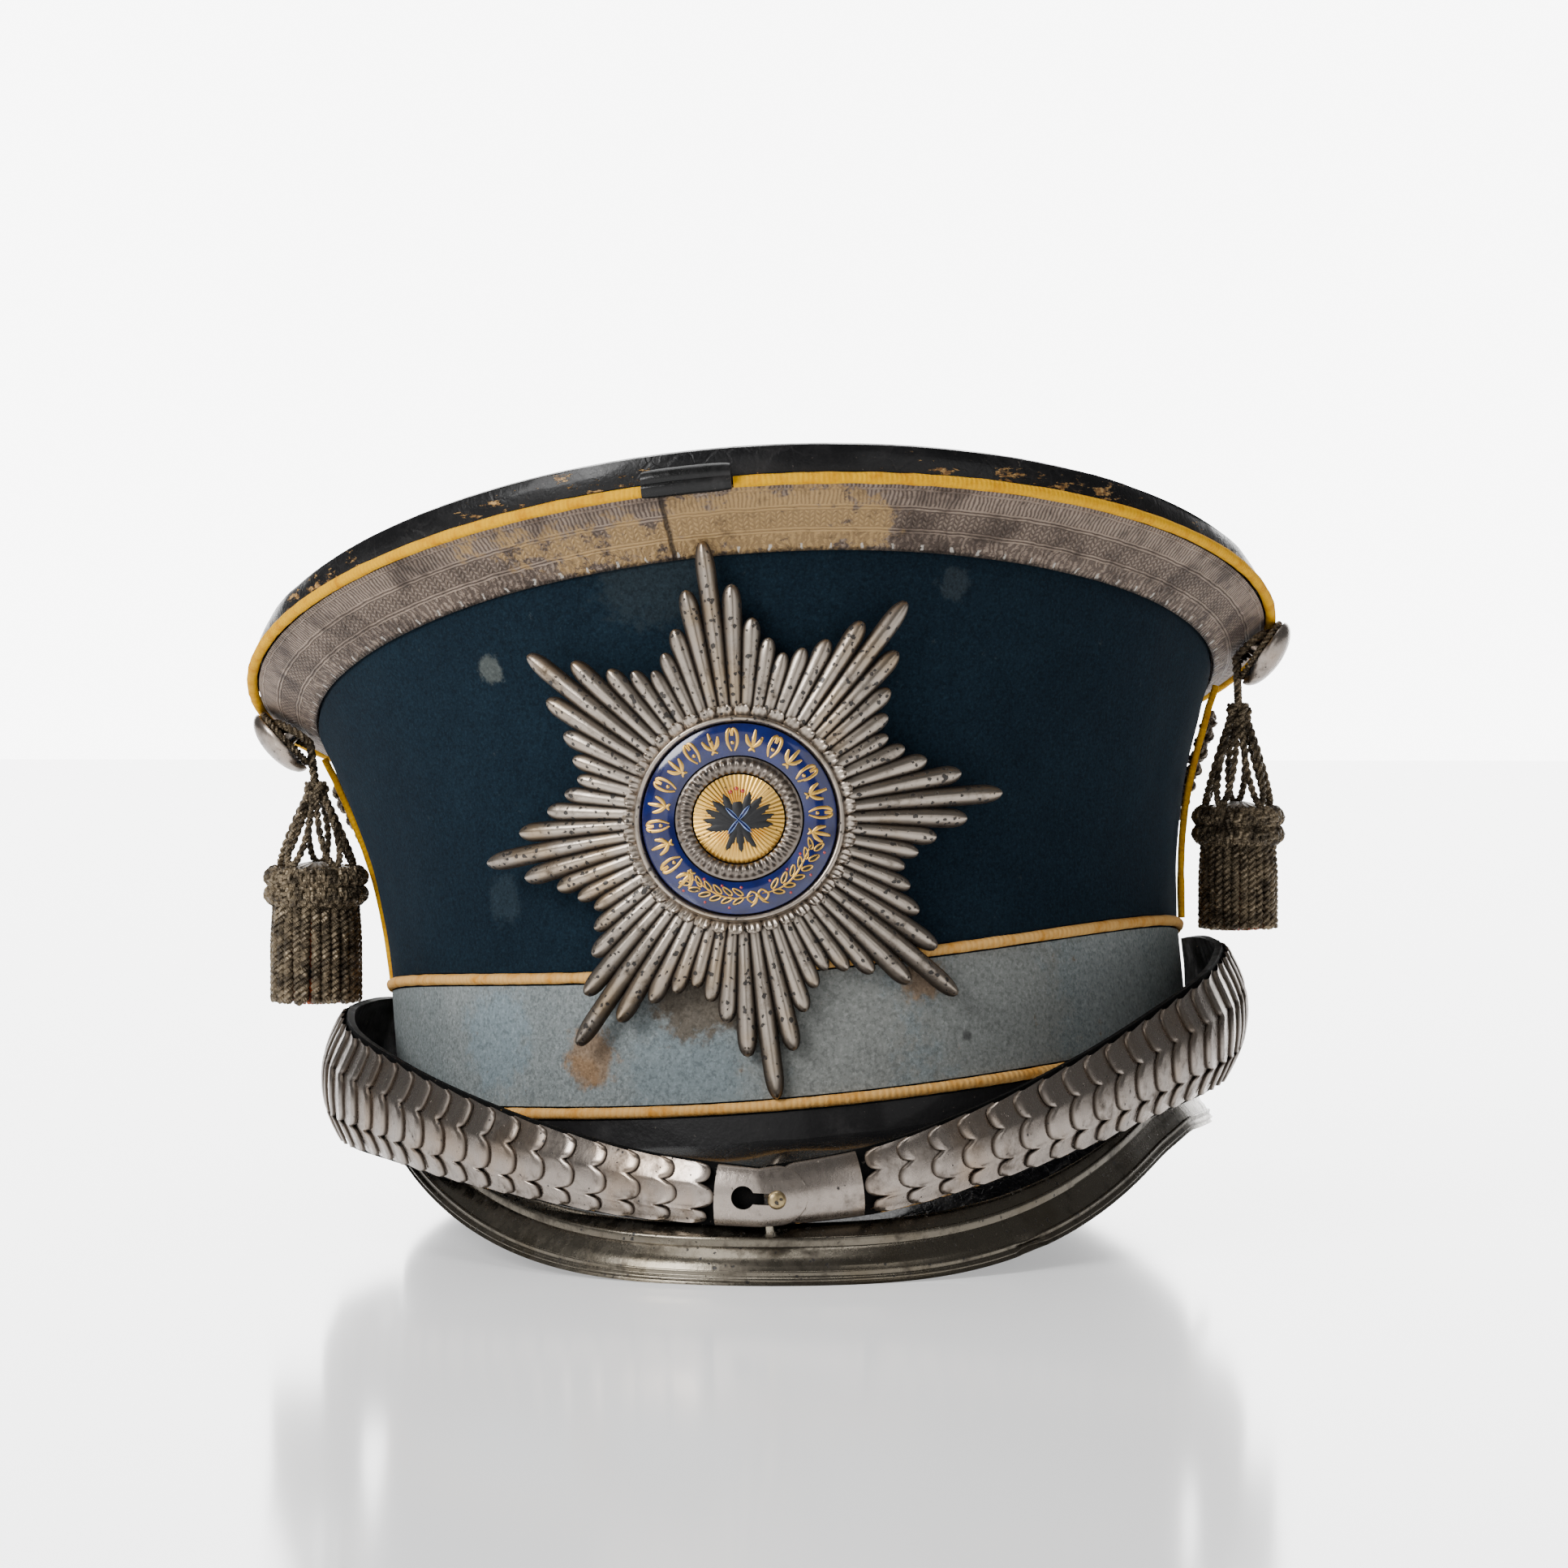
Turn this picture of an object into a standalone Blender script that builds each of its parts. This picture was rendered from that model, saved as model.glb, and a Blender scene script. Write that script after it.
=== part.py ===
"""A dress shako with a breast star, a scaled chin strap and corded tassels.

Lengths are in metres. The hat has its own frame, with its front to -Y, its right side (as it
is looked at) to +X and its axis to +Z. It stands on its visor and on the back of its base, so
its axis leans back and to one side, and stand() turns a point of the hat's frame into that pose.
"""
from collections import namedtuple
from math import cos, hypot, pi, radians, sin, sqrt, tau

import bmesh
import bpy
from mathutils import Matrix, Vector

# Clearance between two neighbouring solids, and how round the hat is made
GAP = 0.00035
HAT_SIDES = 36
PIPING_BEVEL_STEPS = 1
SEAT_EXTRA = 0.0001

# The pose of the standing hat
LEAN_BACK = radians(7.5)
LEAN_SIDE = radians(4.75)
BACK_CONTACT_DEPTH = 0.099

# The body: half widths, half depths and the heights that follow one another up the hat
BODY_HALF_WIDTH = 0.0886
BODY_HALF_DEPTH = 0.1010
SIDE_ARCH = 0.0093
LOWER_PIPING_HEIGHT = 0.0054
BASE_STRIP_TALL = 0.0080
BAND_TALL = 0.0284
CLOTH_TALL = 0.0697
CLOTH_FLARE_SIDE = 0.0129
CLOTH_FLARE_FRONT = 0.0080
LACE_TALL = 0.0092
LACE_FLARE_SIDE = 0.0134
LACE_FLARE_FRONT = 0.0150
RIM_TALL = 0.0061
RIM_DRAW_IN = 0.0020
CLOTH_TOP_SLOPE = 0.143
LACE_TOP_SLOPE = 0.154
RIM_TOP_SLOPE = 0.166
TOP_SAG = -0.0030

# Walls and skins
WALL = 0.0028
BASE_STRIP_THICK = 0.0013
BAND_THICK = 0.0012
LACE_THICK = 0.0011
CLOTH_STEP = 0.0006
WALL_LACE_SHARE = 0.84
WALL_TOP_LEAST = 0.36
TOP_LEATHER_THICK = 0.0016
TOP_ROLL = 0.0012
TOP_SHELF_WIDE = 0.0140
TOP_SHELF_DROP = 0.0004
TOP_DISH_WIDE = 0.0200
TOP_DISH_DEPTH = 0.0030
TOP_MIDDLE_WIDE = 0.0500

# Pipings and the front tab
PIPING_RADIUS = 0.00115
TOP_PIPING_PROUD = 0.0002
SIDE_PIPING_RADIUS = 0.0008
SIDE_PIPING_ANGLE = 93.5
TAB_ANGLE = -3.6
TAB_LONG = 0.0180
TAB_HALF_TALL = 0.0029
TAB_HALF_THICK = 0.0016

# The visor and its metal binding
VISOR_REACH = 0.0470
VISOR_SIDE_REACH = 0.0011
VISOR_SHIFT = -0.0024
VISOR_ANGLE = 80.0
VISOR_THICK = 0.0021
VISOR_BULGE = 0.0052
VISOR_END_LIFT = 0.0258
VISOR_FLAT_SHARE = 0.14
VISOR_LEVEL_SHARE = 0.95
VISOR_LEAST_OUT = 0.0050
VISOR_EASE = 0.0006
VISOR_SEAT_FRONT = 0.10
VISOR_SEAT_LEFT = 0.66
VISOR_SEAT_RIGHT = 0.12
VISOR_ROWS = 3
BINDING_FLANGE = 0.0092
BINDING_UNDER = 0.0040
BINDING_METAL = 0.0009
BINDING_GAP = 0.0006
BINDING_FOOT = 0.0020
BINDING_NOSE_TALL = 0.0032
BINDING_BEAD = 0.0011
BINDING_INSIDE = 0.0004
BINDING_SHOULDER = 0.0003

# The star: its seat on the front of the hat and its rays
STAR_HEIGHT = 0.0642
STAR_SIDEWAYS = -0.0027
STAR_BEND_RADIUS = 0.088
STAR_LEAN = radians(-3.0)
STAR_LOW_STAND_OFF = 0.0009
STAR_TOP_STAND_OFF = 0.0042
RAY_COUNT = 64
RAYS_PER_POINT = 8
RAY_LONG = 0.0580
RAY_HALF_WIDTH = 0.00172
RAY_RELIEF = 0.0011
RAY_EDGE = 0.0006
RAY_HUB_RELIEF = 0.0007
RAY_SPLIT_BACK = 0.0050
RayStep = namedtuple("RayStep", "length_share")
RAY_STEPS = (RayStep(1.0), RayStep(0.84), RayStep(0.72), RayStep(0.655), RayStep(0.615))

# The medallion, from its rim inwards
ROSETTE_RADIUS = 0.0237
ROSETTE_LEAVES = 40
ROSETTE_LEAF_DEPTH = 0.0009
ROSETTE_OVERLAP = 0.0012
ENAMEL_RADIUS = 0.0196
INNER_RING_RADIUS = 0.0127
DISC_RADIUS = 0.0091
ROSETTE_TALL = 0.0017
ENAMEL_TALL = 0.0016
INNER_RING_TALL = 0.0023
DISC_TALL = 0.0019
MEDALLION_SIDES = 32

# The chin strap, from the clasp at the front to its end at each side
STRAP_REACH = 0.0434
STRAP_FRONT_HEIGHT = 0.0168
STRAP_HALF_WIDTH = 0.0135
STRAP_END_SHARE = 0.55
STRAP_BULGE_SHARE = 0.33
STRAP_LEATHER = 0.0013
StrapStation = namedtuple("StrapStation", "angle stand_off rise width bulge")
STRAP_STATIONS = (
    StrapStation(0.0, 1.000, 0.00, 0.43, 1.0),
    StrapStation(10.0, 0.915, 0.10, 0.49, 1.0),
    StrapStation(21.3, 0.775, 0.30, 0.57, 1.0),
    StrapStation(32.8, 0.635, 0.50, 0.67, 1.0),
    StrapStation(46.5, 0.515, 0.72, 0.78, 1.0),
    StrapStation(59.5, 0.450, 0.87, 0.91, 1.0),
    StrapStation(70.2, 0.360, 0.94, 1.00, 1.0),
    StrapStation(77.2, 0.300, 0.98, 1.00, 1.0),
    StrapStation(86.0, 0.185, 1.00, 1.00, 0.8),
    StrapStation(94.1, 0.098, 1.00, 0.96, 0.45),
    StrapStation(102.0, 0.066, 1.00, 0.88, 0.25),
)
SCALE_COUNT = 25
SCALE_METAL = 0.0007
SCALE_LIFT = 0.0013
SCALE_LOBE = 0.0022
CLASP_LONG = 0.0175
CLASP_PAST_CENTRE = 0.0092
TONGUE_START = 0.0023
TONGUE_LONG = 0.0182
CLASP_METAL = 0.0008
KEYHOLE_RADIUS = 0.00215
KEYHOLE_FROM_END = 0.0118
SLOT_WIDE = 0.0023
STUD_FROM_END = 0.0050
STUD_RADIUS = 0.0018
STUD_SHANK_RADIUS = 0.0008
BUTTON_RADIUS = 0.0060
BUTTON_TALL = 0.0028
BUTTON_FROM_END = 0.0010

# Bosses at the sides, which the cords hang from
BOSS_ANGLE = 90.0
BOSS_RADIUS = 0.0084
BOSS_TALL = 0.0043
BOSS_EDGE = 0.0004
BOSS_STAND_OFF = 0.0012
BOSS_NECK_RADIUS = 0.0021
BOSS_NECK_LONG = 0.0030
BossSide = namedtuple("BossSide", "name side lace_share tilt")
BOSS_SIDES = (BossSide("left", -1, 0.40, radians(38.0)),
              BossSide("right", 1, 0.60, radians(40.0)))

# Tassels, hanging plumb from the bosses
CORD_RADIUS = 0.0011
CORD_RING_RADIUS = 0.0046
LOOP_RADIUS = 0.0052
KNOT_RADIUS = 0.0027
COLLAR_RADIUS = 0.0116
SKIRT_RADIUS = 0.0106
SKIRT_LONG = 0.0222
COLLAR_TALL = 0.0088
TASSEL_LOCKS = 9
TasselSide = namedtuple("TasselSide", "boss hang_out hang_back knot_drop collar_drop size")
TASSEL_SIDES = (
    TasselSide(BOSS_SIDES[0], -0.0052, 0.0000, 0.0130, 0.0300, 1.0),
    TasselSide(BOSS_SIDES[1], -0.0030, 0.0020, 0.0150, 0.0360, 0.86),
)
TasselRing = namedtuple("TasselRing", "drop radius lobe")
KNOT_RINGS = (TasselRing(-0.55, 0.80, 0.0), TasselRing(0.45, 0.88, 0.0))
LOOP_RINGS = (TasselRing(0.24, 0.55, 0.0), TasselRing(0.52, 1.00, 0.22),
              TasselRing(0.86, 1.30, 0.25))
COLLAR_RINGS = (TasselRing(-0.04, 0.70, 0.0), TasselRing(0.12, 0.90, 0.0),
                TasselRing(0.35, 1.00, 0.03), TasselRing(0.75, 1.00, 0.03),
                TasselRing(1.00, 0.86, 0.0))
SKIRT_RINGS = (TasselRing(0.04, 0.90, 0.05), TasselRing(0.40, 1.00, 0.07),
               TasselRing(0.97, 1.02, 0.09), TasselRing(1.00, 0.80, 0.09))

# The plaited cord that swags round the back from boss to boss
BRAID_HALF_WIDTH = 0.0036
BRAID_HALF_THICK = 0.0021
BraidStation = namedtuple("BraidStation", "angle height_share")
BRAID_STATIONS = (
    BraidStation(99.0, 0.90), BraidStation(104.0, 0.66), BraidStation(114.0, 0.42),
    BraidStation(130.0, 0.25), BraidStation(155.0, 0.17), BraidStation(180.0, 0.15),
)
BRAID_STEPS = 28
BRAID_SIDES = 6

# How the cloth widens towards the lace, as shares of its height and of its flare
ClothRow = namedtuple("ClothRow", "height_share flare_share")
CLOTH_ROWS = (
    ClothRow(0.00, 0.00), ClothRow(0.22, 0.06), ClothRow(0.38, 0.15), ClothRow(0.53, 0.29),
    ClothRow(0.70, 0.52), ClothRow(0.88, 0.80), ClothRow(1.00, 1.00),
)

# Rings of the body, each worked out from the one below it
Ring = namedtuple("Ring", "half_width half_depth height slope arch")
LOWER_PIPING = Ring(BODY_HALF_WIDTH, BODY_HALF_DEPTH, LOWER_PIPING_HEIGHT, 0.0, SIDE_ARCH)
BASE_EDGE = LOWER_PIPING._replace(height=LOWER_PIPING.height - BASE_STRIP_TALL)
UPPER_PIPING = LOWER_PIPING._replace(height=LOWER_PIPING.height + BAND_TALL)
CLOTH_TOP = Ring(UPPER_PIPING.half_width + CLOTH_FLARE_SIDE,
                 UPPER_PIPING.half_depth + CLOTH_FLARE_FRONT,
                 UPPER_PIPING.height + CLOTH_TALL, CLOTH_TOP_SLOPE, TOP_SAG)
LACE_TOP = Ring(CLOTH_TOP.half_width + LACE_FLARE_SIDE, CLOTH_TOP.half_depth + LACE_FLARE_FRONT,
                CLOTH_TOP.height + LACE_TALL, LACE_TOP_SLOPE, TOP_SAG)
RIM_TOP = Ring(LACE_TOP.half_width - RIM_DRAW_IN, LACE_TOP.half_depth,
               LACE_TOP.height + RIM_TALL, RIM_TOP_SLOPE, TOP_SAG)
STAGES = {
    "base": (BASE_EDGE, LOWER_PIPING),
    "band": (LOWER_PIPING, UPPER_PIPING),
    "cloth": (UPPER_PIPING, CLOTH_TOP),
    "lace": (CLOTH_TOP, LACE_TOP),
    "rim": (LACE_TOP, RIM_TOP),
}

LEAN = Matrix.Rotation(-LEAN_SIDE, 4, "Y") @ Matrix.Rotation(-LEAN_BACK, 4, "X")
STAND = Matrix.Translation((0, 0, -(LEAN @ Vector((0, BACK_CONTACT_DEPTH, 0))).z)) @ LEAN
UP = Vector((0, 0, 1))


# The body's surface

def between(low, high, share):
    """The value a share of the way from low to high."""
    return low + (high - low) * share


def table_value(rows, key, column, at):
    """A column of a table at a key, straight between its rows."""
    for low, high in zip(rows, rows[1:]):
        if at <= getattr(high, key):
            break
    span = getattr(high, key) - getattr(low, key)
    share = min(1.0, max(0.0, (at - getattr(low, key)) / span))
    return between(getattr(low, column), getattr(high, column), share)


def smooth_value(rows, column, place):
    """A column of a table on a smooth curve through its rows, place being 0 to the last row."""
    last = len(rows) - 1
    index = min(last - 1, max(0, int(place)))
    t = place - index
    p0, p1, p2, p3 = (getattr(rows[min(last, max(0, index + k))], column) for k in (-1, 0, 1, 2))
    return 0.5 * (2 * p1 + (p2 - p0) * t + (2 * p0 - 5 * p1 + 4 * p2 - p3) * t * t
                  + (3 * p1 - p0 - 3 * p2 + p3) * t ** 3)


def outline(stage, share, angle):
    """A point of the visible surface in the hat's frame; angle 0 is the front, +90 the right."""
    low, high = STAGES[stage]
    width_share = share
    if stage == "cloth":
        width_share = table_value(CLOTH_ROWS, "height_share", "flare_share", share)
    half_width = between(low.half_width, high.half_width, width_share)
    half_depth = between(low.half_depth, high.half_depth, width_share)
    across = sin(radians(angle))
    y = -half_depth * cos(radians(angle))
    height = between(low.height, high.height, share)
    slope = between(low.slope, high.slope, share)
    arch = between(low.arch, high.arch, share)
    return Vector((half_width * across, y, height - slope * y + arch * across ** 2))


def stand(point):
    """A point of the hat's frame, in the standing pose."""
    return STAND @ Vector(point)


def surface(stage, share, angle):
    """A point of the visible surface, in the standing pose."""
    return stand(outline(stage, share, angle))


def surface_normal(stage, share, angle):
    """The surface's outward direction, in the standing pose."""
    step = 0.02
    low = max(0.0, min(1.0 - step, share - step / 2))
    along = surface(stage, share, angle + 1) - surface(stage, share, angle - 1)
    up = surface(stage, low + step, angle) - surface(stage, low, angle)
    return along.cross(up).normalized()


def stage_share(stage, length, angle):
    """The share of a stage that a length along its face takes at an angle."""
    return length / (outline(stage, 1.0, angle) - outline(stage, 0.0, angle)).length


def hat_angles(first=0.0, last=360.0):
    """The angles of the hat's facets from first up to, and without, last."""
    step = 360.0 / HAT_SIDES
    count = round((last - first) / step)
    return [first + step * index for index in range(count)]


# Objects

def clear_scene():
    for leftover in list(bpy.data.objects):
        bpy.data.objects.remove(leftover, do_unlink=True)


def new_collection(name):
    collection = bpy.data.collections.new(name)
    bpy.context.scene.collection.children.link(collection)
    return collection


def material(name, colour, roughness, metallic=0.0):
    finish = bpy.data.materials.new(name)
    finish.use_nodes = True
    shader = finish.node_tree.nodes["Principled BSDF"]
    shader.inputs["Base Color"].default_value = (*colour, 1.0)
    shader.inputs["Roughness"].default_value = roughness
    shader.inputs["Metallic"].default_value = metallic
    return finish


class Workshop:
    """Holds the collections, the empty that carries the pieces, and the finishes."""

    def __init__(self):
        self.pieces = new_collection("shako")
        self.cutters = new_collection("shako_cutters")
        self.carrier = bpy.data.objects.new("shako_carrier", None)
        self.pieces.objects.link(self.carrier)
        self.finishes = {
            "cloth": ((0.012, 0.028, 0.040), 0.95, 0.0),
            "band_cloth": ((0.22, 0.28, 0.30), 0.95, 0.0),
            "piping_yellow": ((0.75, 0.45, 0.02), 0.9, 0.0),
            "piping_ochre": ((0.62, 0.38, 0.13), 0.9, 0.0),
            "lace": ((0.33, 0.24, 0.17), 0.7, 0.2),
            "leather": ((0.012, 0.011, 0.012), 0.35, 0.0),
            "silver": ((0.45, 0.40, 0.35), 0.35, 1.0),
            "gold": ((0.65, 0.45, 0.15), 0.35, 1.0),
            "brass": ((0.40, 0.30, 0.15), 0.4, 1.0),
            "enamel": ((0.004, 0.012, 0.12), 0.12, 0.0),
            "bullion": ((0.20, 0.15, 0.09), 0.5, 0.6),
        }

    def add(self, name, mesh, finish):
        """Puts a mesh in the hat as a named piece."""
        piece = bpy.data.objects.new(name, mesh)
        self.pieces.objects.link(piece)
        piece.parent = self.carrier
        if finish not in bpy.data.materials:
            material(finish, *self.finishes[finish])
        piece.data.materials.clear()
        piece.data.materials.append(bpy.data.materials[finish])
        if piece.type == "MESH":
            piece.data.shade_smooth()
            piece.data.set_sharp_from_angle(angle=radians(38))
        return piece

    def cutter(self, name, mesh):
        """Puts a mesh with the cutters, which are no part of the hat."""
        tool = bpy.data.objects.new(name, mesh)
        self.cutters.objects.link(tool)
        tool.parent = self.carrier
        tool.hide_render = True
        tool.display_type = "WIRE"
        return tool


def lofted(name, sections, ring=True, loop=False, caps=False):
    """A mesh through unlike sections; a section of one point is a pole."""
    build = bmesh.new()
    rows = [[build.verts.new(point) for point in section] for section in sections]
    pairs = list(zip(rows, rows[1:]))
    if loop:
        pairs.append((rows[-1], rows[0]))
    for near, far in pairs:
        count = max(len(near), len(far))
        if count == 1:
            continue
        for index in range(count if ring else count - 1):
            after = (index + 1) % count
            if len(near) == 1:
                build.faces.new((near[0], far[after], far[index]))
            elif len(far) == 1:
                build.faces.new((near[index], near[after], far[0]))
            else:
                build.faces.new((near[index], near[after], far[after], far[index]))
    if caps:
        build.faces.new(rows[0])
        build.faces.new(rows[-1])
    bmesh.ops.recalc_face_normals(build, faces=build.faces)
    mesh = bpy.data.meshes.new(name)
    build.to_mesh(mesh)
    build.free()
    return mesh


def turned(shop, name, profile, matrix, finish, steps=16):
    """A piece turned from a profile that runs down its outer side, top to bottom."""
    mesh = bpy.data.meshes.new(name)
    mesh.from_pydata([(radius, 0, height) for radius, height in profile],
                     [(index, index + 1) for index in range(len(profile) - 1)], [])
    piece = shop.add(name, mesh, finish)
    piece.matrix_local = matrix
    screw = piece.modifiers.new("turn", "SCREW")
    screw.steps = screw.render_steps = steps
    screw.use_merge_vertices = True
    screw.merge_threshold = 0.00001
    return piece


def tube(shop, name, points, radius, finish, cyclic=False):
    """A round cord through points, with closed ends."""
    curve = bpy.data.curves.new(name, "CURVE")
    curve.dimensions = "3D"
    curve.bevel_depth = radius
    curve.bevel_resolution = PIPING_BEVEL_STEPS
    curve.use_fill_caps = not cyclic
    spline = curve.splines.new("POLY")
    spline.points.add(len(points) - 1)
    for place, point in zip(spline.points, points):
        place.co = (*point, 1.0)
    spline.use_cyclic_u = cyclic
    return shop.add(name, curve, finish)


def as_mesh(shop, piece):
    """Replaces a curve by the mesh that it makes, with its caps welded."""
    view = bpy.context.evaluated_depsgraph_get()
    mesh = bpy.data.meshes.new_from_object(piece.evaluated_get(view))
    weld = bmesh.new()
    weld.from_mesh(mesh)
    bmesh.ops.remove_doubles(weld, verts=weld.verts, dist=0.00001)
    weld.to_mesh(mesh)
    weld.free()
    name, finish, matrix = piece.name, piece.data.materials[0].name, piece.matrix_world.copy()
    bpy.data.objects.remove(piece, do_unlink=True)
    fresh = shop.add(name, mesh, finish)
    fresh.matrix_world = matrix
    return fresh


def fuse(target, others):
    """Joins others to target in one solid, and removes them."""
    for other in others:
        union = target.modifiers.new("join", "BOOLEAN")
        union.operation = "UNION"
        union.object = other
        view = bpy.context.evaluated_depsgraph_get()
        mesh = bpy.data.meshes.new_from_object(target.evaluated_get(view))
        target.modifiers.clear()
        target.data = mesh
        bpy.data.objects.remove(other, do_unlink=True)
    target.data.shade_smooth()
    target.data.set_sharp_from_angle(angle=radians(38))
    return target


# Crown, skins and top

def wall_rows(angle):
    """The crown wall from its base edge up: stage, share and how deep it lies under the surface."""
    groove = PIPING_RADIUS + GAP
    under_band = BAND_THICK + GAP
    under_lace = LACE_THICK + GAP
    cloth_groove = stage_share("cloth", groove, angle)
    rows = [("base", 0.0, BASE_STRIP_THICK + GAP), ("base", 1.0, under_band),
            ("band", 1.0 - stage_share("band", groove, angle), under_band),
            ("cloth", cloth_groove, under_band),
            ("cloth", stage_share("cloth", groove + CLOTH_STEP, angle), 0.0)]
    rows += [("cloth", row.height_share, 0.0) for row in CLOTH_ROWS[1:-1]]
    rows += [("cloth", 1.0 - cloth_groove, 0.0), ("lace", 0.0, under_lace + GAP),
             ("lace", WALL_LACE_SHARE, under_lace)]
    return rows


def on_floor(point, height=0.0):
    """The same point, trimmed level with the surface that the hat stands on."""
    return Vector((point.x, point.y, max(point.z, height)))


def crown_wall(shop):
    sections = []
    for angle in hat_angles():
        rows = wall_rows(angle)
        outer = [surface(stage, share, angle) - surface_normal(stage, share, angle) * inset
                 for stage, share, inset in rows]
        points = outer[:]
        for index in reversed(range(len(rows))):
            under, over = outer[max(0, index - 1)], outer[min(len(rows) - 1, index + 1)]
            stage, share, inset = rows[index]
            side = surface(stage, share, angle + 1) - surface(stage, share, angle - 1)
            inward = -side.cross(over - under).normalized()
            if index == len(rows) - 1:
                level = Vector((inward.x, inward.y, 0))
                inward = level / max(WALL_TOP_LEAST, level.length) / level.length
            points.append(outer[index] + inward * WALL)
        points[0] = on_floor(points[0])
        points[-1] = on_floor(points[-1])
        sections.append(points)
    return shop.add("crown_wall", lofted("crown_wall", sections, loop=True), "cloth")


def skin(shop, name, stage, low, high, thick, finish, floor=None):
    """A thin skin over one stage of the body, short of the stage's two ends by two lengths."""
    sections = []
    for angle in hat_angles():
        shares = (stage_share(stage, low, angle), 1.0 - stage_share(stage, high, angle))
        outer = [surface(stage, share, angle) for share in shares]
        inner = [point - surface_normal(stage, share, angle) * thick
                 for point, share in zip(outer, shares)]
        points = [outer[0], outer[1], inner[1], inner[0]]
        if floor is not None:
            points[0], points[3] = on_floor(points[0], floor), on_floor(points[3], floor)
        sections.append(points)
    return shop.add(name, lofted(name, sections, loop=True), finish)


def skins(shop):
    groove = PIPING_RADIUS + GAP
    skin(shop, "base_strip", "base", 0.0, groove, BASE_STRIP_THICK, "leather", floor=GAP)
    skin(shop, "hat_band", "band", groove, groove, BAND_THICK, "band_cloth")
    skin(shop, "lace_band", "lace", 0.0, groove, LACE_THICK, "lace")


def rim_ring(draw_in, drop):
    """A ring inside the top edge, drawn in and dropped from it."""
    points = []
    for angle in hat_angles():
        edge = outline("rim", 1.0, angle)
        flat = Vector((edge.x, edge.y, 0))
        inward = flat * (1 - draw_in / flat.length)
        points.append(stand((inward.x, inward.y, edge.z - drop)))
    return points


def top_leather(shop):
    """The rolled top edge with the dished top that it carries."""
    thick = TOP_LEATHER_THICK
    foot_out, foot_in = [], []
    for angle in hat_angles():
        low = stage_share("rim", PIPING_RADIUS + GAP, angle)
        foot_out.append(surface("rim", low, angle))
        foot_in.append(foot_out[-1] - surface_normal("rim", low, angle) * thick)
    shelf = ((TOP_SHELF_WIDE, TOP_SHELF_DROP), (TOP_DISH_WIDE, TOP_DISH_DEPTH),
             (TOP_MIDDLE_WIDE, TOP_DISH_DEPTH))
    over = [foot_out, rim_ring(0, TOP_ROLL / 2), rim_ring(TOP_ROLL, 0)]
    over += [rim_ring(wide, drop) for wide, drop in shelf]
    under = [rim_ring(wide, drop + thick) for wide, drop in reversed(shelf)]
    under += [rim_ring(thick, TOP_SHELF_DROP + thick), foot_in]
    middle = Vector((0, 0, RIM_TOP.height - TOP_DISH_DEPTH + TOP_SAG / 2))
    poles = [[stand(middle)], [stand(middle - UP * thick)]]
    return shop.add("top_leather", lofted("top_leather", over + poles + under, loop=True),
                    "leather")


# Pipings and tab

def tab_half_angle():
    """Half of the angle that the front tab takes on the top piping."""
    return (TAB_LONG / 2) / LACE_TOP.half_width * 180 / pi


def top_piping(shop):
    gap_angle = tab_half_angle() + GAP / LACE_TOP.half_width * 180 / pi
    first, last = TAB_ANGLE + gap_angle, TAB_ANGLE + 360 - gap_angle
    inside = [angle for angle in hat_angles(0, 360) if first + 1 < angle < last - 1]
    points = []
    for angle in [first] + inside + [last]:
        out = surface_normal("rim", 0.0, angle)
        points.append(surface("rim", 0.0, angle) + out * TOP_PIPING_PROUD)
    return tube(shop, "top_piping", points, PIPING_RADIUS, "piping_yellow")


def band_pipings(shop):
    for name, stage in (("band_piping_upper", "cloth"), ("band_piping_lower", "band")):
        points = [surface(stage, 0.0, angle) for angle in hat_angles()]
        tube(shop, name, points, PIPING_RADIUS, "piping_ochre", cyclic=True)


def side_pipings(shop):
    for name, side in (("side_piping_left", -1), ("side_piping_right", 1)):
        angle = side * SIDE_PIPING_ANGLE
        low = stage_share("cloth", PIPING_RADIUS + SIDE_PIPING_RADIUS + GAP, angle)
        points = []
        for share in [low] + [row.height_share for row in CLOTH_ROWS[1:-1]] + [0.965]:
            out = surface_normal("cloth", share, angle)
            points.append(surface("cloth", share, angle) + out * (SIDE_PIPING_RADIUS + GAP))
        tube(shop, name, points, SIDE_PIPING_RADIUS, "piping_yellow")


def front_tab(shop):
    half = tab_half_angle()
    sections = []
    for index in range(5):
        angle = TAB_ANGLE + half * (index / 2 - 1)
        out = surface_normal("rim", 0.5, angle)
        up = (surface("rim", 1.0, angle) - surface("rim", 0.0, angle)).normalized()
        centre = surface("rim", 0.0, angle) + out * (TAB_HALF_THICK + PIPING_RADIUS * 0.9)
        centre += up * TAB_HALF_TALL * 0.3
        sections.append([centre + up * TAB_HALF_TALL * cos(tau * k / 10)
                         + out * TAB_HALF_THICK * sin(tau * k / 10) for k in range(10)])
    return shop.add("front_tab", lofted("front_tab", sections, caps=True), "leather")


# Visor

def visor_angles():
    step = 360.0 / HAT_SIDES
    count = round(VISOR_ANGLE / step)
    return [step * index for index in range(-count, count + 1)]


def visor_seat(angle):
    """Where the visor's top meets the base strip, a clearance outside it."""
    turn = min(1.0, abs(angle) / VISOR_ANGLE)
    end = VISOR_SEAT_LEFT if angle < 0 else VISOR_SEAT_RIGHT
    share = between(VISOR_SEAT_FRONT, end, turn ** 3)
    out = surface_normal("base", share, angle)
    level = Vector((out.x, out.y, 0)).normalized()
    return surface("base", share, angle) + level * (GAP + SEAT_EXTRA)


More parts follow.
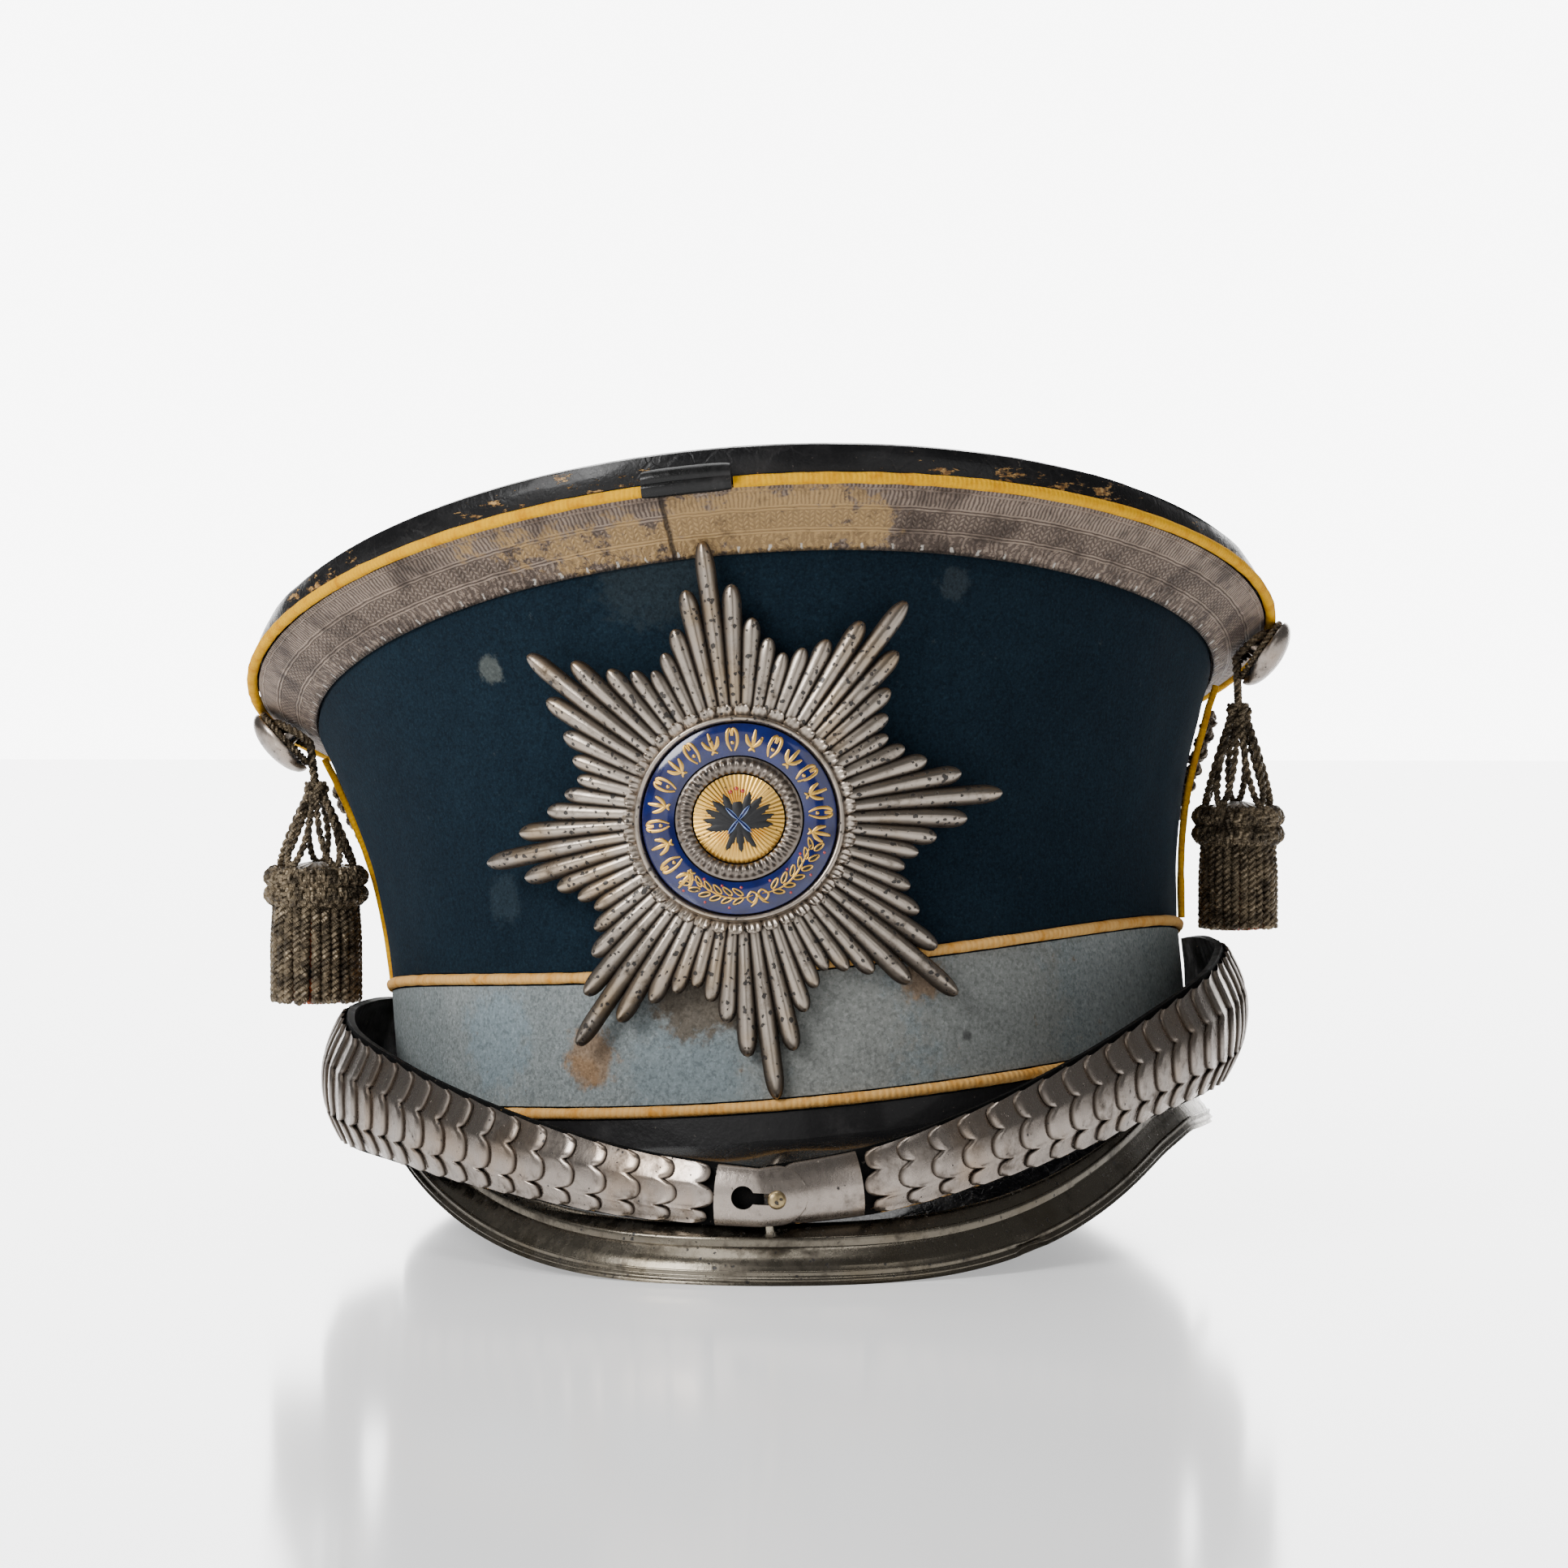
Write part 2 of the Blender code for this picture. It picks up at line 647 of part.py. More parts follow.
def visor_rim(angle):
    """The lowest outer edge of the binding, and the level direction out of it."""
    across, along = sin(radians(angle)), cos(radians(angle))
    half_width = BODY_HALF_WIDTH + VISOR_SIDE_REACH
    reach = BODY_HALF_DEPTH + VISOR_REACH
    rise = max(0.0, min(abs(across), VISOR_LEVEL_SHARE) - VISOR_FLAT_SHARE)
    lift = VISOR_END_LIFT * (rise / (1 - VISOR_FLAT_SHARE)) ** 3
    point = Vector((VISOR_SHIFT + half_width * across, -reach * along, lift))
    out = Vector((across / half_width, -along / reach, 0)).normalized()
    seat = visor_seat(angle)
    away = (point - seat).dot(out)
    least = VISOR_LEAST_OUT
    eased = (away + least) / 2 + hypot((away - least) / 2, VISOR_EASE)
    return point + out * (eased - away), out


def visor_point(angle, inward, lift=0.0):
    """A point of the visor's top face, a length in from its leather edge, lifted off the face."""
    rim, out = visor_rim(angle)
    seat = visor_seat(angle)
    edge = rim - out * (BINDING_FOOT + BINDING_INSIDE) + UP * BINDING_NOSE_TALL
    width = (edge - seat).length
    bulge = VISOR_BULGE * min(1.0, width / VISOR_REACH)

    def face(share):
        return edge.lerp(seat, share) + UP * bulge * 4 * share * (1 - share)

    share = min(1.0, inward / width)
    slope = (face(min(1.0, share + 0.02)) - face(share - 0.02)).normalized()
    normal = (UP - slope * slope.z).normalized()
    if share > 0.999:
        normal = UP
    return face(share) + normal * lift


def visor_width(angle):
    rim, out = visor_rim(angle)
    edge = rim - out * (BINDING_FOOT + BINDING_INSIDE) + UP * BINDING_NOSE_TALL
    return (edge - visor_seat(angle)).length


def binding_grip(angle):
    """How far the binding reaches in over the visor and under it."""
    room = visor_width(angle)
    return min(BINDING_FLANGE, room * 0.72), min(BINDING_UNDER, room * 0.45)


def visor(shop):
    steps = [row / VISOR_ROWS for row in range(VISOR_ROWS + 1)]
    sections = []
    for angle in visor_angles():
        width = visor_width(angle)
        flange, under = binding_grip(angle)
        over = [0.0, flange / 2] + [between(flange, width, step) for step in steps]
        below = [0.0] + [between(under, width, step) for step in steps]
        top = [visor_point(angle, inward) for inward in over]
        bottom = [visor_point(angle, inward, -VISOR_THICK) for inward in reversed(below)]
        sections.append(top + bottom)
    return shop.add("visor", lofted("visor", sections, caps=True), "leather")


def binding_section(angle):
    """The bent metal channel that grips the visor's edge: flange, bead, nose, foot and return."""
    rim, out = visor_rim(angle)
    flange, under = binding_grip(angle)
    low, high = BINDING_GAP, BINDING_GAP + BINDING_METAL
    top = [visor_point(angle, flange, low), visor_point(angle, flange, high * 0.9),
           visor_point(angle, flange * 0.66, high),
           visor_point(angle, flange * 0.56, high + BINDING_BEAD),
           visor_point(angle, flange * 0.40, high + BINDING_BEAD),
           visor_point(angle, flange * 0.30, high),
           visor_point(angle, BINDING_INSIDE, high + BINDING_SHOULDER)]
    nose = [rim + out * BINDING_SHOULDER * 0.7 + UP * BINDING_NOSE_TALL * 0.8,
            rim + out * BINDING_SHOULDER + UP * BINDING_NOSE_TALL * 0.3,
            rim.copy(), rim - out * BINDING_FOOT]
    base = -VISOR_THICK
    room = (visor_point(angle, 0.0) - visor_point(angle, under)).normalized() * low
    back = [visor_point(angle, under, base - high), visor_point(angle, under, base - low),
            visor_point(angle, 0.0, base - low) + room, visor_point(angle, 0.0, low) + room,
            visor_point(angle, flange / 2, low)]
    return top + nose + back


def visor_binding(shop):
    sections = [binding_section(angle) for angle in visor_angles()]
    mesh = lofted("visor_binding", sections, caps=True)
    return shop.add("visor_binding", mesh, "silver")


# Star and medallion

class StarSeat:
    """The bent sheet, just off the front of the hat, that the star lies on."""

    def __init__(self):
        low_out = BODY_HALF_DEPTH + STAR_LOW_STAND_OFF
        high_out = CLOTH_TOP.half_depth + STAR_TOP_STAND_OFF
        self.up = Vector((0, low_out - high_out, 2 * RAY_LONG)).normalized()
        self.centre = Vector((STAR_SIDEWAYS, -(low_out + high_out) / 2, STAR_HEIGHT))

    def place(self, right, up, lift):
        """A point of the star: right and up in its own face, and lifted off its back."""
        turn = right / STAR_BEND_RADIUS
        reach = STAR_BEND_RADIUS + lift
        level = Vector((reach * sin(turn), STAR_BEND_RADIUS - reach * cos(turn), 0))
        return stand(self.centre + level + self.up * up)

    def polar(self, radius, turn, lift):
        """A point of the star at a radius and a turn from the top, to the right."""
        turn += STAR_LEAN
        return self.place(radius * sin(turn), radius * cos(turn), lift)


def ray_length(index):
    """A ray's length: the long ones stand at the star's points."""
    step = index % RAYS_PER_POINT
    return RAY_LONG * RAY_STEPS[min(step, RAYS_PER_POINT - step)].length_share


def star_rays(shop, seat):
    pitch = tau / RAY_COUNT
    hub = ROSETTE_RADIUS - ROSETTE_OVERLAP
    crest = RAY_EDGE + RAY_RELIEF
    hub_crest = RAY_EDGE + RAY_HUB_RELIEF
    build = bmesh.new()

    def vertex(radius, turn, lift):
        return build.verts.new(seat.polar(radius, turn, lift))

    def split(index):
        """How far out two neighbouring rays part."""
        return min(ray_length(index), ray_length(index + 1)) - RAY_SPLIT_BACK

    centre_top, centre_back = vertex(0, 0, hub_crest), vertex(0, 0, 0)
    valley_in, valley_out, back_in, back_out = [], [], [], []
    for index in range(RAY_COUNT):
        turn = (index + 0.5) * pitch
        valley_in.append(vertex(hub, turn, RAY_EDGE))
        valley_out.append(vertex(split(index), turn, RAY_EDGE))
        back_in.append(vertex(hub, turn, 0))
        back_out.append(vertex(split(index), turn, 0))
    for index in range(RAY_COUNT):
        length, turn = ray_length(index), index * pitch
        ridge_hub = vertex(hub, turn, hub_crest)
        tip, tip_back = vertex(length, turn, RAY_EDGE * 1.2), vertex(length, turn, 0)
        parts = (split(index - 1), split(index))
        ridge = vertex(min(parts), turn, crest)
        shoulder_at = (max(parts) + length * 1.3) / 2.3
        ridge_end = vertex(shoulder_at, turn, crest)
        half_turn = min(RAY_HALF_WIDTH * 0.84 / shoulder_at, pitch * 0.36)
        lefts = (valley_in[index - 1], valley_out[index - 1],
                 vertex(shoulder_at, turn - half_turn, RAY_EDGE),
                 back_in[index - 1], back_out[index - 1],
                 vertex(shoulder_at, turn - half_turn, 0))
        rights = (valley_in[index], valley_out[index],
                  vertex(shoulder_at, turn + half_turn, RAY_EDGE), back_in[index],
                  back_out[index], vertex(shoulder_at, turn + half_turn, 0))
        build.faces.new((centre_top, lefts[0], ridge_hub))
        build.faces.new((centre_top, ridge_hub, rights[0]))
        build.faces.new((centre_back, rights[3], lefts[3]))
        for near, outer, shoulder, _, outer_back, shoulder_back in (lefts, rights):
            build.faces.new((near, outer, ridge, ridge_hub))
            build.faces.new((outer, shoulder, ridge_end, ridge))
            build.faces.new((shoulder, tip, ridge_end))
            build.faces.new((outer, outer_back, shoulder_back, shoulder))
            build.faces.new((shoulder, shoulder_back, tip_back, tip))
        build.faces.new((lefts[3], lefts[4], rights[4], rights[3]))
        build.faces.new((lefts[4], lefts[5], tip_back, rights[5], rights[4]))
    bmesh.ops.recalc_face_normals(build, faces=build.faces)
    mesh = bpy.data.meshes.new("star_rays")
    build.to_mesh(mesh)
    build.free()
    return shop.add("star_rays", mesh, "silver")


def medallion_ring(shop, seat, name, profile, finish, sides, leaf=0.0):
    """A ring of the medallion from a profile of radius and lift, with leaves on its rim."""
    sections = []
    for index in range(sides):
        turn = tau * index / sides
        reach = leaf * (index % 2)
        sections.append([seat.polar(radius - (reach if place < 2 else 0), turn, lift)
                         for place, (radius, lift) in enumerate(profile)])
    return shop.add(name, lofted(name, sections, loop=True), finish)


def medallion(shop, seat):
    floor = RAY_EDGE + RAY_HUB_RELIEF + GAP + SEAT_EXTRA
    inner = ENAMEL_RADIUS + GAP
    medallion_ring(shop, seat, "star_rosette", (
        (ROSETTE_RADIUS, floor), (ROSETTE_RADIUS, floor + ROSETTE_TALL * 0.6),
        (inner, floor + ROSETTE_TALL), (inner, floor)), "silver", 2 * ROSETTE_LEAVES,
        leaf=ROSETTE_LEAF_DEPTH)
    outer, inner = ENAMEL_RADIUS, INNER_RING_RADIUS + GAP
    medallion_ring(shop, seat, "enamel_ring", (
        (outer, floor), (outer, floor + ENAMEL_TALL * 0.7),
        ((outer + inner) / 2, floor + ENAMEL_TALL), (inner, floor + ENAMEL_TALL * 0.9),
        (inner, floor)), "enamel", MEDALLION_SIDES)
    outer, inner = INNER_RING_RADIUS, DISC_RADIUS + GAP
    medallion_ring(shop, seat, "inner_ring", (
        (outer, floor), (outer, floor + INNER_RING_TALL * 0.7),
        ((outer + inner) / 2, floor + INNER_RING_TALL), (inner, floor + INNER_RING_TALL * 0.7),
        (inner, floor)), "silver", MEDALLION_SIDES)
    turns = [tau * index / 24 for index in range(24)]
    sections = [[seat.polar(0, 0, floor)]]
    for radius, lift in ((DISC_RADIUS, 0), (DISC_RADIUS, 0.6), (DISC_RADIUS * 0.6, 0.95)):
        sections.append([seat.polar(radius, turn, floor + DISC_TALL * lift) for turn in turns])
    sections.append([seat.polar(0, 0, floor + DISC_TALL)])
    shop.add("centre_disc", lofted("centre_disc", sections), "gold")


# Chin strap

class StrapPath:
    """The strap's middle line, measured from the clasp: below zero to the left side."""

    SAMPLES = 120

    def __init__(self):
        self.table = {}
        for side in (-1, 1):
            last = len(STRAP_STATIONS) - 1
            places = [last * index / self.SAMPLES for index in range(self.SAMPLES + 1)]
            lengths, total = [0.0], 0.0
            points = [self.raw(side, place)[0] for place in places]
            for near, far in zip(points, points[1:]):
                total += (far - near).length
                lengths.append(total)
            self.table[side] = (places, lengths)
        self.left_long = self.table[-1][1][-1]
        self.right_long = self.table[1][1][-1]

    def raw(self, side, place):
        """The middle line, half width and bulge at a place in the table of stations."""
        angle = side * smooth_value(STRAP_STATIONS, "angle", place)
        stand_off = smooth_value(STRAP_STATIONS, "stand_off", place) * STRAP_REACH
        rise = smooth_value(STRAP_STATIONS, "rise", place)
        half_width = smooth_value(STRAP_STATIONS, "width", place) * STRAP_HALF_WIDTH
        bulge = smooth_value(STRAP_STATIONS, "bulge", place) * STRAP_BULGE_SHARE * half_width
        base = surface("band", STRAP_END_SHARE, angle)
        out = surface_normal("band", STRAP_END_SHARE, angle)
        level = Vector((out.x, out.y, 0)).normalized()
        end = surface("band", STRAP_END_SHARE, side * STRAP_STATIONS[-1].angle)
        point = base + level * stand_off
        point.z = between(STRAP_FRONT_HEIGHT, end.z, rise)
        return point, half_width, bulge

    def place_at(self, along):
        side = -1 if along < 0 else 1
        places, lengths = self.table[side]
        want = min(abs(along), lengths[-1])
        for index in range(len(lengths) - 2):
            if want <= lengths[index + 1]:
                break
        span = lengths[index + 1] - lengths[index]
        return side, between(places[index], places[index + 1], (want - lengths[index]) / span)

    def middle(self, along):
        side, place = self.place_at(along)
        return self.raw(side, place)

    def point(self, along, across, lift, width_share=1.0):
        """A point of the strap: across from -1 at its lower edge to 1, lifted off its back."""
        middle, half_width, bulge = self.middle(along)
        step = 0.002
        ahead, behind = self.middle(along + step)[0], self.middle(along - step)[0]
        run = (ahead - behind).normalized()
        out = run.cross(UP)
        out = Vector((out.x, out.y, 0)).normalized()
        up = out.cross(run).normalized()
        if up.z < 0:
            up = -up
        dip = bulge * (across * width_share) ** 2
        return middle + up * across * half_width * width_share + out * (lift - dip)


ACROSS = (-1.0, -0.67, -0.34, 0.0, 0.34, 0.67, 1.0)
ACROSS_BACK = (-1.0, -0.34, 0.34, 1.0)


def strap_leather(shop, path, name, first, covered, last):
    """The leather backing between two lengths along the path, covered by scales between two."""
    pitch = (covered[1] - covered[0]) / SCALE_COUNT
    places = [first, between(first, covered[0], 0.5)]
    places += [covered[0] + pitch * index for index in range(SCALE_COUNT + 1)]
    places += [between(covered[1], last, 0.5), last]
    sections = []
    for along in places:
        front = [path.point(along, across, STRAP_LEATHER) for across in ACROSS_BACK]
        back = [path.point(along, across, 0.0) for across in reversed(ACROSS_BACK)]
        sections.append(front + back)
    return shop.add(name, lofted(name, sections, caps=True), "leather")


def lobe(across):
    """How far a scale's edge reaches towards the clasp, from 0 to 1, in three lobes."""
    return abs(cos(across / 0.67 * pi)) if abs(across) < 0.95 else 0.0


def scales(shop, path, name, first, last):
    """The overlapping scales in one strip, each with its three-lobed free edge to the clasp."""
    base = STRAP_LEATHER + GAP
    pitch = (last - first) / SCALE_COUNT
    sections = []

    def section(along, lift, shift):
        front = [path.point(along - shift * lobe(across) * (1 if last > first else -1),
                            across, base + lift) for across in ACROSS]
        back = [path.point(along, across, base) for across in reversed(ACROSS_BACK)]
        return front + back

    sections.append(section(first, SCALE_METAL, 0.0))
    for index in range(SCALE_COUNT):
        start = first + pitch * index
        free = SCALE_LOBE if index else 0.0
        if index:
            sections.append(section(start, SCALE_METAL, free))
        sections.append(section(start + pitch * 0.06, SCALE_LIFT, free))
    sections.append(section(last, SCALE_METAL, 0.0))
    return shop.add(name, lofted(name, sections, caps=True), "silver")


def plate(shop, path, name, first, last, lift, finish, round_first=False, round_last=False):
    """A plain plate on the strap, with a rounded end where it is asked for."""
    long = abs(last - first)
    half = path.middle((first + last) / 2)[1]
    sections = []
    steps = 12
    for index in range(steps + 1):
        share = index / steps
        if round_last:
            share = sin(share * pi / 2)
        elif round_first:
            share = 1 - cos(share * pi / 2)
        width = 1.0
        tail = (1 - share) * long if round_last else share * long
        if (round_first or round_last) and tail < half:
            width = max(0.16, sqrt(max(0.0, 1 - (1 - tail / half) ** 2)))
        along = between(first, last, share)
        edges = (-1.0, -0.5, 0.0, 0.5, 1.0)
        front = [path.point(along, edge, lift + CLASP_METAL, width) for edge in edges]
        back = [path.point(along, edge, lift, width) for edge in reversed(edges)]
        sections.append(front + back)
    return shop.add(name, lofted(name, sections, caps=True), finish)


def strap_matrix(path, along, lift):
    """A frame on the strap, with its Z out of the strap's face and its X along it."""
    centre = path.point(along, 0.0, lift)
    run = (path.point(along + 0.001, 0.0, lift) - path.point(along - 0.001, 0.0, lift))
    run.normalize()
    out = run.cross(UP).normalized()
    if out.y > 0 and abs(along) < 0.05:
        out = -out
    up = out.cross(run).normalized()
    frame = Matrix((run, up, out)).transposed().to_4x4()
    return Matrix.Translation(centre) @ frame


def clasp(shop, path):
    """The keyhole plate of the left half, the plain tongue of the right half, and its stud."""
    tongue_lift = STRAP_LEATHER + GAP
    plate_lift = tongue_lift + CLASP_METAL + GAP
    end = CLASP_PAST_CENTRE
    plate(shop, path, "clasp_tongue", TONGUE_START, TONGUE_START + TONGUE_LONG,
          tongue_lift, "silver", round_first=True)
    keyed = plate(shop, path, "clasp_plate", end - CLASP_LONG, end, plate_lift, "silver",
                  round_last=True)
    hole_frame = strap_matrix(path, end - KEYHOLE_FROM_END, plate_lift)
    tool_mesh = bpy.data.meshes.new("keyhole_cutter")
    tool = bmesh.new()
    bmesh.ops.create_cone(tool, cap_ends=True, segments=20, radius1=KEYHOLE_RADIUS,
                          radius2=KEYHOLE_RADIUS, depth=0.006)
    bmesh.ops.transform(tool, matrix=hole_frame, verts=tool.verts)
    tool.to_mesh(tool_mesh)
    tool.free()
    slot_long = KEYHOLE_FROM_END - STUD_FROM_END + SLOT_WIDE / 2
    slot_mesh = bpy.data.meshes.new("slot_cutter")
    slot = bmesh.new()
    bmesh.ops.create_cube(slot, size=1.0)
    stretch = Matrix.Diagonal((slot_long, SLOT_WIDE, 0.006, 1.0))
    shift = Matrix.Translation((slot_long / 2, 0, 0))
    bmesh.ops.transform(slot, matrix=hole_frame @ shift @ stretch, verts=slot.verts)
    slot.to_mesh(slot_mesh)
    slot.free()
    for tool_name, mesh in (("keyhole_cutter", tool_mesh), ("slot_cutter", slot_mesh)):
        cut = keyed.modifiers.new(tool_name, "BOOLEAN")
        cut.operation = "DIFFERENCE"
        cut.object = shop.cutter(tool_name, mesh)
    head = CLASP_METAL + 2 * GAP
    frame = strap_matrix(path, end - STUD_FROM_END, plate_lift)
    out = frame.col[2].to_3d()
    aside = hole_frame @ Vector((KEYHOLE_FROM_END - STUD_FROM_END, 0, 0)) - frame.translation
    frame.translation += aside - out * aside.dot(out)
    turned(shop, "clasp_stud", (
        (0.0, head + 0.0010), (STUD_RADIUS * 0.6, head + 0.0008), (STUD_RADIUS, head + 0.0002),
        (STUD_RADIUS * 0.9, head), (STUD_SHANK_RADIUS, head), (STUD_SHANK_RADIUS, 0.0),
        (0.0, 0.0)), frame, "brass", steps=12)


def strap_buttons(shop, path):
    """A plain domed button over each end of the strap."""
    for name, side, long in (("strap_button_left", -1, path.left_long),
                             ("strap_button_right", 1, path.right_long)):
        along = side * (long - BUTTON_RADIUS - BUTTON_FROM_END)
        frame = strap_matrix(path, along, STRAP_LEATHER + GAP)
        out = Vector((frame.col[2][0], frame.col[2][1], 0))
        if out.x * side < 0:
            frame = frame @ Matrix.Rotation(pi, 4, "X")
        turned(shop, name, (
            (0.0, BUTTON_TALL), (BUTTON_RADIUS * 0.55, BUTTON_TALL * 0.85),
            (BUTTON_RADIUS, BUTTON_TALL * 0.3), (BUTTON_RADIUS, BUTTON_TALL * 0.12),
            (0.0, BUTTON_TALL * 0.12)), frame, "silver", steps=16)


def chin_strap(shop):
    path = StrapPath()
    clasp_end = CLASP_PAST_CENTRE - CLASP_LONG
    tongue_end = TONGUE_START + TONGUE_LONG
    button_room = 2 * (BUTTON_RADIUS + BUTTON_FROM_END + GAP)
    left = (clasp_end - 2 * GAP, button_room - path.left_long)
    right = (tongue_end + 2 * GAP, path.right_long - button_room)
    strap_leather(shop, path, "strap_leather_left", TONGUE_START - 4 * GAP, left,
                  -path.left_long)
    strap_leather(shop, path, "strap_leather_right", TONGUE_START, right,
                  path.right_long)
    scales(shop, path, "scales_left", *left)
    scales(shop, path, "scales_right", *right)
    clasp(shop, path)
    strap_buttons(shop, path)


# Bosses, tassels and braid

def side_frame(boss, out):
    """A frame on the lace at a boss's place, with its Z along a direction out of the hat."""
    angle = boss.side * BOSS_ANGLE
    foot = surface("lace", boss.lace_share, angle)
    foot += surface_normal("lace", boss.lace_share, angle) * GAP
    up = out.cross(Vector((0, 1, 0))).normalized() * boss.side
    along = up.cross(out).normalized()
    frame = Matrix((along, up, out)).transposed().to_4x4()
    return Matrix.Translation(foot) @ frame


def boss_frame(boss):
    """The boss's frame, its Z out of the boss's face."""
    out = LEAN.to_3x3() @ Vector((boss.side * cos(boss.tilt), 0, -sin(boss.tilt)))
    return side_frame(boss, out.normalized())


def bosses(shop):
    rim = BOSS_STAND_OFF + BOSS_NECK_LONG
    dome = BOSS_TALL - BOSS_EDGE
    profile = [(0.0, rim + BOSS_TALL)]
    profile += [(BOSS_RADIUS * sin(radians(turn)), rim + BOSS_EDGE + dome * cos(radians(turn)))
                for turn in (30, 55, 78)]
    profile += [(BOSS_RADIUS, rim + BOSS_EDGE), (BOSS_RADIUS * 0.97, rim),
                (BOSS_NECK_RADIUS, rim), (BOSS_NECK_RADIUS, BOSS_STAND_OFF),
                (0.0, BOSS_STAND_OFF)]
    for boss in BOSS_SIDES:
        turned(shop, "boss_" + boss.name, profile, boss_frame(boss), "silver", steps=16)


def ring_points(frame, radius, count, lift):
    return [frame @ Vector((radius * cos(tau * k / count), radius * sin(tau * k / count), lift))
            for k in range(count)]


def lobed_ring(centre, radius, lobe, lobes=TASSEL_LOCKS):
    """A level ring with a lobe for each lock or loop."""
    count = TASSEL_LOCKS * 2
    return [centre + Vector((cos(tau * k / count), sin(tau * k / count), 0))
            * radius * (1 - lobe * cos(tau * k * lobes / count)) for k in range(count)]


def tassel_head(knot, collar, size):
    """The knot, the three loops, the collar and the skirt of locks, from the top down."""
    sections = [[knot + UP * KNOT_RADIUS]]
    for row in KNOT_RINGS:
        sections.append(lobed_ring(knot - UP * KNOT_RADIUS * row.drop, KNOT_RADIUS * row.radius,
                                   row.lobe))
    for row in LOOP_RINGS:
        sections.append(lobed_ring(knot.lerp(collar, row.drop), LOOP_RADIUS * size * row.radius,
                                   row.lobe, lobes=3))
    for row in COLLAR_RINGS:
        sections.append(lobed_ring(collar - UP * COLLAR_TALL * row.drop,
                                   COLLAR_RADIUS * size * row.radius, row.lobe))
    skirt = collar - UP * COLLAR_TALL
    for row in SKIRT_RINGS:
        sections.append(lobed_ring(skirt - UP * SKIRT_LONG * size * row.drop,
                                   SKIRT_RADIUS * size * row.radius, row.lobe))
    sections.append([skirt - UP * SKIRT_LONG * size * 0.93])
    return sections


def tassels(shop):
    lift = CORD_RADIUS + GAP
    for plan in TASSEL_SIDES:
        name = "tassel_" + plan.boss.name
        angle = plan.boss.side * BOSS_ANGLE
        out = surface_normal("lace", plan.boss.lace_share, angle)
        frame = side_frame(plan.boss, out)
        ring = tube(shop, name + "_ring", ring_points(frame, CORD_RING_RADIUS, 12, lift),
                    CORD_RADIUS, "bullion", cyclic=True)
        start = frame @ Vector((0, 0, lift))
        hang = start + Vector((plan.boss.side * plan.hang_out, plan.hang_back, 0))
        knot = hang - UP * plan.knot_drop
        parts = [as_mesh(shop, ring)]
        for shift in (-1, 1):
            apart = shift * CORD_RADIUS
            from_ring = frame @ Vector((1.5 * apart, -CORD_RING_RADIUS, lift))
            into_knot = knot + Vector((0, 0.4 * apart, 0.3 * KNOT_RADIUS))
            middle = from_ring.lerp(knot, 0.5) + Vector((0, apart, 0))
            cord = tube(shop, name + "_cord", [from_ring, middle, into_knot], CORD_RADIUS,
                        "bullion")
            parts.append(as_mesh(shop, cord))
        collar = hang - UP * plan.collar_drop
        body = shop.add(name, lofted(name, tassel_head(knot, collar, plan.size)), "bullion")
        fuse(body, parts)


def braid_stations():
    """The swag's angles and heights from the left boss round the back to the right one."""
    rows = []
    last = len(BRAID_STATIONS) - 1
    for index in range(BRAID_STEPS + 1):
        share = 2 * index / BRAID_STEPS
        place = last * (share if share <= 1 else 2 - share)
        angle = smooth_value(BRAID_STATIONS, "angle", place)
        rows.append((angle if share > 1 else 360 - angle,
                     smooth_value(BRAID_STATIONS, "height_share", place)))
    return rows


def back_braid(shop):
    rows = braid_stations()
    centres = []
    for angle, share in rows:
        out = surface_normal("cloth", share, angle)
        centres.append((surface("cloth", share, angle) + out * (BRAID_HALF_THICK + GAP * 2), out))
    sections = []
    for index, (centre, out) in enumerate(centres):
        ahead = centres[min(len(centres) - 1, index + 1)][0]
        behind = centres[max(0, index - 1)][0]
        across = (ahead - behind).cross(out).normalized()
        wave = 1.0 + (0.08 if index % 2 else -0.08)
        turns = [tau * k / BRAID_SIDES for k in range(BRAID_SIDES)]
        sections.append([centre + across * BRAID_HALF_WIDTH * wave * cos(turn)
                         + out * BRAID_HALF_THICK * sin(turn) for turn in turns])
    return shop.add("back_braid", lofted("back_braid", sections, caps=True), "bullion")


def centre_on_surface(shop):
    """Moves the whole hat so that the origin is under the middle of its box."""
    bpy.context.view_layer.update()
    view = bpy.context.evaluated_depsgraph_get()
    low, high = Vector((9, 9, 9)), Vector((-9, -9, -9))
    for piece in shop.pieces.objects:
        if piece == shop.carrier:
            continue
        solid = piece.evaluated_get(view)
        mesh = solid.to_mesh()
        for corner in mesh.vertices:
            place = piece.matrix_world @ corner.co
            low = Vector(map(min, low, place))
            high = Vector(map(max, high, place))
        solid.to_mesh_clear()
    shop.carrier.location = (-(low.x + high.x) / 2, -(low.y + high.y) / 2, -low.z)
    bpy.context.view_layer.update()


def main():
    clear_scene()
    shop = Workshop()
    crown_wall(shop)
    skins(shop)
    top_leather(shop)
    top_piping(shop)
    band_pipings(shop)
    side_pipings(shop)
    front_tab(shop)
    visor(shop)
    visor_binding(shop)
    seat = StarSeat()
    star_rays(shop, seat)
    medallion(shop, seat)
    chin_strap(shop)
    bosses(shop)
    tassels(shop)
    back_braid(shop)
    centre_on_surface(shop)


main()
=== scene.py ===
"""The looks of a dress shako: cloth, lace, leather, a breast star, a scaled strap and tassels.

Lengths are in metres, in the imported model's frame: the hat's front is at -Y and +Z is up.
"""
import logging
from collections.abc import Callable, Sequence
from dataclasses import dataclass, field
from enum import Enum
from functools import cached_property
from math import atan2, cos, hypot, pi, radians, sin, sqrt, tau

import bmesh
import bpy
from mathutils import Matrix, Vector, noise


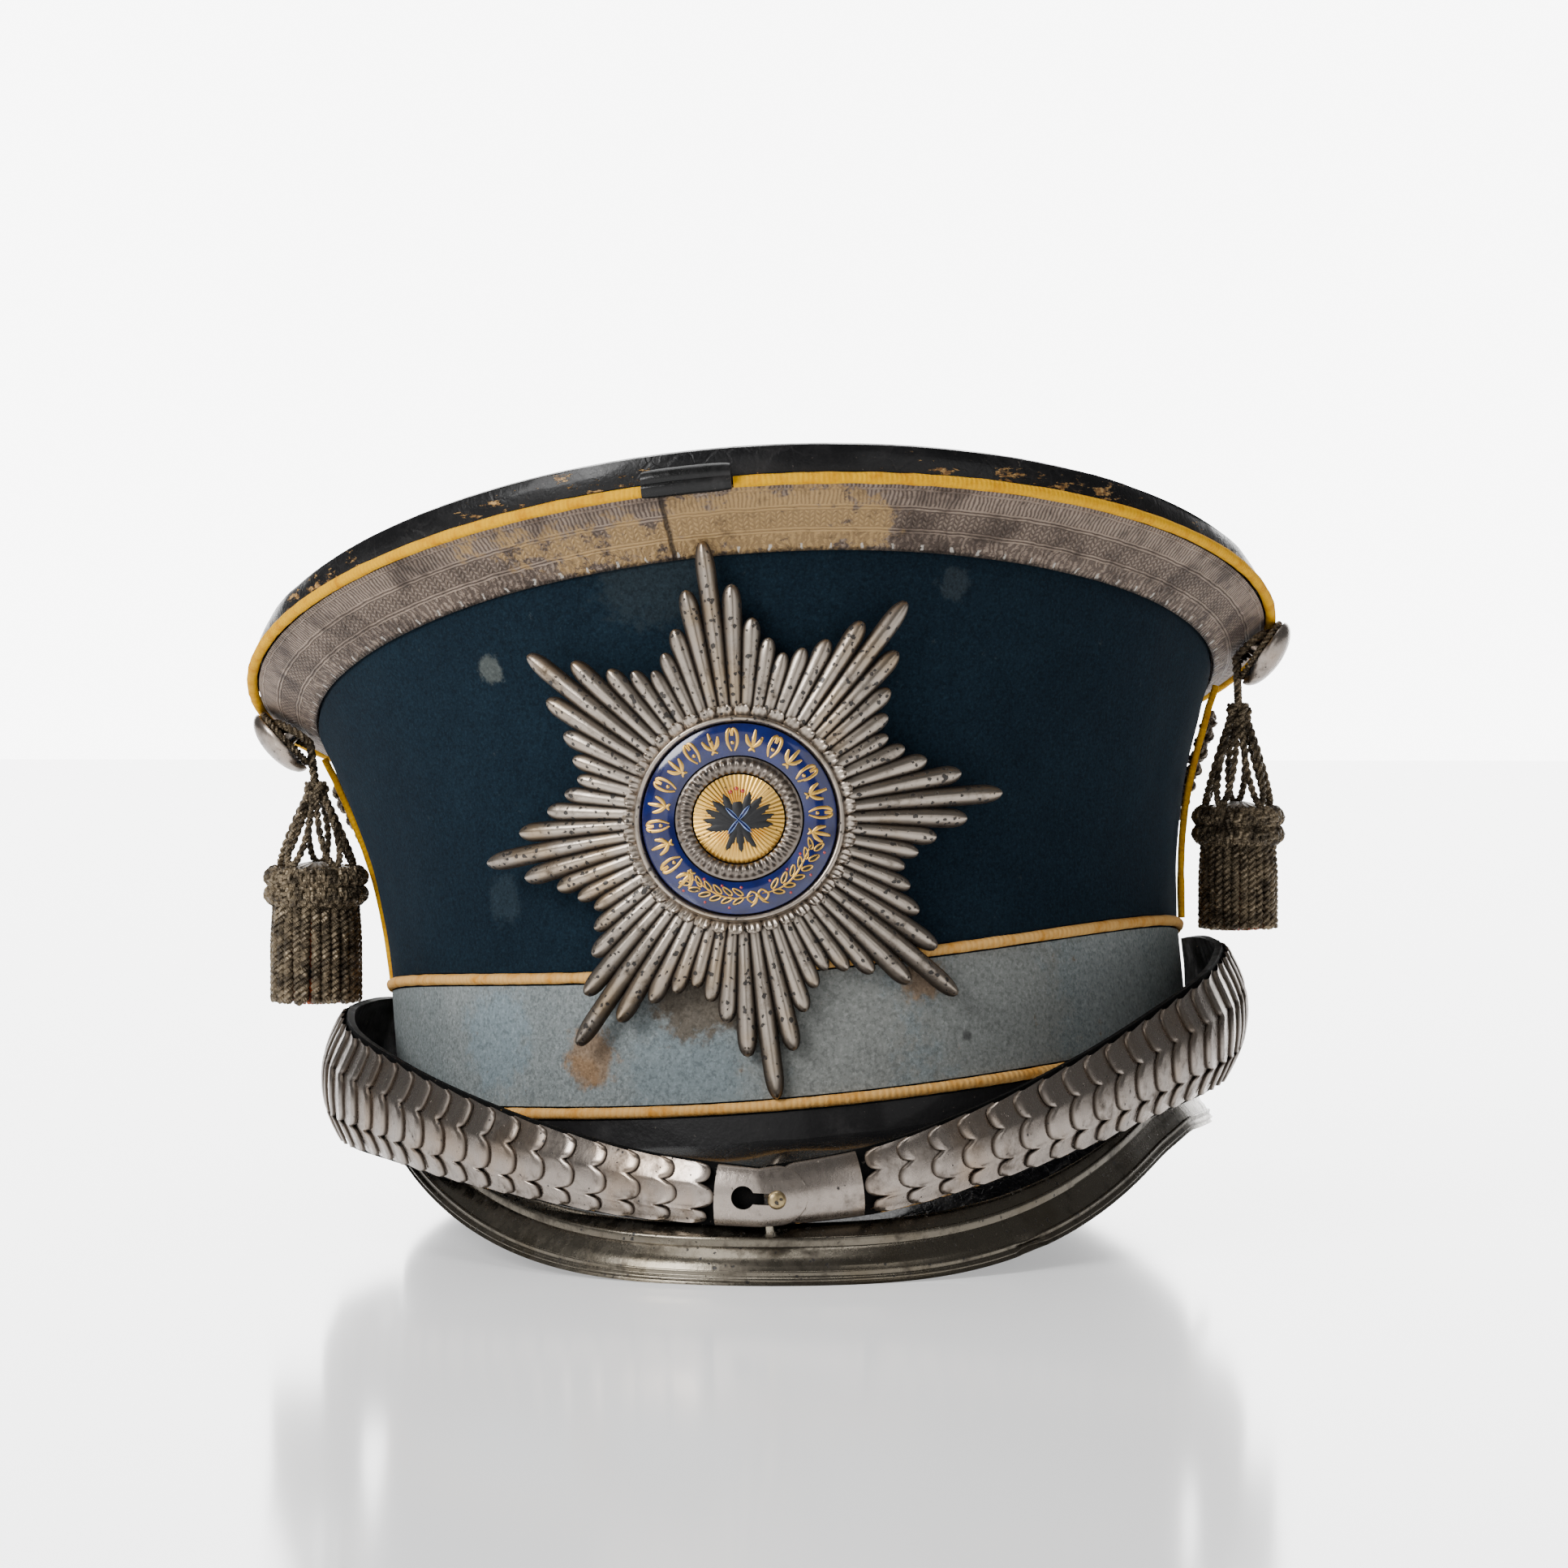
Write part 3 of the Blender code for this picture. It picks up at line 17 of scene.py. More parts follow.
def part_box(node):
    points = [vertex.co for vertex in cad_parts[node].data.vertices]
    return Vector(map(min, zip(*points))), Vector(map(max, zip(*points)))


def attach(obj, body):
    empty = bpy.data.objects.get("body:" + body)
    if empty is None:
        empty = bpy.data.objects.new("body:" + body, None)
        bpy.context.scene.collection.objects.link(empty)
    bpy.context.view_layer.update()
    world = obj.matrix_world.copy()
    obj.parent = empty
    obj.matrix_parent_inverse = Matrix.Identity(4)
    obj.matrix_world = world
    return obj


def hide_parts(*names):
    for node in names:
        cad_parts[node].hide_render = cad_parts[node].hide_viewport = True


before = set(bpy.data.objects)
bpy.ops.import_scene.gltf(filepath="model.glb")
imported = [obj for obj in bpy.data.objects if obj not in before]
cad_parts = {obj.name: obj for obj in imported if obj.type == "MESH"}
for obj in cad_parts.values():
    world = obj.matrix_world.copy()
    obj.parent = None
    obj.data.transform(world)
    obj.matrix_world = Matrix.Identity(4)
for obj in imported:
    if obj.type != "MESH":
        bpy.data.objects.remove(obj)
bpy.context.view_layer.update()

LOG = logging.getLogger("shako")
GAP = 0.00035
UP = Vector((0, 0, 1))
PERIMETER = 0.62
Colour = tuple[float, float, float]
Rows = list[list[Vector]]


# Small sums

def between(low: float, high: float, share: float) -> float:
    """The value a share of the way from low to high."""
    return low + (high - low) * share


def steps(first: float, last: float, count: int) -> list[float]:
    """Evenly spaced values from first to last, both included."""
    return [between(first, last, index / count) for index in range(count + 1)]


def smooth(value: float) -> float:
    """An ease from 0 to 1."""
    value = min(1.0, max(0.0, value))
    return value * value * (3 - 2 * value)


def through(values: Sequence[float], place: float) -> float:
    """A smooth curve through values, at a place from 0 to the last one's index.

    Args:
        values: the values that the curve runs through.
        place: how far along the curve is read.

    Returns:
        The curve's value there.
    """
    last = len(values) - 1
    index = min(last - 1, max(0, int(place)))
    t = place - index
    p0, p1, p2, p3 = (values[min(last, max(0, index + k))] for k in (-1, 0, 1, 2))
    return 0.5 * (2 * p1 + (p2 - p0) * t + (2 * p0 - 5 * p1 + 4 * p2 - p3) * t * t
                  + (3 * p1 - p0 - 3 * p2 + p3) * t ** 3)


def waver(point: Vector, scale: float, height: float) -> float:
    """Gentle unevenness at a point: noise of a size and a height."""
    return noise.noise(point / scale) * height


def circle(radius: float, count: int, height: float) -> list[Vector]:
    """Points round the Z axis at a height."""
    return [Vector((radius * cos(turn), radius * sin(turn), height))
            for turn in steps(0, tau, count)[:-1]]


def add_object(name: str, data: bpy.types.ID) -> bpy.types.Object:
    """A new object in the scene.

    Args:
        name: the object's name.
        data: its mesh, camera or light.

    Returns:
        The object.
    """
    fresh = bpy.data.objects.new(name, data)
    bpy.context.scene.collection.objects.link(fresh)
    return fresh


# Shader sums

class Wire:
    """A shader socket that takes part in sums; each operator adds its Math node."""

    def __init__(self, sheet: "Sheet", socket: bpy.types.NodeSocket) -> None:
        """Wraps a socket of a sheet."""
        self.sheet = sheet
        self.socket = socket

    def math(self, operation: str, *others: "Wire | float") -> "Wire":
        """This value and others through one Math operation."""
        return self.sheet.node("ShaderNodeMath", {"operation": operation}, [self, *others])

    def __add__(self, other: "Wire | float") -> "Wire":
        """Adds."""
        return self.math("ADD", other)

    __radd__ = __add__

    def __mul__(self, other: "Wire | float") -> "Wire":
        """Multiplies."""
        return self.math("MULTIPLY", other)

    __rmul__ = __mul__

    def __sub__(self, other: "Wire | float") -> "Wire":
        """Subtracts."""
        return self.math("SUBTRACT", other)

    def __rsub__(self, other: "Wire | float") -> "Wire":
        """Is subtracted from a number."""
        return self.sheet.node("ShaderNodeMath", {"operation": "SUBTRACT"}, [other, self])

    def __truediv__(self, other: "Wire | float") -> "Wire":
        """Divides."""
        return self.math("DIVIDE", other)

    def sine(self, period: float) -> "Wire":
        """A wave of this value from 0 to 1 with a period."""
        return (self * (tau / period)).math("SINE") * 0.5 + 0.5

    def ease(self, low: float, high: float) -> "Wire":
        """0 below low, 1 above high and smooth between; reversed where low is the larger."""
        return self.sheet.node("ShaderNodeMapRange", {"interpolation_type": "SMOOTHSTEP"},
                               {"Value": self, "From Min": low, "From Max": high})


class Sheet:
    """One material and its node tree."""

    def __init__(self, name: str) -> None:
        """Makes an empty material.

        Args:
            name: the material's name.
        """
        self.material = bpy.data.materials.new(name)
        self.material.use_nodes = True
        self.tree = self.material.node_tree
        self.shader = self.tree.nodes["Principled BSDF"]

    def node(self, kind: str, settings: dict | None = None,
             inputs: dict | Sequence | None = None, output: int | str = 0) -> Wire:
        """Adds a node.

        Args:
            kind: the node's type.
            settings: its own settings, set first.
            inputs: values or wires for its sockets, by name, number or order.
            output: which of its outputs is wanted.

        Returns:
            The wanted output.
        """
        fresh = self.tree.nodes.new(kind)
        for key, value in (settings or {}).items():
            setattr(fresh, key, value)
        pairs = inputs.items() if isinstance(inputs, dict) else enumerate(inputs or [])
        for key, value in pairs:
            self.feed(fresh.inputs[key], value)
        return Wire(self, fresh.outputs[output])

    def feed(self, socket: bpy.types.NodeSocket, value: object) -> None:
        """Gives a socket a wire, a number, a vector or a colour.

        Args:
            socket: the socket that is set.
            value: what it is given.
        """
        if isinstance(value, Wire):
            self.tree.links.new(value.socket, socket)
        elif isinstance(value, tuple) and socket.type == "RGBA":
            socket.default_value = (*value, 1.0)
        else:
            socket.default_value = value

    def mix(self, factor: "Wire | float", low: "Wire | Colour", high: "Wire | Colour",
            blend: str = "MIX") -> Wire:
        """Two colours mixed."""
        return self.node("ShaderNodeMix", {"data_type": "RGBA", "blend_type": blend},
                         {0: factor, 6: low, 7: high}, output=2)

    @cached_property
    def place(self) -> Wire:
        """The point in the model's frame."""
        return self.node("ShaderNodeTexCoord", output="Object")

    @cached_property
    def cloth_place(self) -> Wire:
        """The point on the piece's own surface, in metres along and across."""
        return self.node("ShaderNodeTexCoord", output="UV")

    def part(self, vector: Wire, index: int) -> Wire:
        """One number of a vector."""
        return self.node("ShaderNodeSeparateXYZ", None, [vector], output=index)

    def stretch(self, vector: Wire, factors: Colour) -> Wire:
        """A vector multiplied number by number."""
        return self.node("ShaderNodeVectorMath", {"operation": "MULTIPLY"}, [vector, factors])

    def noise(self, size: float, detail: float = 3.0, rough: float = 0.55,
              at: Wire | None = None) -> Wire:
        """Noise with features of a size in metres.

        Args:
            size: the size of a feature in metres.
            detail: how many finer layers it has.
            rough: how strong the finer layers are.
            at: where it is read, or None for the point itself.

        Returns:
            The noise, from 0 to 1.
        """
        return self.node("ShaderNodeTexNoise", None, {
            "Vector": at or self.place, "Scale": 1 / size, "Detail": detail,
            "Roughness": rough})

    def cells(self, size: float, feature: str = "F1", at: Wire | None = None) -> Wire:
        """The distance to the nearest of scattered points, or to the edge between cells."""
        return self.node("ShaderNodeTexVoronoi", {"feature": feature},
                         {"Vector": at or self.place, "Scale": 1 / size}, output="Distance")

    def blot(self, point: Vector, radius: float) -> Wire:
        """1 at a point of the model, easing to 0 at a radius.

        Args:
            point: its middle.
            radius: how far it reaches.

        Returns:
            The blot, from 0 to 1.
        """
        away = self.node("ShaderNodeVectorMath", {"operation": "DISTANCE"},
                         [self.place, tuple(point)], output="Value")
        return away.ease(radius, 0.0)

    def bump(self, height: Wire, depth: float) -> Wire:
        """A normal bent by a height from 0 to 1, with a depth in metres."""
        return self.node("ShaderNodeBump", None,
                         {"Height": height, "Distance": depth, "Strength": 1.0})

    def finish(self, **sockets: object) -> bpy.types.Material:
        """Sets the shader's sockets, with _ in a name standing for a space.

        Args:
            sockets: the value or wire of each socket.

        Returns:
            The material.
        """
        for name, value in sockets.items():
            self.feed(self.shader.inputs[name.replace("_", " ")], value)
        return self.material


class Room(Sheet):
    """The world's node tree, drawn with the same tools."""

    def __init__(self, tree: bpy.types.NodeTree) -> None:
        """Takes an existing tree."""
        self.tree = tree


# The hat's shape

class Stage(Enum):
    """The stages of the body, from the foot up."""

    BASE = 0
    BAND = 1
    CLOTH = 2
    LACE = 3
    RIM = 4


@dataclass(frozen=True)
class Ring:
    """A ring of the body: half sizes, height, slope towards the back and arch at the sides."""

    half_width: float
    half_depth: float
    height: float
    slope: float = 0.0
    arch: float = 0.0


@dataclass
class HatShape:
    """The body's surface, from the same sizes as the part."""

    half_width: float = 0.0886
    half_depth: float = 0.1010
    side_arch: float = 0.0093
    lower_piping: float = 0.0054
    base_tall: float = 0.0080
    band_tall: float = 0.0284
    cloth_tall: float = 0.0697
    cloth_flare: tuple[float, float] = (0.0129, 0.0080)
    lace_tall: float = 0.0092
    lace_flare: tuple[float, float] = (0.0134, 0.0150)
    rim_tall: float = 0.0061
    rim_draw_in: float = 0.0020
    slopes: tuple[float, float, float] = (0.143, 0.154, 0.166)
    sag: float = -0.0030
    lean_back: float = radians(7.5)
    lean_side: float = radians(4.75)
    back_contact: float = 0.0990
    piping_radius: float = 0.00115
    flare_heights: tuple[float, ...] = (0.0, 0.22, 0.38, 0.53, 0.70, 0.88, 1.0)
    flare_shares: tuple[float, ...] = (0.0, 0.06, 0.15, 0.29, 0.52, 0.80, 1.0)
    rings: list[Ring] = field(init=False)
    pose: Matrix = field(init=False)
    shift: Vector = field(init=False)

    def __post_init__(self) -> None:
        """Works out the rings and the pose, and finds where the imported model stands."""
        low = Ring(self.half_width, self.half_depth, self.lower_piping, 0.0, self.side_arch)
        base = Ring(low.half_width, low.half_depth, low.height - self.base_tall, 0.0, low.arch)
        high = Ring(low.half_width, low.half_depth, low.height + self.band_tall, 0.0, low.arch)
        cloth = Ring(high.half_width + self.cloth_flare[0], high.half_depth + self.cloth_flare[1],
                     high.height + self.cloth_tall, self.slopes[0], self.sag)
        lace = Ring(cloth.half_width + self.lace_flare[0], cloth.half_depth + self.lace_flare[1],
                    cloth.height + self.lace_tall, self.slopes[1], self.sag)
        rim = Ring(lace.half_width - self.rim_draw_in, lace.half_depth,
                   lace.height + self.rim_tall, self.slopes[2], self.sag)
        self.rings = [base, low, high, cloth, lace, rim]
        lean = Matrix.Rotation(-self.lean_side, 4, "Y") @ Matrix.Rotation(-self.lean_back, 4, "X")
        drop = (lean @ Vector((0, self.back_contact, 0))).z
        self.pose = Matrix.Translation((0, 0, -drop)) @ lean
        own = [self.surface(Stage.LACE, 1 - self.share(Stage.LACE, self.groove, angle), angle)
               for angle in range(-180, 180, 10)]
        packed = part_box("lace_band")[0]
        self.shift = Vector((packed.x - min(p.x for p in own), packed.y - min(p.y for p in own), 0))
        self.pose = Matrix.Translation(self.shift) @ self.pose

    @property
    def groove(self) -> float:
        """How far a skin stops short of a piping's middle."""
        return self.piping_radius + GAP

    def flare(self, share: float) -> float:
        """How much of its flare the cloth has at a share of its height.

        Args:
            share: how far up the cloth, from 0 to 1.

        Returns:
            The share, from 0 to 1.
        """
        heights = self.flare_heights
        index = 0
        while index < len(heights) - 2 and share > heights[index + 1]:
            index += 1
        local = (share - heights[index]) / (heights[index + 1] - heights[index])
        return through(self.flare_shares, index + min(1.0, max(0.0, local)))

    def outline(self, stage: Stage, share: float, angle: float) -> Vector:
        """A point of the body in the hat's own frame; angle 0 is the front, 90 the right.

        Args:
            stage: the stage of the body.
            share: how far up the stage, from 0 to 1.
            angle: degrees from the front, positive to the right.

        Returns:
            The point.
        """
        low, high = self.rings[stage.value], self.rings[stage.value + 1]
        wide = self.flare(share) if stage is Stage.CLOTH else share
        half_width = between(low.half_width, high.half_width, wide)
        half_depth = between(low.half_depth, high.half_depth, wide)
        across, y = sin(radians(angle)), -half_depth * cos(radians(angle))
        height = between(low.height, high.height, share)
        slope, arch = between(low.slope, high.slope, share), between(low.arch, high.arch, share)
        return Vector((half_width * across, y, height - slope * y + arch * across ** 2))

    def surface(self, stage: Stage, share: float, angle: float) -> Vector:
        """A point of the body in the model's frame."""
        return self.pose @ self.outline(stage, share, angle)

    def normal(self, stage: Stage, share: float, angle: float) -> Vector:
        """The body's outward direction.

        Args:
            stage: the stage of the body.
            share: how far up the stage, from 0 to 1.
            angle: degrees from the front, positive to the right.

        Returns:
            The direction, of length 1.
        """
        step = 0.02
        low = max(0.0, min(1.0 - step, share - step / 2))
        along = self.surface(stage, share, angle + 1) - self.surface(stage, share, angle - 1)
        up = self.surface(stage, low + step, angle) - self.surface(stage, low, angle)
        return along.cross(up).normalized()

    def share(self, stage: Stage, length: float, angle: float) -> float:
        """The share of a stage that a length along its face takes."""
        ends = self.outline(stage, 1.0, angle) - self.outline(stage, 0.0, angle)
        return length / ends.length

    def off(self, stage: Stage, share: float, angle: float, lift: float) -> Vector:
        """A point lifted off the body's surface."""
        return self.surface(stage, share, angle) + self.normal(stage, share, angle) * lift


# Mesh building

class Shell:
    """Collects grids of points into one smooth mesh, with its UVs in metres."""

    def __init__(self) -> None:
        """Starts with nothing."""
        self.points: list[Vector] = []
        self.faces: list[tuple[int, ...]] = []
        self.uvs: list[tuple[float, float]] = []

    def grid(self, rows: Rows, around: bool = False, loop: bool = False, cap: bool = False,
             us: Sequence[float] | None = None, vs: Sequence[float] | None = None) -> "Shell":
        """Adds a grid of quads.

        Args:
            rows: the points, row by row.
            around: joins each row's end to its start.
            loop: joins the last row to the first.
            cap: closes the first and the last row.
            us: the U of each row, or None for its length along the grid.
            vs: the V of each column, or None for its length across the grid.

        Returns:
            This shell.
        """
        first, wide = len(self.points), len(rows[0])
        for row in rows:
            self.points += row
        us = list(us) if us else self.lengths([row[0] for row in rows], loop)
        vs = list(vs) if vs else self.lengths(rows[0], around)
        for i in range(len(rows) if loop else len(rows) - 1):
            for j in range(wide if around else wide - 1):
                below, beside = (i + 1) % len(rows), (j + 1) % wide
                self.faces.append((first + i * wide + j, first + i * wide + beside,
                                   first + below * wide + beside, first + below * wide + j))
                self.uvs += [(us[i], vs[j]), (us[i], vs[j + 1]),
                             (us[i + 1], vs[j + 1]), (us[i + 1], vs[j])]
        if cap:
            for i in (0, len(rows) - 1):
                self.faces.append(tuple(first + i * wide + j for j in range(wide)))
                self.uvs += [(us[i], vs[j]) for j in range(wide)]
        return self

    @staticmethod
    def lengths(points: Sequence[Vector], closed: bool) -> list[float]:
        """The length up to each point, with one more for the way back where it is closed.

        Args:
            points: the points that it follows.
            closed: whether its end joins its start.

        Returns:
            The lengths.
        """
        total, found = 0.0, [0.0]
        ends = list(points[1:]) + ([points[0]] if closed else [])
        for near, far in zip(points, ends):
            total += (far - near).length
            found.append(total)
        return found

    def mesh(self, name: str, sharp: float) -> bpy.types.Mesh:
        """Makes the mesh.

        Args:
            name: the mesh's name.
            sharp: the angle above which an edge is sharp.

        Returns:
            The mesh.
        """
        mesh = bpy.data.meshes.new(name)
        mesh.from_pydata([tuple(point) for point in self.points], [], self.faces)
        layer = mesh.uv_layers.new(name="UVMap")
        layer.data.foreach_set("uv", [number for pair in self.uvs for number in pair])
        build = bmesh.new()
        build.from_mesh(mesh)
        bmesh.ops.recalc_face_normals(build, faces=build.faces)
        build.to_mesh(mesh)
        build.free()
        mesh.shade_smooth()
        mesh.set_sharp_from_angle(angle=radians(sharp))
        return mesh


def resampled(points: Sequence[Vector], step: float, closed: bool = False) -> list[Vector]:
    """Points on a smooth curve through given ones, about a step apart.

    Args:
        points: the points that it follows.
        step: the length between two points.
        closed: whether its end joins its start.

    Returns:
        The points.
    """
    given = list(points) + ([points[0], points[1], points[2]] if closed else [])
    columns = [[point[axis] for point in given] for axis in range(3)]
    length = Shell.lengths(points, closed)[-1]
    count = max(4, round(length / step))
    first, last = (1, len(points) + 1) if closed else (0, len(points) - 1)
    places = steps(first, last, count)[:count if closed else count + 1]
    return [Vector([through(column, place) for column in columns]) for place in places]


def frames(path: Sequence[Vector], closed: bool = False) -> list[tuple[Vector, Vector, Vector]]:
    """Each point with two directions across the path that don't twist along it.

    Args:
        path: the points that it follows.
        closed: whether its end joins its start.

    Returns:
        Each point with its two directions.
    """
    count, found, side = len(path), [], None
    for index, point in enumerate(path):
        ahead = path[(index + 1) % count] if closed else path[min(count - 1, index + 1)]
        behind = path[index - 1] if closed else path[max(0, index - 1)]
        run = (ahead - behind).normalized()
        if side is None:
            side = run.cross(UP if abs(run.z) < 0.9 else Vector((0, 1, 0)))
        side = (side - run * side.dot(run)).normalized()
        found.append((point, side, run.cross(side)))
    return found


def tube(path: Sequence[Vector], radius: float, sides: int, closed: bool,
         uneven: float = 0.0) -> Rows:
    """Rows round a path, for a cord whose radius may be a little uneven.

    Args:
        path: the points that it follows.
        radius: its radius.
        sides: how many points go round it.
        closed: whether its end joins its start.
        uneven: how much its radius varies.

    Returns:
        The rows, one for each point.
    """
    rows = []
    for point, side, up in frames(path, closed):
        size = radius * (1 + waver(point, 0.004, uneven))
        rows.append([point + (side * cos(tau * k / sides) + up * sin(tau * k / sides)) * size
                     for k in range(sides)])
    return rows


def rope(shell: Shell, path: Sequence[Vector], radius: float, pitch: float, strands: int = 2,
         closed: bool = False, phase: float = 0.0) -> None:
    """Adds a twisted cord along a path: strands that wind round each other.

    Args:
        shell: the shell that it is added to.
        path: the points that it follows.
        radius: its radius.
        pitch: the length of one turn.
        strands: how many strands it has.
        closed: whether its end joins its start.
        phase: where the first strand starts.
    """
    dense, sides = resampled(path, pitch / 9, closed), 6
    length = Shell.lengths(dense, closed)[-1]
    turns = round(length / pitch) if closed else length / pitch
    own = radius * (0.52 if strands == 2 else 0.48)
    around = frames(dense, closed)
    for strand in range(strands):
        start, winding = tau * strand / strands + phase, []
        for index, (point, side, up) in enumerate(around):
            turn = start + tau * turns * index / len(around)
            winding.append(point + (side * cos(turn) + up * sin(turn)) * (radius - own))
        shell.grid(tube(winding, own, sides, closed), around=True, loop=closed, cap=not closed,
                   vs=[k * own for k in range(sides + 1)])


# Finishes

@dataclass(frozen=True)
class Finish:
    """A named finish with a slot name, which nothing here reads; each kind says how it is made."""

    name: str
    slot: str

    def made(self) -> bpy.types.Material:
        """The material, made the first time that it is asked for.

        Returns:
            The material.
        """
        name = "look_" + self.name
        if name not in bpy.data.materials:
            self.make(Sheet(name))
        return bpy.data.materials[name]

    def make(self, sheet: Sheet) -> None:
        """Builds the material's nodes."""
        raise NotImplementedError


@dataclass(frozen=True)
class Stain:
    """A mark on cloth: where it is, how large, its colour and how strong."""

    point: Vector
    radius: float
    colour: Colour
    strength: float = 0.6


@dataclass(frozen=True)
class Wool(Finish):
    """Felted wool cloth with a nap, uneven fading and stains."""

    colour: Colour
    faded: Colour
    lint: Colour
    nap: float = 0.00016
    stains: tuple[Stain, ...] = ()

    def make(self, sheet: Sheet) -> None:
        """Mottles the colour at three sizes and lays the stains over it.

        Args:
            sheet: the material that is being made.
        """
        cloudy, patch = sheet.noise(0.030, 4), sheet.noise(0.006, 5, 0.65)
        fuzz, rag = sheet.noise(0.0005, 4, 0.7), sheet.noise(0.0034, 5, 0.7)
        tone = sheet.mix((cloudy * 0.6 + patch * 0.4).ease(0.38, 0.66), self.colour, self.faded)
        tone = sheet.mix(fuzz.ease(0.42, 0.80) * 0.40, tone, self.lint)
        specks = sheet.cells(0.0030).ease(0.12, 0.03) * sheet.noise(0.02, 2).ease(0.42, 0.60)
        tone = sheet.mix(specks * 0.5, tone, self.lint)
        for stain in self.stains:
            ragged = sheet.blot(stain.point, stain.radius * 1.25) + (rag - 0.5) * 1.5
            tone = sheet.mix(ragged.ease(0.22, 0.62) * stain.strength, tone, stain.colour)
        pale = sheet.mix(1.0, tone, (1.9, 1.9, 1.9), "MULTIPLY")
        tone = sheet.mix(sheet.noise(0.00075, 2, 0.5).ease(0.45, 0.75) * 0.35, tone, pale)
        deep = sheet.mix(1.0, tone, (0.50, 0.50, 0.50), "MULTIPLY")
        tone = sheet.mix(sheet.noise(0.0010, 4, 0.7).ease(0.54, 0.36) * 0.6, tone, deep)
        weave = sheet.noise(0.0009, 3, 0.65) * 0.6 + fuzz * 0.4
        sheet.finish(Base_Color=tone, Roughness=0.95, Normal=sheet.bump(weave, self.nap),
                     Specular_IOR_Level=0.12)


@dataclass(frozen=True)
class PipingCloth(Finish):
    """Cord covered with thin cloth, a little crimped across."""

    colour: Colour
    # The darker colour, for uneven wear and for the painted shade in the crimp's troughs.
    edge: Colour
    crimp: float = 0.0011

    def make(self, sheet: Sheet) -> None:
        """Crimps the cord along its length, darkens it unevenly and paints shade in the crimp's
        troughs.

        Args:
            sheet: the material that is being made.
        """
        along = sheet.part(sheet.cloth_place, 0)
        ripple = (along + sheet.noise(0.004, 2) * 0.0012).sine(self.crimp)
        worn = sheet.noise(0.004, 4, 0.65)
        tone = sheet.mix(worn.ease(0.42, 0.75), self.colour, self.edge)
        # Painted shade: the troughs of the crimp are darkened.
        tone = sheet.mix(ripple.ease(0.35, 0.0) * 0.30, tone, self.edge)
        height = ripple * 0.5 + sheet.noise(0.0005, 3) * 0.5
        sheet.finish(Base_Color=tone, Roughness=0.85, Normal=sheet.bump(height, 0.00016),
                     Specular_IOR_Level=0.15)


@dataclass(frozen=True)
class LaceWeave(Finish):
    """Metallic lace: ribbed borders, double lines and a honeycomb middle, partly worn to gold."""

    width: float
    thread: Colour
    dark: Colour
    worn: Colour
    worn_at: tuple[Stain, ...]

    def make(self, sheet: Sheet) -> None:
        """Draws the weave from the places along and across the lace.

        Args:
            sheet: the material that is being made.
        """
        along, across = sheet.part(sheet.cloth_place, 0), sheet.part(sheet.cloth_place, 1)
        uneven = sheet.noise(0.004, 4) - 0.5
        across = across + uneven * 0.0009
        share = across / self.width
        low, high = share.ease(0.30, 0.27), share.ease(0.68, 0.71)
        ribs = (along + uneven * 0.0016).sine(0.00082)
        loose = (along + uneven * 0.004).sine(0.0013) * sheet.noise(0.0012, 3).ease(0.35, 0.6)
        double = None
        for line in (0.29, 0.335, 0.635, 0.68, 0.93):
            ridge = (share - line).math("ABSOLUTE").ease(0.022, 0.006)
            double = ridge if double is None else double + ridge
        zig = (along.sine(0.0021) - 0.5) * 0.0009
        dots = (across + zig).sine(0.0013) * along.sine(0.00105)
        middle = share.ease(0.35, 0.38) * share.ease(0.62, 0.59)
        height = loose * low * 1.1 + ribs * high * 0.7 + double * 0.7 + dots * middle * 1.2
        grime, ragged = sheet.noise(0.010, 5, 0.65), sheet.noise(0.0035, 6, 0.75)
        tone = sheet.mix(grime.ease(0.40, 0.68) * 0.8, self.thread, self.dark)
        bare = None
        for patch in self.worn_at:
            spot = sheet.blot(patch.point, patch.radius) * patch.strength
            bare = spot if bare is None else bare.math("MAXIMUM", spot)
        bare = (bare * 0.75 + (ragged - 0.5) * 1.9).ease(0.18, 0.42) * bare.ease(0.02, 0.25)
        tone = sheet.mix(bare, tone, self.worn)
        # Painted shade: darker where the weave lies low, in its recesses, and less on the worn gold.
        tone = sheet.mix((1 - height.ease(0.0, 0.55)) * (0.72 - bare * 0.35), tone, self.dark)
        tone = sheet.mix(ragged.ease(0.52, 0.70) * 0.55, tone, self.dark)
        frayed = (across + sheet.noise(0.0010, 4) * 0.0022).ease(0.0024, 0.0009)
        tone = sheet.mix(frayed * 0.9, tone, (0.020, 0.015, 0.012))
        stitch = (across - 0.0013).math("ABSOLUTE").ease(0.0010, 0.0005)
        stitch = stitch * (along + uneven * 0.003).sine(0.0062).ease(0.975, 0.99)
        tone = sheet.mix(stitch * 0.8, tone, (0.62, 0.58, 0.52))
        seam = (along + PERIMETER * 0.0185 + uneven * 0.001).math("ABSOLUTE").ease(0.0007, 0.0002)
        tone = sheet.mix(seam * 0.85, tone, (0.02, 0.014, 0.010))
        rest = 1 - bare * 0.55
        sheet.finish(Base_Color=tone, Metallic=rest * 0.30, Roughness=0.68 - height * 0.18,
                     Specular_IOR_Level=0.3,
                     Normal=sheet.bump(height * rest + ragged * 0.6 - seam - frayed, 0.00042))


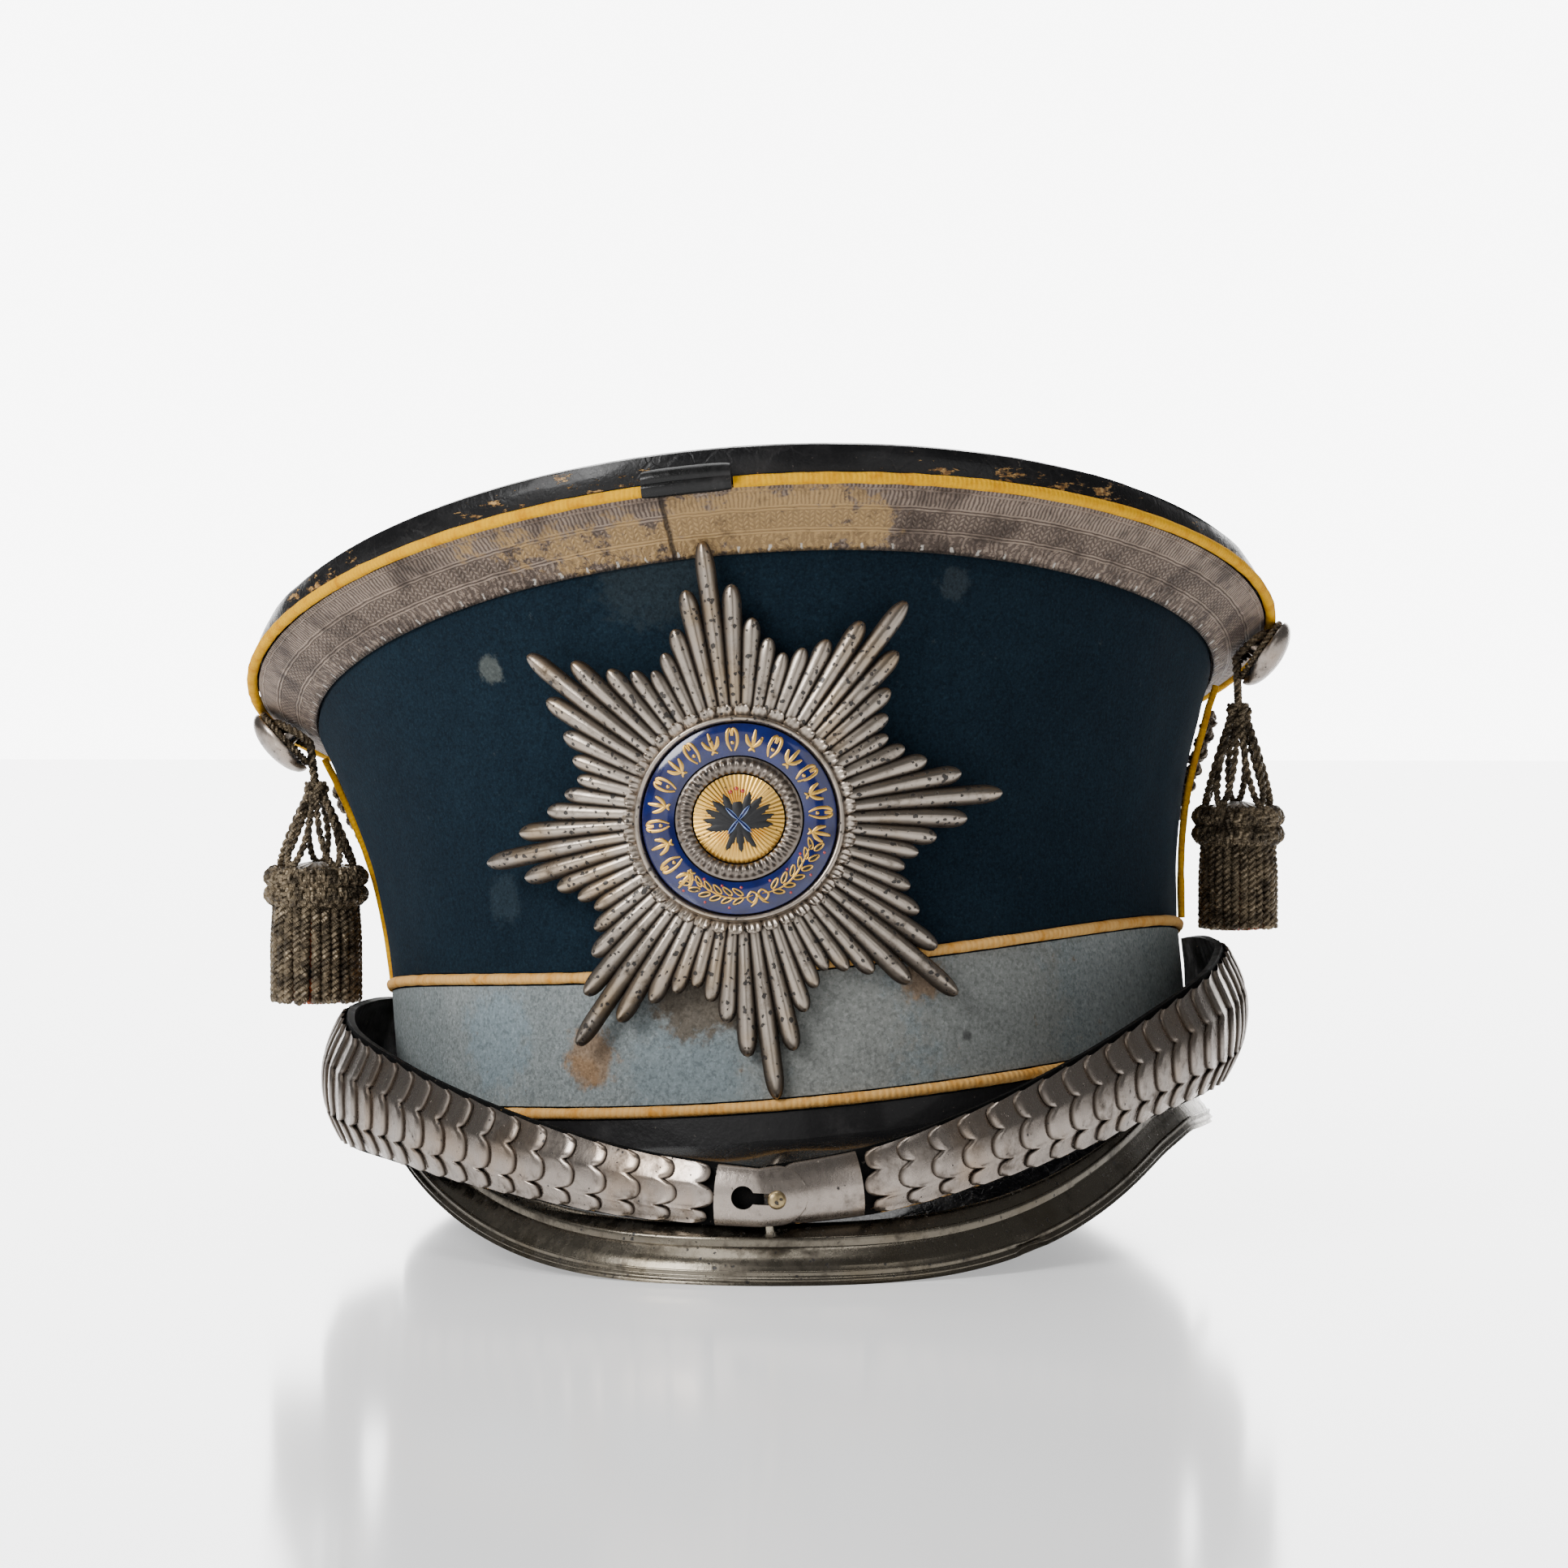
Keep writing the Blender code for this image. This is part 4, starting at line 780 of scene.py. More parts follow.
@dataclass(frozen=True)
class Leather(Finish):
    """Black leather: grain or crazing, rubbed patches and flakes that show its ground."""

    gloss: float = 0.28
    colour: Colour = (0.010, 0.0095, 0.010)
    rubbed: Colour = (0.045, 0.042, 0.042)
    flake: Colour = (0.42, 0.25, 0.09)
    flaking: float = 0.0
    crazed: float = 0.0
    coat: float = 0.15
    shine: float = 0.20

    def make(self, sheet: Sheet) -> None:
        """Lays grain, crazing, rubs and flakes over the colour.

        Args:
            sheet: the material that is being made.
        """
        grain = sheet.noise(0.0009, 4, 0.6)
        cloudy = sheet.noise(0.012, 5, 0.65)
        tone = sheet.mix(cloudy.ease(0.52, 0.76) * 0.6, self.colour, self.rubbed)
        rough = cloudy.ease(0.4, 0.7) * 0.22 + self.gloss
        height = grain * 0.35 + sheet.noise(0.004, 3) * 0.5
        nicks = sheet.noise(0.0011, 4, 0.7).ease(0.66, 0.72)
        tone = sheet.mix(nicks * 0.35, tone, (0.20, 0.17, 0.14))
        if self.crazed:
            bent = sheet.noise(0.004, 3) * 0.004
            moved = sheet.node("ShaderNodeVectorMath", {"operation": "ADD"}, [sheet.place, bent])
            cracks = sheet.cells(0.0052, "DISTANCE_TO_EDGE", moved).ease(0.10, 0.0)
            cracks = cracks * sheet.noise(0.014, 3).ease(0.40, 0.58) * self.crazed
            fine = sheet.cells(0.0016, "DISTANCE_TO_EDGE").ease(0.16, 0.0) * 0.35 * self.crazed
            height = height - cracks * 0.9 - fine * 0.5
            rough = rough + cracks * 0.25 + fine * 0.15
            tone = sheet.mix(cracks * 0.4, tone, self.rubbed)
        if self.flaking:
            along = sheet.stretch(sheet.place, (0.30, 0.30, 1.0))
            scraped = sheet.noise(0.0016, 6, 0.75, along) + sheet.noise(0.022, 2) * 0.6
            near = sheet.part(sheet.cloth_place, 1).ease(0.0042, 0.0)
            low = 1.06 - self.flaking * 0.06
            bare = (scraped + near * 0.13).ease(low, low + 0.03)
            tone = sheet.mix(bare, tone, sheet.mix(sheet.noise(0.0012).ease(0.4, 0.6), self.flake,
                                                   (0.16, 0.085, 0.03)))
            rough = rough + bare * 0.35
            height = height - bare * 0.8
        sheet.finish(Base_Color=tone, Roughness=rough, Coat_Weight=self.coat, Coat_Roughness=0.10,
                     Specular_IOR_Level=self.shine, Normal=sheet.bump(height, 0.00022))


@dataclass(frozen=True)
class OldMetal(Finish):
    """Plated metal with tarnish and painted shade in its hollows, black pits, scratches and coloured
    patches.
    """

    colour: Colour
    dark: Colour
    patch: Colour
    rough: float = 0.30
    tarnish: float = 0.5
    pits: float = 0.5
    # Whether V darkens the hollows, with tarnish and painted shade.
    hollows: bool = False
    dents: float = 0.00010

    def make(self, sheet: Sheet) -> None:
        """Mixes the tarnish by size and, where asked, tarnish and painted shade by the depth that V
        tells.

        Args:
            sheet: the material that is being made.
        """
        cloudy, spotty = sheet.noise(0.009, 5, 0.65), sheet.noise(0.0022, 5, 0.7)
        stain = (cloudy * 0.55 + spotty * 0.45).ease(0.60 - self.tarnish * 0.22, 0.72)
        if self.hollows:
            # Tarnish and painted shade: darker where V says the surface lies low, in hollows and
            # valleys.
            depth = sheet.part(sheet.cloth_place, 1)
            stain = stain.math("MAXIMUM", depth.ease(0.60, 0.08) * (spotty * 0.4 + 0.8))
        tone = sheet.mix(sheet.noise(0.016, 3).ease(0.48, 0.68) * 0.75, self.colour, self.patch)
        tone = sheet.mix(stain * 0.9, tone, self.dark)
        low = 0.44 - self.pits * 0.11
        pits = (spotty - sheet.cells(0.0015) * 0.6).ease(low, low + 0.04)
        tone = sheet.mix(pits * 0.92, tone, (0.012, 0.010, 0.009))
        scratches = sheet.noise(0.0012, 3, 0.6, sheet.stretch(sheet.place, (1.0, 1.0, 0.12)))
        height = spotty * 0.5 + scratches * 0.25 - pits
        sheet.finish(Base_Color=tone, Metallic=1.0 - pits * 0.8,
                     Roughness=stain * 0.30 + scratches * 0.10 + self.rough,
                     Normal=sheet.bump(height, self.dents))


@dataclass(frozen=True)
class Enamel(Finish):
    """Deep glossy enamel over metal, with a little cloudiness."""

    colour: Colour
    light: Colour
    rough: float = 0.16
    coat: float = 1.0

    def make(self, sheet: Sheet) -> None:
        """Clouds the enamel's depth.

        Args:
            sheet: the material that is being made.
        """
        depth = sheet.noise(0.005, 3)
        tone = sheet.mix(depth.ease(0.35, 0.7), self.colour, self.light)
        sheet.finish(Base_Color=tone, Roughness=self.rough, Coat_Weight=self.coat, Coat_Roughness=0.04,
                     Normal=sheet.bump(depth, 0.00005))


@dataclass(frozen=True)
class Thread(Finish):
    """Thread or bullion wound round a core."""

    colour: Colour
    dark: Colour
    wind: float = 0.00042
    metal: float = 0.5

    def make(self, sheet: Sheet) -> None:
        """Winds fine turns along the strand, paints shade between the turns and tarnishes it in
        patches.

        Args:
            sheet: the material that is being made.
        """
        along = sheet.part(sheet.cloth_place, 0)
        turns = along.sine(self.wind)
        grime = sheet.noise(0.0035, 5, 0.7)
        tone = sheet.mix(grime.ease(0.40, 0.62), self.colour, self.dark)
        # Painted shade: darker in the grooves between the turns.
        tone = sheet.mix((1 - turns) * 0.45, tone, self.dark)
        sheet.finish(Base_Color=tone, Metallic=self.metal, Roughness=0.42,
                     Specular_IOR_Level=0.25, Normal=sheet.bump(turns, 0.00012))


def place_piece(name: str, shell: Shell, finish: Finish, *nodes: str,
                sharp: float = 40.0) -> bpy.types.Object:
    """Adds a piece of the hat.

    Args:
        name: the piece's name.
        shell: its surface.
        finish: its finish.
        nodes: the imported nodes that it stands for.
        sharp: the angle in degrees above which an edge is sharp.

    Returns:
        The piece.
    """
    mesh = shell.mesh(name, sharp)
    piece = add_object(name, mesh)
    mesh.materials.append(finish.made())
    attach(piece, "root")
    if nodes:
        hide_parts(*nodes)
    LOG.info("%s: %d faces in %s", name, len(mesh.polygons), finish.name)
    return piece


SILVER = OldMetal("star_silver", "silver", (0.39, 0.335, 0.280), (0.040, 0.030, 0.022),
                  (0.36, 0.265, 0.165), rough=0.27, tarnish=0.55, pits=0.9, hollows=True)
SMOOTH_SILVER = OldMetal("ring_silver", "silver", (0.42, 0.36, 0.30), (0.040, 0.032, 0.024),
                         (0.38, 0.29, 0.18), rough=0.25, tarnish=0.50, pits=0.5, hollows=True)
DARK_SILVER = OldMetal("dark_silver", "silver", (0.20, 0.170, 0.145), (0.030, 0.024, 0.020),
                       (0.16, 0.13, 0.10), rough=0.28, tarnish=0.50, pits=0.3, hollows=True)
SCALE_SILVER = OldMetal("scale_silver", "scale_metal", (0.37, 0.32, 0.28), (0.070, 0.055, 0.042),
                        (0.33, 0.25, 0.185), rough=0.22, tarnish=0.55, pits=-0.3, dents=0.00009,
                        hollows=True)
BINDING_METAL = OldMetal("binding_metal", "silver", (0.17, 0.150, 0.118), (0.034, 0.028, 0.022),
                         (0.12, 0.10, 0.07), rough=0.20, tarnish=0.60, pits=0.0,
                         dents=0.00010)
GILT = OldMetal("gilt", "gold", (0.78, 0.46, 0.10), (0.30, 0.15, 0.03), (0.82, 0.52, 0.15),
                rough=0.30, tarnish=0.15, pits=0.0, dents=0.00004)
BRASS = OldMetal("dull_brass", "brass", (0.42, 0.32, 0.17), (0.14, 0.10, 0.05),
                 (0.45, 0.33, 0.18), rough=0.32, tarnish=0.4, pits=0.1)
BLUE_ENAMEL = Enamel("blue_enamel", "enamel", (0.002, 0.005, 0.060), (0.004, 0.012, 0.110),
                     coat=0.5)
BLACK_ENAMEL = Enamel("black_enamel", "enamel", (0.003, 0.003, 0.004), (0.006, 0.006, 0.008),
                      rough=0.55, coat=0.0)
RED_ENAMEL = Enamel("red_enamel", "enamel", (0.35, 0.012, 0.010), (0.50, 0.03, 0.02))
PALE_ENAMEL = Enamel("pale_enamel", "enamel", (0.16, 0.25, 0.50), (0.25, 0.35, 0.62))
YELLOW = PipingCloth("yellow_piping", "piping_yellow", (0.74, 0.38, 0.0), (0.54, 0.22, 0.0))
OCHRE = PipingCloth("ochre_piping", "piping_ochre", (0.74, 0.42, 0.13), (0.58, 0.24, 0.03),
                    crimp=0.0014)
TOP_BLACK = Leather("top_leather", "leather", gloss=0.30, flaking=1.0, crazed=0.35, coat=0.12,
                    colour=(0.005, 0.005, 0.0055), rubbed=(0.020, 0.018, 0.018))
STRAP_BLACK = Leather("strap_leather", "leather", gloss=0.60, flaking=0.3, coat=0.0, shine=0.04,
                      colour=(0.004, 0.004, 0.004), rubbed=(0.015, 0.012, 0.011))
TAB_BLACK = Leather("tab_leather", "leather", gloss=0.22, colour=(0.006, 0.006, 0.006))
PATENT = Leather("patent_leather", "patent_leather", gloss=0.12, crazed=1.0, coat=0.6,
                 colour=(0.004, 0.004, 0.0045), rubbed=(0.016, 0.015, 0.015))
BULLION = Thread("bullion", "bullion", (0.27, 0.21, 0.135), (0.045, 0.034, 0.022))
BRAID_THREAD = Thread("braid_thread", "bullion", (0.36, 0.30, 0.23), (0.08, 0.065, 0.05))
INNER_THREAD = Thread("inner_thread", "bullion", (0.55, 0.10, 0.015), (0.012, 0.010, 0.010),
                      metal=0.0)


# Crown

@dataclass
class Crown:
    """The cloth body, its skins, the rolled leather top, the pipings and the front tab."""

    shape: HatShape
    facets: int = 240
    wall: float = 0.0028
    band_thick: float = 0.0012
    lace_thick: float = 0.0011
    strip_thick: float = 0.0013
    top_dish: float = 0.0045
    side_piping_radius: float = 0.0008
    side_piping_angle: float = 93.5
    tab_angle: float = -3.6
    tab_long: float = 0.0180
    tab_half_tall: float = 0.0030
    tab_half_thick: float = 0.0015
    navy: Colour = (0.0030, 0.0088, 0.0158)
    navy_faded: Colour = (0.0046, 0.0126, 0.0212)
    band_blue: Colour = (0.170, 0.195, 0.198)
    band_grey: Colour = (0.210, 0.212, 0.195)

    def angles(self) -> list[float]:
        """The facets' angles, from the back round the front."""
        return [-180 + 360 * index / self.facets for index in range(self.facets)]

    def around(self) -> list[float]:
        """The U of each facet, with one more for the way back."""
        return [PERIMETER * (-0.5 + index / self.facets) for index in range(self.facets + 1)]

    def build(self) -> None:
        """Makes every piece of the crown."""
        self.body()
        self.skins()
        self.top()
        self.pipings()
        self.tab()

    def stains(self, stage: Stage, marks: Sequence[tuple]) -> tuple[Stain, ...]:
        """The stains of a stage, from the share, angle, radius, colour and strength of each."""
        return tuple(Stain(self.shape.surface(stage, share, angle), radius, colour, strength)
                     for share, angle, radius, colour, strength in marks)

    def body(self) -> None:
        """The flared cloth body with its wall and hollow."""
        shape, inset = self.shape, self.band_thick + GAP
        under_lace = self.lace_thick + GAP
        rows = []
        for angle in self.angles():
            low = shape.share(Stage.CLOTH, shape.groove, angle)
            places = [(Stage.BASE, 0.0, self.strip_thick + GAP), (Stage.BASE, 1.0, inset),
                      (Stage.BAND, 0.93, inset), (Stage.CLOTH, low * 0.55, inset * 0.8),
                      (Stage.CLOTH, low * 0.85, 0.0003)]
            places += [(Stage.CLOTH, share, 0.0) for share in steps(low, 0.985, 24)]
            places += [(Stage.LACE, 0.0, under_lace + GAP), (Stage.LACE, 0.84, under_lace)]
            outer = []
            for stage, share, depth in places:
                point = shape.off(stage, share, angle, -depth)
                if stage is Stage.CLOTH and depth == 0.0:
                    uneven = waver(point, 0.035, 0.0007) + waver(point, 0.012, 0.00025)
                    point += shape.normal(stage, share, angle) * (uneven - 0.0003)
                outer.append(point)
            inside = (places[-1], places[-2], places[-8], places[12], places[1], places[0])
            inner = [shape.off(stage, share, angle, -depth - self.wall)
                     for stage, share, depth in inside]
            for point in (outer[0], inner[-1]):
                point.z = max(point.z, 0.0)
            rows.append(outer + inner)
        stains = self.stains(Stage.CLOTH, (
            (0.83, -33.5, 0.0042, (0.075, 0.085, 0.080), 0.75),
            (0.93, 27.0, 0.0050, (0.040, 0.050, 0.055), 0.35),
            (0.22, -38.0, 0.0070, (0.030, 0.045, 0.055), 0.30),
            (0.98, -10.0, 0.0160, (0.026, 0.034, 0.036), 0.35)))
        navy = Wool("navy_cloth", "cloth", self.navy, self.navy_faded, (0.012, 0.028, 0.038),
                    nap=0.00013, stains=stains)
        shell = Shell().grid(rows, around=True, loop=True, us=self.around())
        place_piece("crown_cloth", shell, navy, "crown_wall")

    def skin(self, name: str, stage: Stage, low: float, high: float, thick: float,
             finish: Finish, floor: float | None = None, rows_across: int = 10) -> None:
        """A thin skin over one stage, short of its ends by two lengths.

        Args:
            name: the piece's name.
            stage: the stage of the body.
            low: the length left free at its lower edge.
            high: the length left free at its upper edge.
            thick: its thickness.
            finish: its finish.
            floor: the lowest height that a point may have.
            rows_across: how many rows lie across it.
        """
        shape, rows = self.shape, []
        for angle in self.angles():
            start = shape.share(stage, low, angle)
            end = 1 - shape.share(stage, high, angle)
            outer = []
            for share in steps(start, end, rows_across):
                point = shape.surface(stage, share, angle)
                lift = waver(point, 0.018, 0.00022) - 0.00012
                outer.append(point + shape.normal(stage, share, angle) * lift)
            inner = [shape.off(stage, share, angle, -thick) for share in (end, start)]
            if floor is not None:
                for point in outer + inner:
                    point.z = max(point.z, floor)
            rows.append(outer + inner)
        tall = (shape.surface(stage, 1, 0) - shape.surface(stage, 0, 0)).length - low - high
        vs = steps(0, tall, rows_across) + [tall, 0.0, 0.0]
        shell = Shell().grid(rows, around=True, loop=True, us=self.around(), vs=vs)
        place_piece(name + "_skin", shell, finish, name)

    def skins(self) -> None:
        """The leather strip at the foot, the pale band and the lace."""
        groove = self.shape.groove
        brown, dark = (0.24, 0.145, 0.075), (0.095, 0.068, 0.042)
        stains = self.stains(Stage.BAND, (
            (0.25, -12.0, 0.0180, (0.16, 0.205, 0.225), 0.55),
            (0.55, -42.0, 0.0150, (0.19, 0.26, 0.30), 0.50),
            (0.50, 8.0, 0.0250, self.band_grey, 0.70),
            (0.50, 32.0, 0.0280, self.band_grey, 0.60),
            (0.62, 55.0, 0.0200, (0.24, 0.26, 0.26), 0.50),
            (0.42, -25.5, 0.0085, brown, 0.75), (0.30, -27.0, 0.0050, brown, 0.65),
            (0.80, 21.5, 0.0062, brown, 0.70), (0.84, -10.0, 0.0130, dark, 0.80),
            (0.72, -3.0, 0.0080, (0.10, 0.075, 0.05), 0.70),
            (0.35, 27.0, 0.0016, (0.05, 0.05, 0.05), 0.70)))
        band = Wool("band_cloth", "band_cloth", self.band_blue, (0.212, 0.235, 0.235),
                    (0.34, 0.365, 0.365), nap=0.00020, stains=stains)
        self.skin("base_strip", Stage.BASE, 0.0, groove, self.strip_thick,
                  Leather("foot_leather", "leather", gloss=0.38), floor=GAP)
        self.skin("hat_band", Stage.BAND, groove, groove, self.band_thick, band)
        tall = (self.shape.surface(Stage.LACE, 1, 0) - self.shape.surface(Stage.LACE, 0, 0)).length
        gold = (0.42, 0.27, 0.12)
        worn = self.stains(Stage.LACE, [(share, angle, radius, gold, strength)
                                        for share, angle, radius, strength in (
            (0.42, 3.0, 0.0190, 1.0), (0.38, -3.5, 0.0150, 1.0), (0.42, 9.5, 0.0180, 1.0),
            (0.34, 15.0, 0.0130, 0.9), (0.30, -11.0, 0.0150, 0.8), (0.35, -17.5, 0.0140, 0.7),
            (0.55, -24.0, 0.0120, 0.55), (0.80, -30.0, 0.0090, 0.50))])
        lace = LaceWeave("lace_weave", "lace", tall - groove, (0.330, 0.250, 0.195),
                         (0.038, 0.026, 0.021), gold, worn)
        self.skin("lace_band", Stage.LACE, 0.0, groove, self.lace_thick, lace, rows_across=14)

    def rim(self, angle: float, draw_in: float, drop: float) -> Vector:
        """A point inside the top edge, drawn in and dropped from it.

        Args:
            angle: degrees from the front, positive to the right.
            draw_in: the length in from the top edge.
            drop: the length down from it.

        Returns:
            The point.
        """
        edge = self.shape.outline(Stage.RIM, 1.0, angle)
        inward = Vector((edge.x, edge.y, 0))
        inward *= 1 - draw_in / inward.length
        return self.shape.pose @ Vector((inward.x, inward.y, edge.z - drop))

    def top(self) -> None:
        """The rolled leather edge and the dished top, as one skin."""
        shape, rows = self.shape, []
        inside = ((0.0012, 0.0), (0.0030, 0.0002), (0.0140, 0.0004), (0.0200, 0.0030),
                  (0.0350, 0.0030), (0.0500, 0.0030))
        for angle in self.angles():
            low = shape.share(Stage.RIM, shape.groove, angle)
            outer = []
            for share in steps(low, 0.93, 8):
                point = shape.surface(Stage.RIM, share, angle)
                lift = waver(point, 0.020, 0.0006) + waver(point, 0.006, 0.00022)
                lift += 0.0004 * sin(pi * (share - low) / (1 - low)) - 0.0002
                outer.append(point + shape.normal(Stage.RIM, share, angle) * lift)
            outer += [self.rim(angle, draw, drop) for draw, drop in ((0.0001, 0.0005), *inside)]
            rows.append(outer)
        shell = Shell().grid(rows, loop=True, us=self.around())
        first = len(shell.points)
        shell.points.append(shape.pose @ Vector((0, 0, shape.rings[5].height - self.top_dish)))
        wide = len(rows[0])
        for index in range(len(rows)):
            after = (index + 1) % len(rows)
            shell.faces.append((index * wide + wide - 1, after * wide + wide - 1, first))
            shell.uvs += [(0.0, 0.0), (0.01, 0.0), (0.0, 0.05)]
        place_piece("top_edge_leather", shell, TOP_BLACK, "top_leather")

    def piping(self, name: str, node: str, points: list[Vector], radius: float, finish: Finish,
               closed: bool) -> None:
        """One piping, slightly uneven in thickness.

        Args:
            name: the piece's name.
            node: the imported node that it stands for.
            points: the points that it follows.
            radius: its radius.
            finish: its finish.
            closed: whether its end joins its start.
        """
        rows = tube(points, radius, 12, closed, 0.10)
        shell = Shell().grid(rows, around=True, loop=closed, cap=not closed)
        place_piece(name, shell, finish, node)

    def pipings(self) -> None:
        """The pipings at the top, on both edges of the band, and down the sides."""
        shape = self.shape
        half = (self.tab_long / 2 + GAP) / shape.rings[4].half_width * 180 / pi
        angles = steps(self.tab_angle + half, self.tab_angle + 360 - half, 700)
        points = [shape.off(Stage.RIM, 0.0, angle, 0.0002) for angle in angles]
        self.piping("top_piping_cord", "top_piping", points, 0.00122, YELLOW, False)
        for node, stage in (("band_piping_upper", Stage.CLOTH), ("band_piping_lower", Stage.BAND)):
            points = [shape.surface(stage, 0.0, angle) for angle in steps(-180, 180, 600)[:-1]]
            self.piping(node + "_cord", node, points, 0.00118, OCHRE, True)
        for name, side in (("left", -1), ("right", 1)):
            angle, radius = side * self.side_piping_angle, self.side_piping_radius
            low = shape.share(Stage.CLOTH, shape.piping_radius + radius + GAP, angle)
            points = [shape.off(Stage.CLOTH, share, angle, radius + GAP)
                      for share in steps(low, 0.965, 90)]
            self.piping(f"side_piping_{name}_cord", f"side_piping_{name}", points, radius,
                        YELLOW, False)

    def tab(self) -> None:
        """The folded leather sleeve over the ends of the top piping."""
        shape, rows = self.shape, []
        half = self.tab_long / 2 / shape.rings[4].half_width * 180 / pi
        for share in steps(0, 1, 24):
            angle = self.tab_angle + half * (2 * share - 1)
            out = shape.normal(Stage.RIM, 0.5, angle)
            up = (shape.surface(Stage.RIM, 1, angle) - shape.surface(Stage.RIM, 0, angle))
            up.normalize()
            centre = shape.surface(Stage.RIM, 0, angle)
            centre += out * (self.tab_half_thick + shape.piping_radius * 0.9)
            centre += up * self.tab_half_tall * 0.3
            row, puff = [], 1 - 0.10 * abs(2 * share - 1) ** 6
            for k in range(48):
                turn = tau * k / 48
                folds = 1 - 0.34 * max(0.0, cos(3.0 * (turn - pi / 2))) ** 8 * (sin(turn) > 0)
                row.append(centre + up * self.tab_half_tall * cos(turn) * puff
                           + out * self.tab_half_thick * sin(turn) * folds * puff)
            rows.append(row)
        shell = Shell().grid(rows, around=True, cap=True)
        place_piece("front_tab_sleeve", shell, TAB_BLACK, "front_tab")


# Visor

